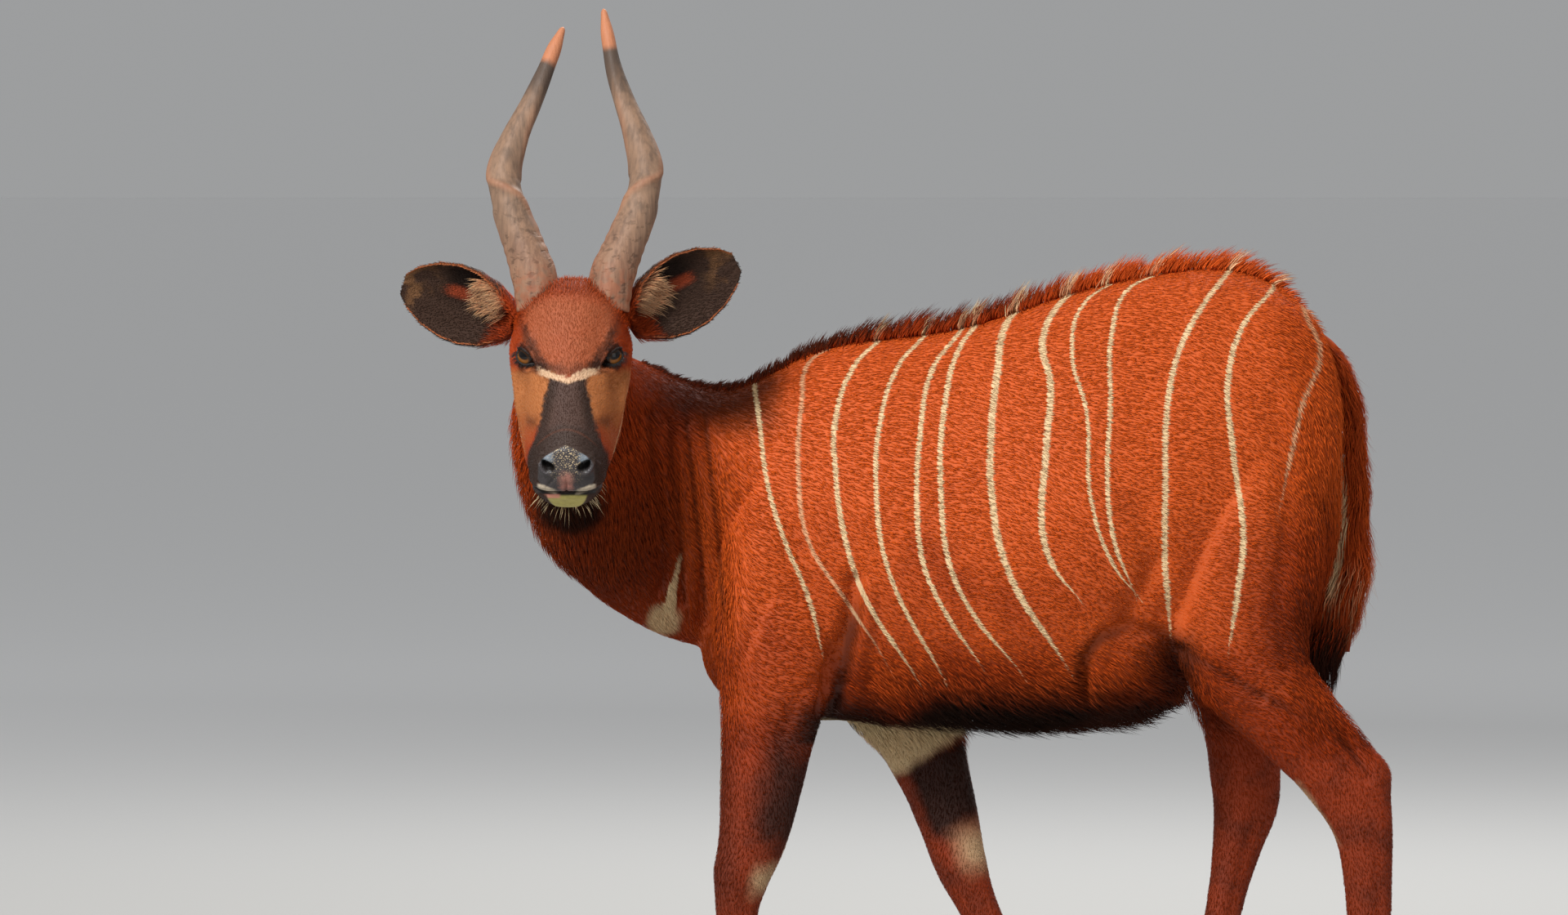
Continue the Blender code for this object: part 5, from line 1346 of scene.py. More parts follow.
def leg_markings(paint, place, colour, x, y, z, edge):
    """Black and cream patches on the legs, and dark feet with cream spots."""
    c = bpy.context.scene.bongo_colours
    low = z + edge * 0.9
    inner = (abs(y) + edge * 0.3).step(0.124, 0.110)
    fore = x.step(0.30, 0.26)
    far_back = (x - 0.006 - (0.52 - z) * 0.39) / 0.055
    near_back = (x + 0.197 + (0.477 - z) * 0.195) / 0.060
    right = y.step(-0.02, 0.02)
    back = near_back * (1 - right) + far_back * right + edge * 12.0
    black = (low - back * 0.024).band(0.340, 0.456, 0.018) * back.step(-0.75, -0.20) * inner
    rear = (low + back * 0.040).band(0.356, 0.520, 0.040) * back.step(-0.55, 0.45) * (1 - inner) * 0.92
    dark = black.most(rear) * fore
    pale = (low - back * 0.030).step(0.440, 0.462) * z.step(0.524, 0.508) * back.step(1.7, 1.3) * inner
    knee = (low - back * 0.014).band(0.282, 0.336, 0.024) * back.step(-0.30, 0.60) * inner
    rear_knee = low.band(0.266, 0.306, 0.018) * back.step(0.05, 0.50) * back.step(1.15, 0.75) * (1 - inner)
    cream = pale.most(knee * 0.62).most(rear_knee * 0.62) * fore
    hock = (x - 0.598 - (0.415 - z) * 0.62 + edge * 0.4).step(0.016, 0.002) * low.band(0.345, 0.425, 0.012)
    hock = hock * (1 - fore) * y.step(0.0, -0.02)
    shin = x.step(-0.218, -0.262) * low.band(0.24, 0.50, 0.04) * fore
    patchy = (paint.noise(place, 24.0, 3.0) - 0.45).most(0.0) * low.step(0.62, 0.50) * 1.6
    colour = paint.blend(colour, c.hide_dark, (shin * 0.45).most(patchy))
    colour = paint.blend(colour, c.hide_dark, dark.most(low.step(0.150, 0.118)) * 0.93)
    colour = paint.blend(colour, c.cream, cream.most(hock * 0.7) * 0.86)
    spots = low.band(0.062, 0.088, 0.006) * (abs(y) - 0.101).band(-0.040, 0.040, 0.004)
    toes = paint.noise(paint.joined(x, y, 0.0), 38.0, 0.0).step(0.50, 0.56)
    return paint.blend(colour, c.cream, spots * toes * 0.85)


def face_markings(paint, place, ragged, broken):
    """Brown forehead, cream chevron, black nose band, tan cheeks, and black round the eyes and chin; the
    black under the jaw is dark hair and painted shade.
    """
    c = bpy.context.scene.bongo_colours
    along, aside, above = (paint.dot(place, HEAD_ORIGIN, way) for way in (FORWARD, LEFTWARD, UPWARD))
    away = abs(aside)
    edge = (ragged - 0.5) * 0.009 + (broken - 0.5) * 0.010
    front = above.step(-0.030, -0.006)
    fall = (above * UPWARD[2] + along * FORWARD[2]) * -1.0
    colour = paint.blend(c.hide, c.hide_deep, 0.60 + broken * 0.6)
    brow = (away + edge).step(0.078, 0.055) * front * (fall + edge).step(0.036, 0.026)
    colour = paint.blend(colour, c.forehead, brow * (0.75 + broken * 0.4).least(1.0))
    crown = (along + edge).step(-0.035, -0.075) * front
    colour = paint.blend(colour, c.hide_deep, crown * 0.60)
    cheek = (away + edge).step(0.016, 0.024) * (fall + edge).step(0.012, 0.030)
    cheek = cheek * (above + edge).step(-0.078, -0.056)
    colour = paint.blend(colour, c.cheek, cheek * (along + edge).step(0.170, 0.130) * 0.95)
    lower = (fall + edge).step(0.072, 0.112) * (broken + 0.1).step(0.30, 0.62)
    colour = paint.blend(colour, c.hide_deep, cheek * lower * 0.60)
    corner = (fall + edge - 0.094).band(-0.007, 0.008, 0.008) * (away + edge).band(0.042, 0.064, 0.008)
    colour = paint.blend(colour, c.hide_dark, corner * front * 0.50)
    for side in (1, -1):
        round_eye = (paint.near(place, eye_front(side)) + edge).step(0.026, 0.015)
        colour = paint.blend(colour, c.hide_dark, round_eye * 0.88)
    smoke = abs(fall + 0.040 - (0.068 - away) * 1.65 + edge * 2.5).step(0.022, 0.002)
    smoke = smoke * away.band(0.032, 0.072, 0.010) * front * (0.45 + broken * 0.5)
    colour = paint.blend(colour, c.hide_dark, smoke.least(0.75))
    ridge = 0.0330 - away * 0.27
    arcs = (fall - ridge + edge * 1.6).band(-0.018, 0.000, 0.007) * (away + edge).step(0.062, 0.052) * front
    colour = paint.blend(colour, c.hide_dark, arcs * (0.30 + away * 13.0).least(0.88))
    half = 0.0285 + (fall - 0.042).most(0.0) * 0.24
    band = (half - away + edge).step(-0.003, 0.004) * (fall - ridge + edge * 0.6).step(0.002, 0.007) * front
    colour = paint.blend(colour, c.nose_band, band * 0.97)
    flank = band * (away - half + 0.014).step(-0.006, 0.008)
    colour = paint.blend(colour, c.hide_dark, flank * 0.55)
    muzzle = (along + edge).step(0.158, 0.176)
    colour = paint.blend(colour, c.nose_band, muzzle * 0.93)
    colour = paint.blend(colour, c.hide_dark, muzzle * (0.30 + away * 7.0).least(0.80))
    arc = abs(fall - 0.104 - away * away * 12.3 + edge * 0.2).step(0.0026, 0.0006)
    colour = paint.blend(colour, c.forehead, arc * away.step(0.050, 0.036) * front * 0.12)
    chevron = abs(fall - ridge - edge * 0.5) + edge * 0.70 + (broken - 0.5) * 0.006 + away * 0.060
    chevron = chevron.step(0.0088, 0.0040) * (away + edge).step(0.047, 0.036) * front
    chevron = chevron * (along + 0.02).step(0.0, 0.04)
    white = paint.blend(c.cream, c.chevron, 0.55)
    colour = paint.blend(colour, white, chevron * (0.62 + broken * 0.4).least(0.92))
    jaw = (above + edge * 0.4).band(-0.061, -0.055, 0.002) * along.band(0.02, 0.16, 0.02)
    colour = paint.blend(colour, c.cream, jaw * 0.55)
    # Black under the jaw: dark hair and painted shade.
    throat = (above + edge).step(-0.056, -0.072) * (along + edge).step(0.085, 0.125)
    return paint.blend(colour, c.hide_dark, throat * 0.95)


def coat_material():
    """Slivers of hair that take the colour of their root's place and differ from one to the next."""
    paint = Paint("bongo_coat", 0.62, 0.05)
    strand, tip = paint.marks("strand", "tip")
    colour = marked_coat(paint, paint.place())
    paint.set("Base Color", paint.shade(colour, 0.79 + tip * 0.16 + (strand - 0.5) * 0.15))
    paint.set("Roughness", 0.60 + strand * 0.2)
    return paint.material


def skin_material():
    """Skin between the tufts, in the coat's own colours, and bare on the nose, lips and lids."""
    c = bpy.context.scene.bongo_colours
    paint = Paint("bongo_skin", 0.70, 0.30)
    place = paint.place()
    bare, pad, mouth, hole = paint.marks("bare", "pad", "mouth", "hole")
    left = paint.dot(place, HEAD_ORIGIN, LEFTWARD)
    away, fall = abs(left), paint.dot(place, HEAD_ORIGIN, DOWN)
    fine = paint.noise(place, 420.0, 3.0, (0.25, 1.0, 1.0))
    coat = paint.shade(marked_coat(paint, place), 0.62 + fine * 0.35)
    broken = paint.noise(place, 130.0, 3.0)
    # Painted glints: specks of light reflected on the wet nose pad, drawn from fine noise.
    painted_glints = paint.noise(place, 620.0, 1.0).step(0.56, 0.66)
    hide = paint.blend(c.rim, c.nose_pad, pad * (0.35 + broken * 0.9))
    # Painted sheen of reflected light above the nostrils.
    blue = away.band(0.019, 0.036, 0.004) * fall.band(0.137, 0.150, 0.004) * pad
    hide = paint.blend(hide, c.nose_painted_sheen, blue * 0.75)
    rough = (broken - 0.5) * 0.014 + (paint.noise(place, 330.0) - 0.5) * 0.008
    pink = (away + rough).step(0.015, 0.003) * (fall + rough).band(0.168, 0.192, 0.008)
    hide = paint.blend(hide, c.pink, pink * pad * (0.10 + broken * 0.65))
    # The painted glints, pale on the nose pad.
    painted_glints = painted_glints * pad * fall.step(0.192, 0.140) * away.step(0.032, 0.010)
    hide = paint.blend(hide, c.cream, painted_glints * 0.60)
    upper = (fall - 0.1945 + (away - 0.0175) * 0.36 + rough * 0.2).band(-0.0045, 0.0035, 0.0020)
    upper = upper * (away + rough * 0.5).band(0.015, 0.043, 0.004) * (0.40 + broken * 0.6).least(1.0)
    hide = paint.blend(hide, c.upper_lip, upper * 0.85)
    chin = fall.step(0.197, 0.202) * oval(away, fall, *LIP_OVAL).step(1.02, 0.86)
    hide = paint.blend(hide, c.lip, chin * (0.65 + broken * 0.5).least(1.0))
    inside_lip = (left + 0.020).band(-0.012, 0.010, 0.003) * fall.band(0.1975, 0.2035, 0.001)
    hide = paint.blend(hide, c.pink, inside_lip * 0.85)
    hide = paint.blend(hide, c.rim, mouth.most(hole))
    paint.set("Base Color", paint.blend(coat, hide, bare))
    paint.set("Roughness", 0.72 - bare * 0.14 - bare * pad * 0.20)
    pebble = paint.node("ShaderNodeTexVoronoi", {"feature": "SMOOTH_F1"}, {"Vector": place, "Scale": 520.0})
    height = Value(paint, pebble.outputs["Distance"]) * bare + fine * (1 - bare) * 0.7
    paint.relief(height, 0.5, 0.0014)
    return paint.material


def horn_material():
    """Grey-brown horn, pinker below, with a dark band and a smooth tan tip."""
    c = bpy.context.scene.bongo_colours
    paint = Paint("bongo_horn", 0.5, 0.22)
    place = paint.place()
    run, keel = paint.marks("run", "keel")
    grain = paint.noise(place, 60.0, 4.0, (3.0, 3.0, 0.35))
    blotch = paint.noise(place, 26.0, 3.0)
    bark = paint.noise(place, 75.0, 4.0, (1.0, 1.0, 1.7)).step(0.54, 0.66) * run.step(0.62, 0.10)
    colour = paint.blend(c.horn, c.horn_dark, (grain * 0.7 + blotch * 0.5).step(0.45, 0.82) * 0.60)
    colour = paint.blend(colour, c.forehead, run.step(0.36, 0.05) * blotch * 0.30)
    colour = paint.blend(colour, c.rim, bark * 0.38)
    colour = paint.blend(colour, c.horn_tip, keel * run.step(0.78, 0.60) * (0.15 + grain * 0.3))
    colour = paint.blend(colour, c.horn_dark, (run + (blotch - 0.5) * 0.08).step(0.66, 0.84) * 0.90)
    smooth = (run + (blotch - 0.5) * 0.03).step(0.856, 0.884)
    colour = paint.blend(colour, c.horn_tip, smooth * (0.75 + grain * 0.3))
    root = paint.noise(place, 90.0, 3.0).step(0.40, 0.60) * run.step(0.16, 0.07)
    colour = paint.blend(colour, c.forehead, root * 0.35)
    paint.set("Base Color", paint.shade(colour, 0.86))
    paint.set("Roughness", 0.46 + grain * 0.26)
    paint.relief(grain + paint.noise(place, 300.0, 2.0, (1.0, 1.0, 0.2)) * 0.5 - bark * 0.6, 0.6, 0.0014)
    return paint.material


def hoof_material():
    """Worn black horn with growth rings, paler at the sole."""
    c = bpy.context.scene.bongo_colours
    paint = Paint("bongo_hoof", 0.5, 0.35)
    place = paint.place()
    _, _, z = paint.split(place)
    rings = paint.noise(place, 40.0, 2.0, (0.4, 0.4, 9.0))
    fibre = paint.noise(place, 260.0, 2.0, (1.0, 1.0, 0.12))
    colour = paint.blend(c.hoof, c.cheek, rings.step(0.50, 0.80) * 0.30)
    colour = paint.blend(colour, c.cream, z.step(0.008, 0.0) * 0.18)
    paint.set("Base Color", colour)
    paint.set("Roughness", 0.40 + fibre * 0.35)
    paint.relief(rings + fibre * 0.6, 0.6, 0.0015)
    return paint.material


def eye_material():
    """Wet dark eye with a level oval pupil, and amber in the lower half of the iris."""
    c = bpy.context.scene.bongo_colours
    paint = Paint("bongo_eye", 0.06, 0.25)
    gaze = paint.node("ShaderNodeAttribute", {"attribute_name": "gaze"}).outputs["Vector"]
    u, v, _ = paint.split(gaze)
    reach = (u * u + v * v) ** 0.5
    rays = paint.noise(gaze, 9.0, 3.0)
    pupil = ((u / 0.44) ** 2.0 + ((v + 0.06) / 0.22) ** 2.0).step(1.60, 0.70)
    shadow = (v * -1.0 + (rays - 0.5) * 0.3).step(-0.16, 0.16)
    colour = paint.blend(c.iris, c.rim, (0.10 + shadow * 0.8).least(0.90))
    colour = paint.blend(colour, c.rim, reach.step(0.50, 0.66) * 0.96)
    paint.set("Base Color", paint.blend(colour, c.pupil, pupil))
    return paint.material


def ear_material(name, lowest, highest):
    """Dark cup with painted shade in its hollow, blotches and a small red patch, a brown upper rim and an
    orange-brown root.
    """
    c = bpy.context.scene.bongo_colours
    paint = Paint(name, 0.75, 0.10)
    place = paint.place()
    inner, turn, run, strand = paint.marks("inner", "turn", "run", "strand")
    patch = paint.noise(place, 34.0, 3.0)
    # Blacker in the hollow of the cup: painted shade over the dark skin.
    inside = paint.blend(c.ear_dusk, c.rim, run.band(0.30, 0.64, 0.10) * turn.band(0.00, 0.78, 0.22) * 0.75)
    blotches = run.step(0.62, 0.82) * (patch + turn * 0.12).step(0.46, 0.62)
    inside = paint.blend(inside, c.ear_blotch, blotches * 0.55)
    red = run.band(0.42, 0.62, 0.05) * turn.band(0.02, 0.22, 0.06)
    inside = paint.blend(inside, c.ear_red, red * 0.6)
    upper_rim = (turn + (patch - 0.5) * 0.3).step(0.74, 0.94)
    inside = paint.blend(inside, c.ear_rim, upper_rim * 0.75)
    outside = paint.blend(c.hide_deep, c.ear_dusk, (patch + run * 0.6).step(0.35, 0.80))
    colour = paint.blend(outside, inside, inner)
    colour = paint.blend(colour, c.hide_deep, (run + (patch - 0.5) * 0.12).step(0.24, 0.08) * 0.9)
    colour = paint.blend(colour, c.rim, (turn * -1.0).step(0.90, 0.98) * 0.7)
    paint.set("Base Color", paint.shade(colour, lowest + strand * (highest - lowest)))
    paint.relief(paint.noise(place, 380.0, 3.0), 0.5, 0.0012)
    return paint.material


def plain_hair_material(name, root_shade, tip_shade, vary=0.35):
    """Hair of one kind, from a root colour to a tip colour."""
    paint = Paint(name, 0.6, 0.25, sheen=0.1)
    strand, tip = paint.marks("strand", "tip")
    colour = paint.blend(root_shade, tip_shade, tip)
    paint.set("Base Color", paint.shade(colour, 1 - vary / 2 + strand * vary))
    return paint.material


class Bench:
    """What one operator makes and a later one needs."""

    skin = None
    skin_points = None
    skin_normals = None
    skin_tree = None
    lids = []


class BONGO_OT_skin(bpy.types.Operator):
    """One skin over trunk, neck, head and legs, with its lids"""

    bl_idname = "bongo.skin"
    bl_label = "Make the skin"

    def execute(self, context):
        settings = context.scene.bongo_skin
        body = whole_body()
        mesh = body.data
        outer = read(mesh.vertices, "co")
        tree = tree_of(mesh, outer)
        share = region_shares(outer)
        depth = blend(settings.trunk_depth, settings.face_depth, np.maximum(share["head"], share["leg"]))
        bare = bare_skin(outer)
        put_points(mesh, outer - (depth * (1 - bare))[:, None] * read(mesh.vertices, "normal"))
        put_points(mesh, sunk_sockets(read(mesh.vertices, "co")))
        points = self.kept_inside(read(mesh.vertices, "co"))
        put_points(mesh, points)
        self.dress(mesh, points, bare)
        Bench.skin_points, Bench.skin_normals = points, read(mesh.vertices, "normal")
        Bench.skin_tree = tree_of(mesh, points)
        Bench.skin = body
        material = skin_material()
        nodes = ["torso", "neck", "head", "foreleg_left", "foreleg_right", "hindleg_left", "hindleg_right"]
        settled(body, material, nodes)
        self.lids(tree, material)
        return {"FINISHED"}

    def kept_inside(self, points):
        """Ends the legs in the hooves, draws the left hock back and keeps the muzzle in the solids' box."""
        points[:, 2] = np.maximum(points[:, 2], CORONET_HEIGHT * 0.55)
        away = np.hypot(points[:, 0] - HOCK_POINT[0], points[:, 2] - HOCK_POINT[1])
        points[:, 0] += HOCK_SWELL * bump(away, HOCK_REACH) * (points[:, 1] < 0)
        limit, soft = CAD_LOW[1] - MIDLINE_Y + 0.0008, 0.005
        over = limit + soft - points[:, 1]
        points[:, 1] = np.where(over > 0, limit + soft * np.exp(-over / soft), points[:, 1])
        return points

    def dress(self, mesh, points, bare):
        """Marks the places, the bare skin, the nose pad, the mouth line and the nostrils for the material."""
        along, _, above = head_coordinates(points)
        fall = HEAD_ORIGIN[2] - points[:, 2]
        hole = step_up(1.15 - nostril_share(points), 0.0, 0.30) * (along > 0.17)
        around = np.zeros(len(points))
        for side in (1, -1):
            _, _, w, share = eye_view(points, side)
            around = np.maximum(around, (1 - step_up(share, 1.5, 2.1)) * (w > 0))
        set_attribute(mesh, "place", points)
        set_attribute(mesh, "bare", np.clip(np.maximum.reduce([bare, around, hole]), 0, 1))
        set_attribute(mesh, "pad", (along > 0.16) * step_up(0.197 - fall, 0.0, 0.004))
        lips_meet = bump(above - mouth_height(along), 0.0024)
        set_attribute(mesh, "mouth", lips_meet * step_up(along, 0.145, 0.160))
        set_attribute(mesh, "hole", hole)

    def lids(self, tree, material):
        """A rim of skin round each eye that lies on the eyeball and runs out into the face."""
        thick = bpy.context.scene.bongo_skin.lid_thickness
        turns = np.linspace(0, 2 * math.pi, 72, endpoint=False)
        edge_u, edge_v = lid_edge(turns)
        upper, lower = step_up(np.sin(turns), 0.1, 0.6), step_up(-np.sin(turns), 0.1, 0.6)
        for side, word in SIDES:
            out, slit, across = eye_axes(side)
            centre = eye_place(side)
            top, under, bare = [], [], []
            for share in LID_ROWS:
                u, v = edge_u * share, edge_v * share
                grow = 0.0009 + (thick - 0.0009) * step_up(share, 1.0, 1.08)
                ball = np.sqrt(np.maximum((EYE_RADIUS + grow) ** 2 - u**2 - v**2, 0.0001**2))
                face = [self.face_height(tree, centre, out, slit, across, a, b) for a, b in zip(u, v)]
                face = np.array(face)
                mixed = blend(ball, face + 0.0004, step_up(share, 1.10, 1.90))
                mixed += upper * (0.0016 * bump(share - 1.22, 0.10) - 0.0016 * bump(share - 1.50, 0.10))
                mixed += lower * (0.0008 * bump(share - 1.20, 0.10) - 0.0010 * bump(share - 1.46, 0.12))
                mixed -= 0.0022 * step_up(share, 2.10, 2.40)
                behind = share < 1.0
                if behind:
                    mixed = ball - 0.0030
                ring = centre + u[:, None] * slit + v[:, None] * across + mixed[:, None] * out
                top.append(ring)
                under.append(ring - out * (0.0012 if behind else 0.0032))
                bare.append(np.full(len(turns), 1 - float(step_up(share, 1.18, 1.50))))
            self.lid_object(f"eyelids_{word}", top + under[::-1], bare + bare[::-1], material)

    def face_height(self, tree, centre, out, slit, across, u, v):
        """How far the face stands out over the middle of the eye at a point across the opening."""
        start = Vector(centre + u * slit + v * across + out * 0.08)
        hit = tree.ray_cast(start, Vector(-out))[0]
        return 0.08 - (start - hit).length if hit else 0.0

    def lid_object(self, name, rings, bare, material):
        points, bare = np.concatenate(rings), np.concatenate(bare)
        made = mesh_object(name, points, ring_faces(len(rings), len(rings[0]), closed=True))
        set_attribute(made.data, "place", points)
        set_attribute(made.data, "bare", bare)
        for mark in ("pad", "mouth", "hole"):
            set_attribute(made.data, mark, np.zeros(len(points)))
        Bench.lids.append((made.data, points, read(made.data.vertices, "normal"), bare))
        settled(made, material)


class BONGO_OT_eyes(bpy.types.Operator):
    """Two dark wet eyes with level oval pupils, and their lashes"""

    bl_idname = "bongo.eyes"
    bl_label = "Make the eyes"

    def execute(self, context):
        material = eye_material()
        turn = np.linspace(0, 2 * math.pi, 64, endpoint=False)
        for side, word in SIDES:
            out, slit, across = eye_axes(side)
            flat = np.cos(turn)[:, None] * slit + np.sin(turn)[:, None] * across
            rings = []
            for height in np.linspace(0.02, math.pi - 0.02, 44):
                reach = EYE_RADIUS * (1 + 0.035 * bump(height, 0.55))
                rings.append(eye_place(side) + reach * (math.sin(height) * flat + math.cos(height) * out))
            points, faces = bridge(rings)
            eye = mesh_object(f"eyeball_{word}", points, faces)
            offset = (np.array(points) - eye_place(side)) / EYE_RADIUS
            set_attribute(eye.data, "gaze", offset @ np.stack([slit, across, out], axis=1))
            settled(eye, material, [f"eye_{word}"])
        self.lashes(context)
        return {"FINISHED"}

    def lashes(self, context):
        """A fan of lashes along the upper lid of each eye, and fewer and shorter ones below."""
        draw = np.random.default_rng(SEEDS["lashes"])
        c = context.scene.bongo_colours
        paths, broad = [], []
        for side, _ in SIDES:
            out, slit, across = eye_axes(side)
            for upper, count, length in ((1, 90, 0.0095), (-1, 40, 0.0045)):
                edge_u, edge_v = lid_edge(upper * draw.uniform(0.35, 2.85, count))
                u, v = edge_u * 1.05, edge_v * 1.05
                w = np.sqrt((EYE_RADIUS + 0.0012) ** 2 - u**2 - v**2)
                root = eye_place(side) + u[:, None] * slit + v[:, None] * across + w[:, None] * out
                fan = (u / LID_HALF_LENGTH)[:, None] * slit * 0.45
                way = unit(out * 0.75 + across * 0.55 * upper + fan + draw.normal(0, 0.08, (count, 3)))
                size = (length * draw.uniform(0.7, 1.15, count))[:, None]
                paths.append(hair_paths(root, way, size, across * upper * size * 0.28))
                broad.append(np.tile(out, (count, 1)))
        paths = np.concatenate(paths)
        roots = paths[:, 0]
        hair_piece(
            "lashes", plain_hair_material("bongo_lash", c.rim, c.rim), paths, np.concatenate(broad),
            0.00055, 0.5, roots, laid_out(roots[:, 0], roots[:, 2]), draw)


class BONGO_OT_horns(bpy.types.Operator):
    """Two horns bent like a lyre, keeled, wrinkled near the root and smooth at the tip"""

    bl_idname = "bongo.horns"
    bl_label = "Make the horns"

    def execute(self, context):
        material = horn_material()
        turn = np.linspace(0, 2 * math.pi, 72, endpoint=False)
        for sign, word in SIDES:
            rows = through(HORNS[word], 220)
            path, radius = rows[:, :3], rows[:, 3]
            along = unit(np.gradient(path, axis=0))
            ahead = np.array([0.0, -1.0, 0.0])
            upward = unit(ahead - (along @ ahead)[:, None] * along)
            aside = np.cross(along, upward)
            rings, run, keels = [], [], []
            for i in range(len(rows)):
                share = i / (len(rows) - 1)
                wound = math.radians(np.interp(share, column(HORN_KEEL, 0), column(HORN_KEEL, 1)))
                off = np.cos((turn if sign < 0 else math.pi - turn) - wound)
                keel = np.exp(-(1 - off) * 7) + 0.8 * np.exp(-(1 + off) * 7)
                wrinkle = math.sin(share * 120 + 2.2 * math.sin(share * 31)) * (1 - share) ** 1.6
                wave = 0.016 * wrinkle * (0.6 + keel) + 0.006 * np.sin(9 * turn + share * 5) * (1 - share)
                dome = math.sqrt(max(1 - (max(share - 0.985, 0.0) / 0.0151) ** 2, 0.0))
                thick = radius[i] * (1 + 0.25 * bump(share - 0.93, 0.05)) * dome
                reach = thick * (0.95 + 0.17 * keel * (1 - step_up(share, 0.75, 0.95)) + wave)
                over = (reach * np.sin(turn))[:, None] * upward[i]
                rings.append(path[i] + (reach * np.cos(turn))[:, None] * aside[i] + over)
                run.append(np.full(len(turn), share))
                keels.append(np.clip(keel * 1.6 - 0.6, 0, 1))
            points, faces = bridge(rings)
            horn = mesh_object(f"horn_sheath_{word}", points, faces)
            set_attribute(horn.data, "run", np.concatenate(run + [[0.0, 1.0]]))
            set_attribute(horn.data, "keel", np.concatenate(keels + [[0.0, 0.0]]))
            set_attribute(horn.data, "place", np.array(points))
            settled(horn, material, [f"horn_{word}"])
        return {"FINISHED"}


def ear_section(share):
    """Half width, depth and wrap in radians of an ear's cup, by share of its length."""
    lengths = column(EAR_SECTIONS, 0)
    half, depth, wrap = (np.interp(share, lengths, column(EAR_SECTIONS, i)) for i in (1, 2, 3))
    return half, depth, np.radians(wrap)


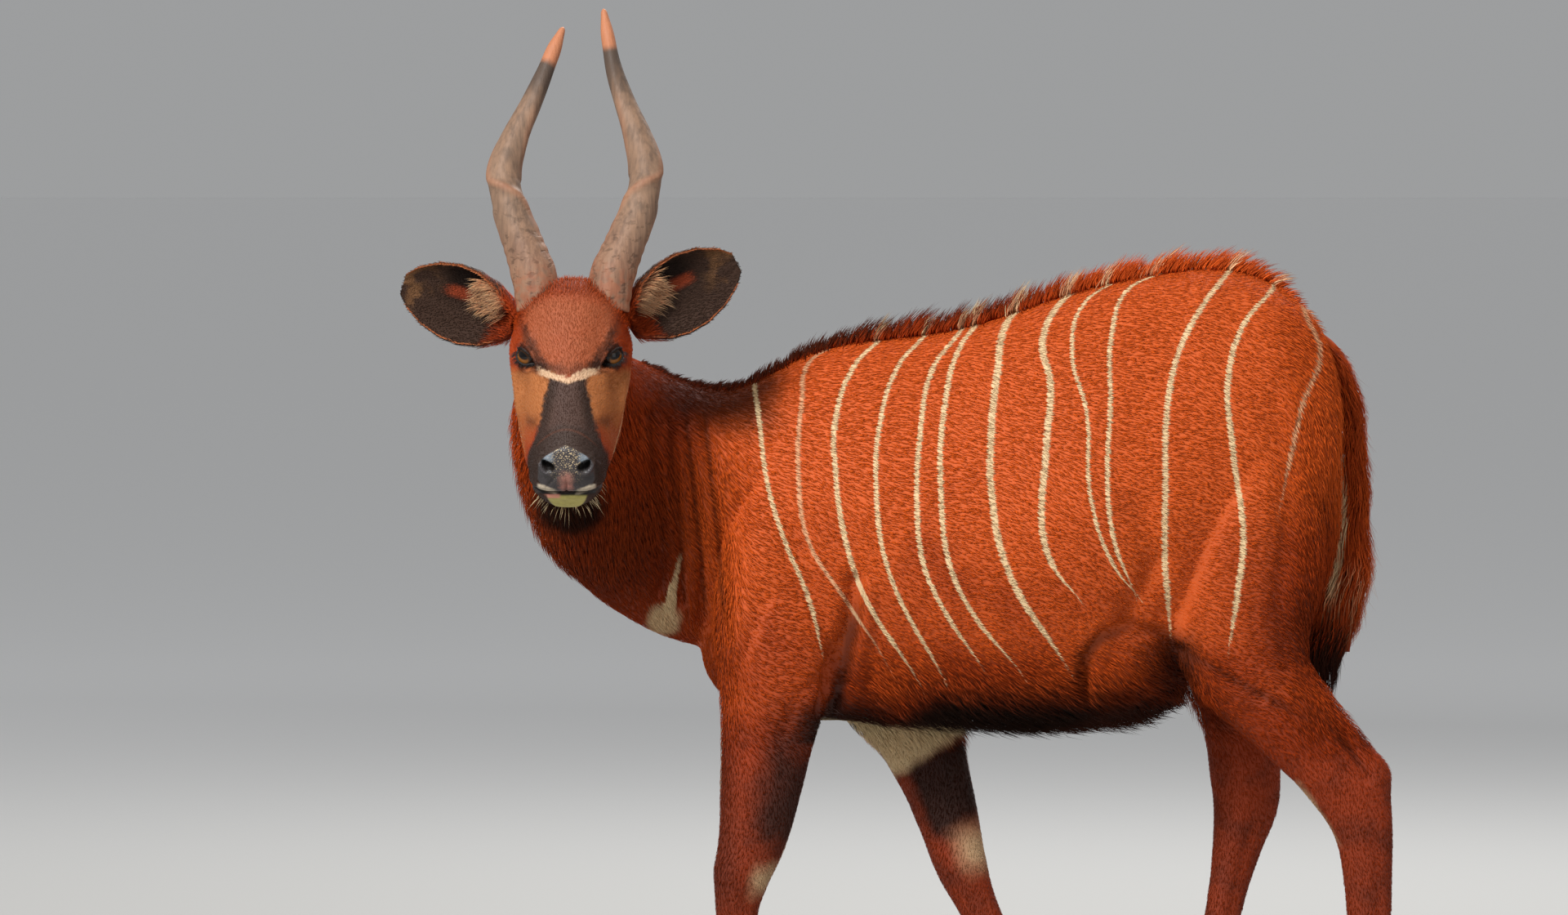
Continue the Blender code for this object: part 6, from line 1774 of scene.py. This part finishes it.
class BONGO_OT_ears(bpy.types.Operator):
    """Two large cupped ears with their fringes and cream tufts"""

    bl_idname = "bongo.ears"
    bl_label = "Make the ears"

    def execute(self, context):
        material = ear_material("bongo_ear", 0.8, 0.8)
        hair = ear_material("bongo_ear_hair", 0.75, 1.35)
        draw = np.random.default_rng(SEEDS["ears"])
        for word, place in EARS.items():
            ear = self.cup(word, place, material)
            self.fringe(context, word, place, draw)
            self.coat(context, ear, word, draw, hair)
        return {"FINISHED"}

    def axes(self, place):
        """Root and length of an ear, and its ways: to the tip, out of the cup and across."""
        root, tip, opens = (np.array(v) for v in place)
        length = np.linalg.norm(tip - root)
        along = (tip - root) / length
        opens = unit(opens - (opens @ along) * along)
        return root, length, along, opens, np.cross(along, opens)

    def wall(self, place, share, angle, shrink):
        """A point of the cup by share of its length, share of the way round, and how deep in the wall."""
        root, length, along, opens, across = self.axes(place)
        half, depth, wrap = ear_section(share)
        turn = angle * wrap
        wide = (half - shrink) * np.sin(turn) / np.sin(np.minimum(wrap, math.pi / 2))
        deep = depth * np.cos(turn) - shrink * np.maximum(np.cos(turn), 0.25)
        point = root + np.multiply.outer(share * length, along) + np.multiply.outer(wide, across)
        return point - np.multiply.outer(deep, opens)

    def cup(self, word, place, material):
        """The cup of an ear, with an outer and an inner wall that meet at the rim."""
        rings, inner, turn, run = [], [], [], []
        around = 40
        angles = np.linspace(-1, 1, around)
        upper = np.sign(self.axes(place)[4][2])
        for share in np.linspace(0.0, 0.975, 60):
            wall = 0.0044 * (1 - 0.45 * share)
            edge = np.abs(angles) ** 6
            outer = self.wall(place, np.full(around, share), angles, 0.0)
            ridges = 0.0007 * np.sin(angles * 14) * (1 - np.abs(angles)) * step_up(share, 0.1, 0.4)
            inside = self.wall(place, np.full(around, share), angles, wall * (1 - 0.55 * edge) + ridges)
            rings.append(np.concatenate([outer, inside[::-1]]))
            inner.append(np.repeat([0.0, 1.0], around))
            turn.append(np.concatenate([angles, angles[::-1]]) * upper)
            run.append(np.full(2 * around, share))
        points, faces = bridge(rings)
        ear = mesh_object(f"ear_cup_{word}", points, faces)
        for mark, values in (("inner", inner), ("turn", turn), ("run", run)):
            set_attribute(ear.data, mark, np.concatenate(values + [[0.0, 0.0]]))
        set_attribute(ear.data, "place", np.array(points))
        return settled(ear, material, [f"ear_{word}"])

    def coat(self, context, ear, word, draw, material):
        """Short dark hair over the outside and inside of the cup, longer at its root."""
        mesh = ear.data
        points = read(mesh.vertices, "co") - (0.0, MIDLINE_Y, 0.0)
        density = np.full(len(points), float(context.scene.bongo_coat.ear_density))
        roots, ways = scattered(mesh, points, read(mesh.vertices, "normal"), density, draw)
        root, length, along, opens, across = self.axes(EARS[word])
        lie = along - np.sum(along * ways, axis=1)[:, None] * ways
        lie = turned(unit(lie), ways, draw.normal(0, 0.22, len(roots)))
        share = (roots - root) @ along / length
        size = 0.0062 * draw.uniform(0.7, 1.2, len(roots)) * (1 - 0.5 * step_up(share, 0.75, 1.0))
        size = (size * (1 + 1.3 * step_up(0.30 - share, 0.0, 0.2)))[:, None]
        middle = roots + lie * size * 0.5 + ways * size * 0.16
        tip = roots + lie * size + ways * size * 0.30
        paths = np.stack([roots - ways * 0.0006, middle, tip], axis=1)
        half, _, wrap = ear_section(share)
        wide, deep = (roots - root) @ across, -(roots - root) @ opens
        angle = np.arcsin(np.clip(wide * np.sin(np.minimum(wrap, math.pi / 2)) / half, -1, 1))
        angle = np.where(deep < 0, np.sign(angle) * math.pi - angle, angle) / wrap
        turn = np.clip(angle * np.sign(across[2]), -1, 1)
        inward = (ways @ opens) > 0.15
        for name, chosen in (("inner", inward), ("outer", ~inward)):
            marks = {"run": share[chosen], "turn": turn[chosen], "inner": inward[chosen].astype(float)}
            hair_piece(
                f"ear_{name}_coat_{word}", material, paths[chosen], ways[chosen], 0.0011, 0.3,
                roots[chosen], laid_out(angle[chosen], share[chosen]), draw, marks=marks)

    def fringe(self, context, word, place, draw):
        """The cream fan at the root, and the pale hair that hangs over the lower rim."""
        c, settings = context.scene.bongo_colours, context.scene.bongo_coat
        _, _, along, opens, across = self.axes(place)
        sign = np.sign(across[2])
        upward = across * sign
        count = settings.ear_fan_hairs
        share = draw.uniform(0.08, 0.34, count)
        angle = sign * draw.uniform(0.00, 0.72, count)
        root = self.wall(place, share, angle, 0.0044)
        fan = draw.uniform(-0.7, 0.5, count) - 0.25
        way = unit(along * 0.9 + opens * 0.30 + fan[:, None] * upward + draw.normal(0, 0.07, (count, 3)))
        size = (0.034 * draw.uniform(0.55, 1.1, count))[:, None]
        lift, hang = opens * 0.004, DOWN * size
        paths = np.stack([
            root - opens * ROOT_DEPTH, root + way * size * 0.35 + lift,
            root + way * size * 0.7 + hang * 0.06 + lift, root + way * size + hang * 0.20,
        ], axis=1)
        cream = plain_hair_material(f"bongo_ear_fan_{word}", c.hide_deep, c.ear_fan, 0.8)
        hair_piece(
            f"ear_fan_{word}", cream, paths, opens, 0.0010, 0.35, root, laid_out(angle, share), draw)
        count = settings.ear_fringe_hairs
        share = draw.uniform(0.10, 0.90, count)
        side = np.where(draw.random(count) < 0.62, sign, -sign)
        angle = side * draw.uniform(0.93, 0.99, count)
        root = self.wall(place, share, angle, 0.0022)
        outward = unit(self.wall(place, share, angle, 0.0) - self.wall(place, share, angle * 0.85, 0.0))
        way = unit(along * 0.75 + opens * 0.55 - outward * 0.25 + draw.normal(0, 0.12, (count, 3)))
        size = (0.0075 * draw.uniform(0.5, 1.2, count) * (1 - 0.4 * share))[:, None]
        pale = plain_hair_material(f"bongo_ear_fringe_{word}", c.hide_deep, c.cheek, 0.8)
        hair_piece(
            f"ear_fringe_{word}", pale, hair_paths(root, way, size), opens, 0.0007, 0.4, root,
            laid_out(angle, share), draw)


class BONGO_OT_hooves(bpy.types.Operator):
    """Eight claws of horn with growth rings, two to a foot"""

    bl_idname = "bongo.hooves"
    bl_label = "Make the hooves"

    def execute(self, context):
        material = hoof_material()
        for foot in FEET:
            for side in (1, -1):
                outward = (side == 1) == foot.endswith("left")
                self.claw(foot, side, "outer" if outward else "inner", material)
        return {"FINISHED"}

    def claw(self, foot, side, word, material):
        """One claw from its flat sole up to the slanting coronet."""
        x, y, turn = FEET[foot]
        toe = np.array((-math.cos(math.radians(turn)), math.sin(math.radians(turn)), 0.0))
        left = np.array((-toe[1], toe[0], 0.0))
        floor = np.array((x, y, 0.0))
        rows = np.array(CLAW_SECTIONS)
        turns = np.linspace(0, 2 * math.pi, 40, endpoint=False)
        ahead = np.cos(turns)
        rings = []
        for height in np.linspace(0.0, CORONET_HEIGHT, 34):
            front, back, half = (np.interp(height, rows[:, 0], rows[:, i]) for i in (1, 2, 3))
            edge = 1 - 0.035 * bump(height, 0.0022)
            ripple = 1 + 0.010 * math.sin(height * 900) * (height > 0.003)
            reach = ahead * np.where(ahead > 0, front, back) * edge * ripple
            across = np.sin(turns) * half * (1 - 0.55 * np.maximum(ahead, 0) ** 2) * edge
            aside = side * CLAW_ASIDE + across - side * 0.004 * np.maximum(ahead, 0)
            points = floor + reach[:, None] * toe + aside[:, None] * left
            points[:, 2] = height + height / CORONET_HEIGHT * CORONET_SLOPE * reach
            rings.append(points)
        points, faces = bridge(rings)
        hoof = mesh_object(f"claw_{foot}_{word}", points, faces)
        set_attribute(hoof.data, "place", np.array(points))
        settled(hoof, material, [f"hoof_{foot}_{word}"])


class BONGO_OT_coat(bpy.types.Operator):
    """Short tufts that lie over the whole skin, in one piece for each region"""

    bl_idname = "bongo.coat"
    bl_label = "Make the coat"

    def execute(self, context):
        settings = context.scene.bongo_coat
        draw = np.random.default_rng(SEEDS["coat"])
        material = coat_material()
        roots, ways = self.planted(settings, draw)
        share = region_shares(roots)
        lie = turned(coat_lie(roots, ways), ways, draw.normal(0, 0.07, len(roots)))
        length, stand = self.growth(settings, roots, share, draw)
        tall = length[:, None] * ways
        root = roots - ways * np.minimum(ROOT_DEPTH, 0.25 * length)[:, None]
        middle = roots + lie * (length * 0.45)[:, None] + tall * (stand * 0.75)[:, None]
        tip = roots + lie * length[:, None] + tall * stand[:, None]
        paths = np.stack([root, middle, tip], axis=1)
        widths = blend(settings.trunk_width, settings.trunk_width * 0.62, share["leg"])
        widths = blend(widths, settings.trunk_width * 0.48, share["head"])
        widths = widths * draw.uniform(0.7, 1.25, len(roots)) * 1.0
        for name, chosen, spread, slot in self.regions(roots, share):
            hair_piece(
                name, material, paths[chosen], ways[chosen], widths[chosen], 0.30, roots[chosen],
                spread, draw, follow=0.7)
        return {"FINISHED"}

    def planted(self, settings, draw):
        """Where the tufts stand on skin and lids, and the way out of the skin there."""
        points = Bench.skin_points
        share = region_shares(points)
        bare = bare_skin(points)
        growth = 1 + 0.10 * share["neck"] + 0.25 * share["leg"] + 1.2 * share["head"] + 1.2 * share["muzzle"]
        keep = (1 - step_up(bare, 0.2, 0.6)) * self.clear_of_eyes(points) * (points[:, 2] > CORONET_HEIGHT)
        thin = 1.0
        density = settings.density * growth * keep * thin
        roots, ways = scattered(Bench.skin.data, points, Bench.skin_normals, density, draw)
        for mesh, points, normals, bare in Bench.lids:
            upper_face = np.arange(len(points)) < len(points) // 2
            density = settings.density * 2.6 * thin * (1 - bare) * upper_face
            more, facing = scattered(mesh, points, normals, density, draw)
            roots, ways = np.concatenate([roots, more]), np.concatenate([ways, facing])
        return roots, ways

    def growth(self, settings, roots, share, draw):
        """How long each tuft is, and how far it stands off the skin as a share of that."""
        horn_root = np.zeros(len(roots))
        for rows in HORNS.values():
            near = 0.052 - np.linalg.norm(roots - rows[0][:3], axis=1)
            horn_root = np.maximum(horn_root, step_up(near, 0.0, 0.014))
        trunk, neck, face = settings.trunk_length, settings.neck_length, settings.face_length
        length = np.full(len(roots), trunk)
        for size, part in (
            (neck, share["neck"]),
            (trunk * 2.1, np.maximum(share["belly"], share["rump"] * 0.9)),
            (settings.leg_length, share["leg"]),
            (face, share["head"]),
            (face * 0.5, share["muzzle"] * (1 - share["beard"])),
            (face * 2.0, np.maximum(share["crown"], horn_root * 0.8)),
            (face * 2.8, share["beard"]),
            (neck * 1.6, share["ruff"]),
        ):
            length = blend(length, size, part)
        length *= draw.uniform(0.65, 1.25, len(roots))
        length *= 1 - 0.45 * step_up(0.16 - roots[:, 2], 0.0, 0.10)
        length *= 1 + 0.5 * share["belly"] * draw.uniform(0, 1, len(roots))
        stand = 0.09 + 0.30 * horn_root + sum(rise * share[part] for part, rise in COAT_STAND.items())
        return length, stand * draw.uniform(0.5, 1.4, len(roots))

    def clear_of_eyes(self, points):
        """1 where hair may grow, and 0 over the eyes and inside the nostrils."""
        clear = np.ones(len(points))
        for side in (1, -1):
            _, _, w, share = eye_view(points, side)
            clear *= np.where(w > -0.002, step_up(share, 1.9, 2.2), 1.0)
        open_nose = (nostril_share(points) < 1.3) & (head_coordinates(points)[0] > 0.17)
        return clear * (1 - open_nose)

    def regions(self, roots, share):
        """Name, roots, unwrap and slot of each piece of coat. Each wraps round its own part of the body."""
        x, y, z = roots.T
        along, aside, above = head_coordinates(roots)
        head = share["head"] > 0.5
        neck = ~head & (share["neck"] > 0.5)
        leg = ~head & ~neck & (share["leg"] > 0.35) & (np.abs(y) > 0.03)
        trunk = ~head & ~neck & ~leg
        round_trunk = np.arctan2(np.abs(y), z - TRUNK_MIDDLE)
        front, behind = x < SHOULDER_END, x >= HAUNCH_START
        for word, side in (("left", y < 0), ("right", y >= 0)):
            for part, span in (("shoulder", front), ("ribs", ~front & ~behind), ("haunch", behind)):
                chosen = trunk & side & span
                yield f"coat_{part}_{word}", chosen, laid_out(x[chosen], round_trunk[chosen]), "hide"
            chosen = leg & side
            turn = np.zeros(len(roots))
            for number, foot in enumerate(("fore_" + word, "hind_" + word)):
                middle_x, middle_y = leg_axis(foot, z)[:2]
                mine = ~behind if number == 0 else behind
                turn = np.where(mine, np.arctan2(y - middle_y, x - middle_x) + 7.0 * number, turn)
            yield f"coat_legs_{word}", chosen, laid_out(turn[chosen], z[chosen]), "leg_hide"
        centre = np.interp(z, (0.85, 1.07), (0.0, -0.20))
        turn = np.arctan2(y - centre, x - NECK_MIDDLE)
        for word, chosen in (("left", neck & (x > NECK_MIDDLE)), ("right", neck & (x <= NECK_MIDDLE))):
            yield f"coat_neck_{word}", chosen, laid_out(turn[chosen], z[chosen]), "hide"
        turn = np.arctan2(aside, above + 0.03)
        yield "coat_head", head, laid_out(turn[head], along[head]), "face"


class BONGO_OT_mane(bpy.types.Operator):
    """Bristly mane along the crest and back, leaning backward"""

    bl_idname = "bongo.mane"
    bl_label = "Make the mane"

    def execute(self, context):
        settings = context.scene.bongo_coat
        draw = np.random.default_rng(SEEDS["mane"])
        order = np.argsort(column(NECK, 0))
        crest_x, crest_y = column(NECK, 0)[order], column(NECK, 1)[order]
        places, ways = [], []
        for x in np.sort(draw.uniform(*MANE_SPAN, settings.mane_locks)):
            y = np.interp(x, crest_x, crest_y) + draw.normal(0, 0.0095)
            hit, normal, _, _ = Bench.skin_tree.ray_cast(Vector((x, y, 1.5)), Vector((0, 0, -1)))
            if hit:
                places.append(hit)
                ways.append(normal)
        places, ways = np.array(places), np.array(ways)
        count = len(places)
        tall = np.interp(places[:, 0], column(MANE, 0), column(MANE, 1))
        x = places[:, 0]
        clump = 0.16 * np.sin(x * 310 + 2 * np.sin(x * 97)) + 0.10 * np.sin(x * 83)
        tall = (tall * draw.uniform(0.45, 1.20, count) * (1 + clump))[:, None]
        back = unit(np.array((1.0, 0.0, 0.0)) - ways[:, :1] * ways)
        lean = (0.62 + 0.40 * clump + draw.normal(0, 0.16, count))[:, None]
        aside = np.zeros((count, 3))
        aside[:, 1] = draw.normal(0, 0.16, count)
        paths = [places - ways * 0.004]
        for share, bend in ((0.25, 0.55), (0.60, 0.80), (1.0, 1.05)):
            way = ways * (1 - 0.12 * share) + back * lean * bend + aside * share
            paths.append(places + way * tall * share)
        widths = 0.0019 * draw.uniform(0.6, 1.2, count)
        hair_piece(
            "mane", self.material(), np.stack(paths, axis=1), (0.0, -1.0, 0.0), widths, 0.30, places,
            laid_out(places[:, 0], places[:, 1]), draw, narrow=0.5)
        return {"FINISHED"}

    def material(self):
        """Mane that is black-brown over the shoulders, redder behind and white where a stripe crosses."""
        c = bpy.context.scene.bongo_colours
        paint = Paint("bongo_mane", 0.65, 0.08)
        place = paint.place()
        strand, tip = paint.marks("strand", "tip")
        x, y, z = paint.split(place)
        colour = paint.blend(c.hide_deep, c.hide, x.step(0.10, 0.42) * (0.35 + strand * 0.5))
        front = x.step(0.02, -0.14) * 0.45
        dark = (tip * (1.1 - x.step(0.12, 0.40)) + front + (strand - 0.5) * 0.5).step(0.45, 1.05)
        colour = paint.blend(colour, c.hide_dark, dark * 0.88)
        white = stripe_mask(paint, x, y, z, paint.noise(place, 60.0, 1.0)) * x.step(-0.12, 0.02)
        colour = paint.blend(colour, c.cream, white * (strand + 0.2) * 0.62)
        paint.set("Base Color", paint.shade(colour, 0.75 + strand * 0.40))
        return paint.material


class BONGO_OT_tail(bpy.types.Operator):
    """Hanging tail with a pale streak and a black tuft at its end"""

    bl_idname = "bongo.tail"
    bl_label = "Make the tail"

    def execute(self, context):
        settings = context.scene.bongo_coat
        draw = np.random.default_rng(SEEDS["tail"])
        core_rows = np.array(TAIL[:8]) * (1, 1, 1, TAIL_CORE, TAIL_CORE, TAIL_CORE)
        points, faces = loft(core_rows, (-1, 0, 0), count=90, around=30)
        core = mesh_object("tail_core", points, faces)
        set_attribute(core.data, "place", np.array(points))
        material = self.material()
        set_attribute(core.data, "strand", np.full(len(points), 0.5))
        set_attribute(core.data, "tip", np.full(len(points), 0.3))
        settled(core, material, ["tail"])
        self.hairs(settings.tail_hairs, draw, material)
        return {"FINISHED"}

    def hairs(self, count, draw, material):
        """Long hairs that follow the tail and hang free at its end."""
        rows = through(TAIL, 200)
        step = np.linalg.norm(rows[1, :3] - rows[0, :3])
        share = draw.beta(1.5, 1.0, count) * 0.80
        turn = draw.uniform(0, 2 * math.pi, count)
        out = np.stack([np.cos(turn), np.sin(turn), np.zeros(count)], axis=1)
        size = blend(0.040, 0.105, step_up(share, 0.10, 0.60)) * draw.uniform(0.75, 1.15, count)
        path = []
        for part in (0.0, 0.25, 0.50, 0.75, 1.0):
            index = share * (len(rows) - 1) + part * size / step
            row = rows[np.clip(index, 0, len(rows) - 1).astype(int)]
            spare = np.maximum(index - (len(rows) - 1), 0.0) * step
            loose = 0.62 + 0.55 * part * draw.uniform(0.5, 1.1, count)
            bushy = 1 + 0.55 * bump(row[:, 2] - 0.70, 0.09)
            loose = loose * bushy * np.where(part > 0.9, draw.uniform(0.55, 1.15, count), 1.0)
            point = row[:, :3] + out * (row[:, 3] * loose)[:, None]
            point[:, 0] -= 0.004 + 0.018 * (1 - step_up(point[:, 2], 0.60, 0.76))
            point += 0.004 * part * np.sin(9 * part + 40 * share[:, None] + np.array((0.0, 1.6, 3.1)))
            point[:, 2] -= spare * 0.4
            path.append(point)
        widths = 0.0020 * draw.uniform(0.6, 1.2, count)
        hair_piece(
            "tail_hair", material, np.stack(path, axis=1), out, widths, 0.35, path[0],
            laid_out(turn, share), draw, narrow=0.5, follow=1.0)

    def material(self):
        """Red-brown tail, cream on its left edge towards the haunch and black at the end."""
        c = bpy.context.scene.bongo_colours
        paint = Paint("bongo_tail", 0.65, 0.08)
        strand, tip = paint.marks("strand", "tip")
        x, _, z = paint.split(paint.place())
        colour = paint.blend(c.hide_deep, c.hide, strand * 0.7)
        middle = 0.660 - (z - 0.86).most(0.0) * 0.15 - (0.80 - z).most(0.0) * 0.16
        streak = abs(x - middle + (strand - 0.5) * 0.010).step(0.009, 0.003) * z.band(0.70, 0.96, 0.02)
        wisps = (strand - 0.70).step(0.0, 0.10) * z.band(0.62, 0.74, 0.03) * tip
        colour = paint.blend(colour, c.cream, (streak * 0.75).most(wisps * 0.45))
        low = (0.655 - z + (strand - 0.5) * 0.08).step(-0.02, 0.03) * x.step(0.690, 0.660)
        colour = paint.blend(colour, c.hide_dark, low * 0.95)
        paint.set("Base Color", paint.shade(colour, 0.66 + tip * 0.18 + strand * 0.28))
        return paint.material


class BONGO_OT_whiskers(bpy.types.Operator):
    """Pale bristles that fan out under the chin and beside the lips"""

    bl_idname = "bongo.whiskers"
    bl_label = "Make the whiskers"

    def execute(self, context):
        c = context.scene.bongo_colours
        draw = np.random.default_rng(SEEDS["whiskers"])
        roots, ways = [], []
        while len(roots) < context.scene.bongo_coat.whiskers:
            aside = draw.uniform(-0.040, 0.040)
            along = draw.uniform(0.150, 0.232)
            start = head_place(along, aside, -0.16)
            hit, normal, _, _ = Bench.skin_tree.ray_cast(Vector(start), Vector(UPWARD))
            if hit:
                roots.append(hit)
                way = np.array(normal) * 0.7 + FORWARD * 0.7 + LEFTWARD * aside * 24
                ways.append(unit(way + draw.normal(0, 0.16, 3)))
        roots, ways = np.array(roots), np.array(ways)
        size = (0.026 * draw.uniform(0.35, 1.2, len(roots)))[:, None]
        material = plain_hair_material("bongo_whisker", c.cream, c.cream, 0.2)
        paths = hair_paths(roots, ways, size, DOWN * size * 0.18)
        hair_piece(
            "whiskers", material, paths, UPWARD, 0.00055, 0.6, roots,
            laid_out(roots[:, 0], roots[:, 1]), draw)
        return {"FINISHED"}


class BONGO_OT_stage(bpy.types.Operator):
    """Pale floor, soft studio light and the camera"""

    bl_idname = "bongo.stage"
    bl_label = "Set the stage"

    def execute(self, context):
        settings = context.scene.bongo_stage
        camera_data = bpy.data.cameras.new("camera")
        camera_data.lens = CAMERA_LENS
        camera_data.sensor_width = CAMERA_SENSOR
        camera_data.clip_end = 200.0
        camera = bpy.data.objects.new("camera", camera_data)
        camera.location = CAMERA_PLACE
        camera.rotation_euler = (CAMERA_TILT, 0.0, 0.0)
        context.scene.collection.objects.link(camera)
        context.scene.camera = camera
        bpy.ops.mesh.primitive_plane_add(size=360.0, location=(0.0, 0.0, 0.0))
        floor = context.active_object
        floor.name = "floor"
        paint = Paint("floor", 0.75, 0.2)
        place = paint.node("ShaderNodeNewGeometry").outputs["Position"]
        # The floor turns nearly white far off: painted light where the lamps hardly reach.
        far = paint.near(place, (0.0, 0.0, 0.0)).step(2.0, 11.0)
        paint.set("Base Color", paint.blend(settings.floor, settings.far_floor_painted_light, far))
        floor.data.materials.append(paint.material)
        floor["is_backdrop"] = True
        world = bpy.data.worlds.new("studio")
        world.use_nodes = True
        background = world.node_tree.nodes["Background"]
        background.inputs["Color"].default_value = (*settings.backdrop, 1.0)
        background.inputs["Strength"].default_value = settings.backdrop_strength
        context.scene.world = world
        context.scene.view_settings.view_transform = "Standard"
        for name, power, size, place in (
            ("key", settings.key_power, 1.8, (-2.8, -4.6, 5.2)),
            ("fill", settings.fill_power, 3.5, (4.0, -4.5, 2.0)),
            ("rim", settings.rim_power, 2.5, (1.0, 3.5, 4.5)),
        ):
            light = bpy.data.lights.new(name, "AREA")
            light.energy = power
            light.size = size
            lamp = bpy.data.objects.new(name, light)
            lamp.location = place
            towards = Vector(LIGHT_TARGET) - Vector(place)
            lamp.rotation_euler = towards.to_track_quat("-Z", "Y").to_euler()
            context.scene.collection.objects.link(lamp)
        return {"FINISHED"}


class BONGO_PT_panel(bpy.types.Panel):
    """Buttons for every piece, with the settings they read"""

    bl_idname = "BONGO_PT_panel"
    bl_label = "Bongo Antelope"
    bl_space_type = "VIEW_3D"
    bl_region_type = "UI"
    bl_category = "Bongo"

    def draw(self, context):
        for operator in OPERATORS:
            self.layout.operator(operator.bl_idname)
        for group in SETTINGS:
            box = self.layout.box()
            box.label(text=group.removeprefix("bongo_").capitalize())
            values = getattr(context.scene, group)
            for name in values.__annotations__:
                box.prop(values, name)


SETTINGS = {
    "bongo_skin": BongoSkinSettings,
    "bongo_coat": BongoCoatSettings,
    "bongo_colours": BongoColourSettings,
    "bongo_stage": BongoStageSettings,
}
OPERATORS = (
    BONGO_OT_stage,
    BONGO_OT_skin,
    BONGO_OT_eyes,
    BONGO_OT_horns,
    BONGO_OT_ears,
    BONGO_OT_hooves,
    BONGO_OT_coat,
    BONGO_OT_mane,
    BONGO_OT_tail,
    BONGO_OT_whiskers,
)


def register():
    for name, group in SETTINGS.items():
        bpy.utils.register_class(group)
        setattr(bpy.types.Scene, name, PointerProperty(type=group))
    for item in (*OPERATORS, BONGO_PT_panel):
        bpy.utils.register_class(item)


def unregister():
    for item in (BONGO_PT_panel, *reversed(OPERATORS)):
        bpy.utils.unregister_class(item)
    for name, group in reversed(SETTINGS.items()):
        delattr(bpy.types.Scene, name)
        bpy.utils.unregister_class(group)


def main():
    register()
    for operator in OPERATORS:
        group, name = operator.bl_idname.split(".")
        getattr(getattr(bpy.ops, group), name)()


if __name__ == "__main__":
    main()
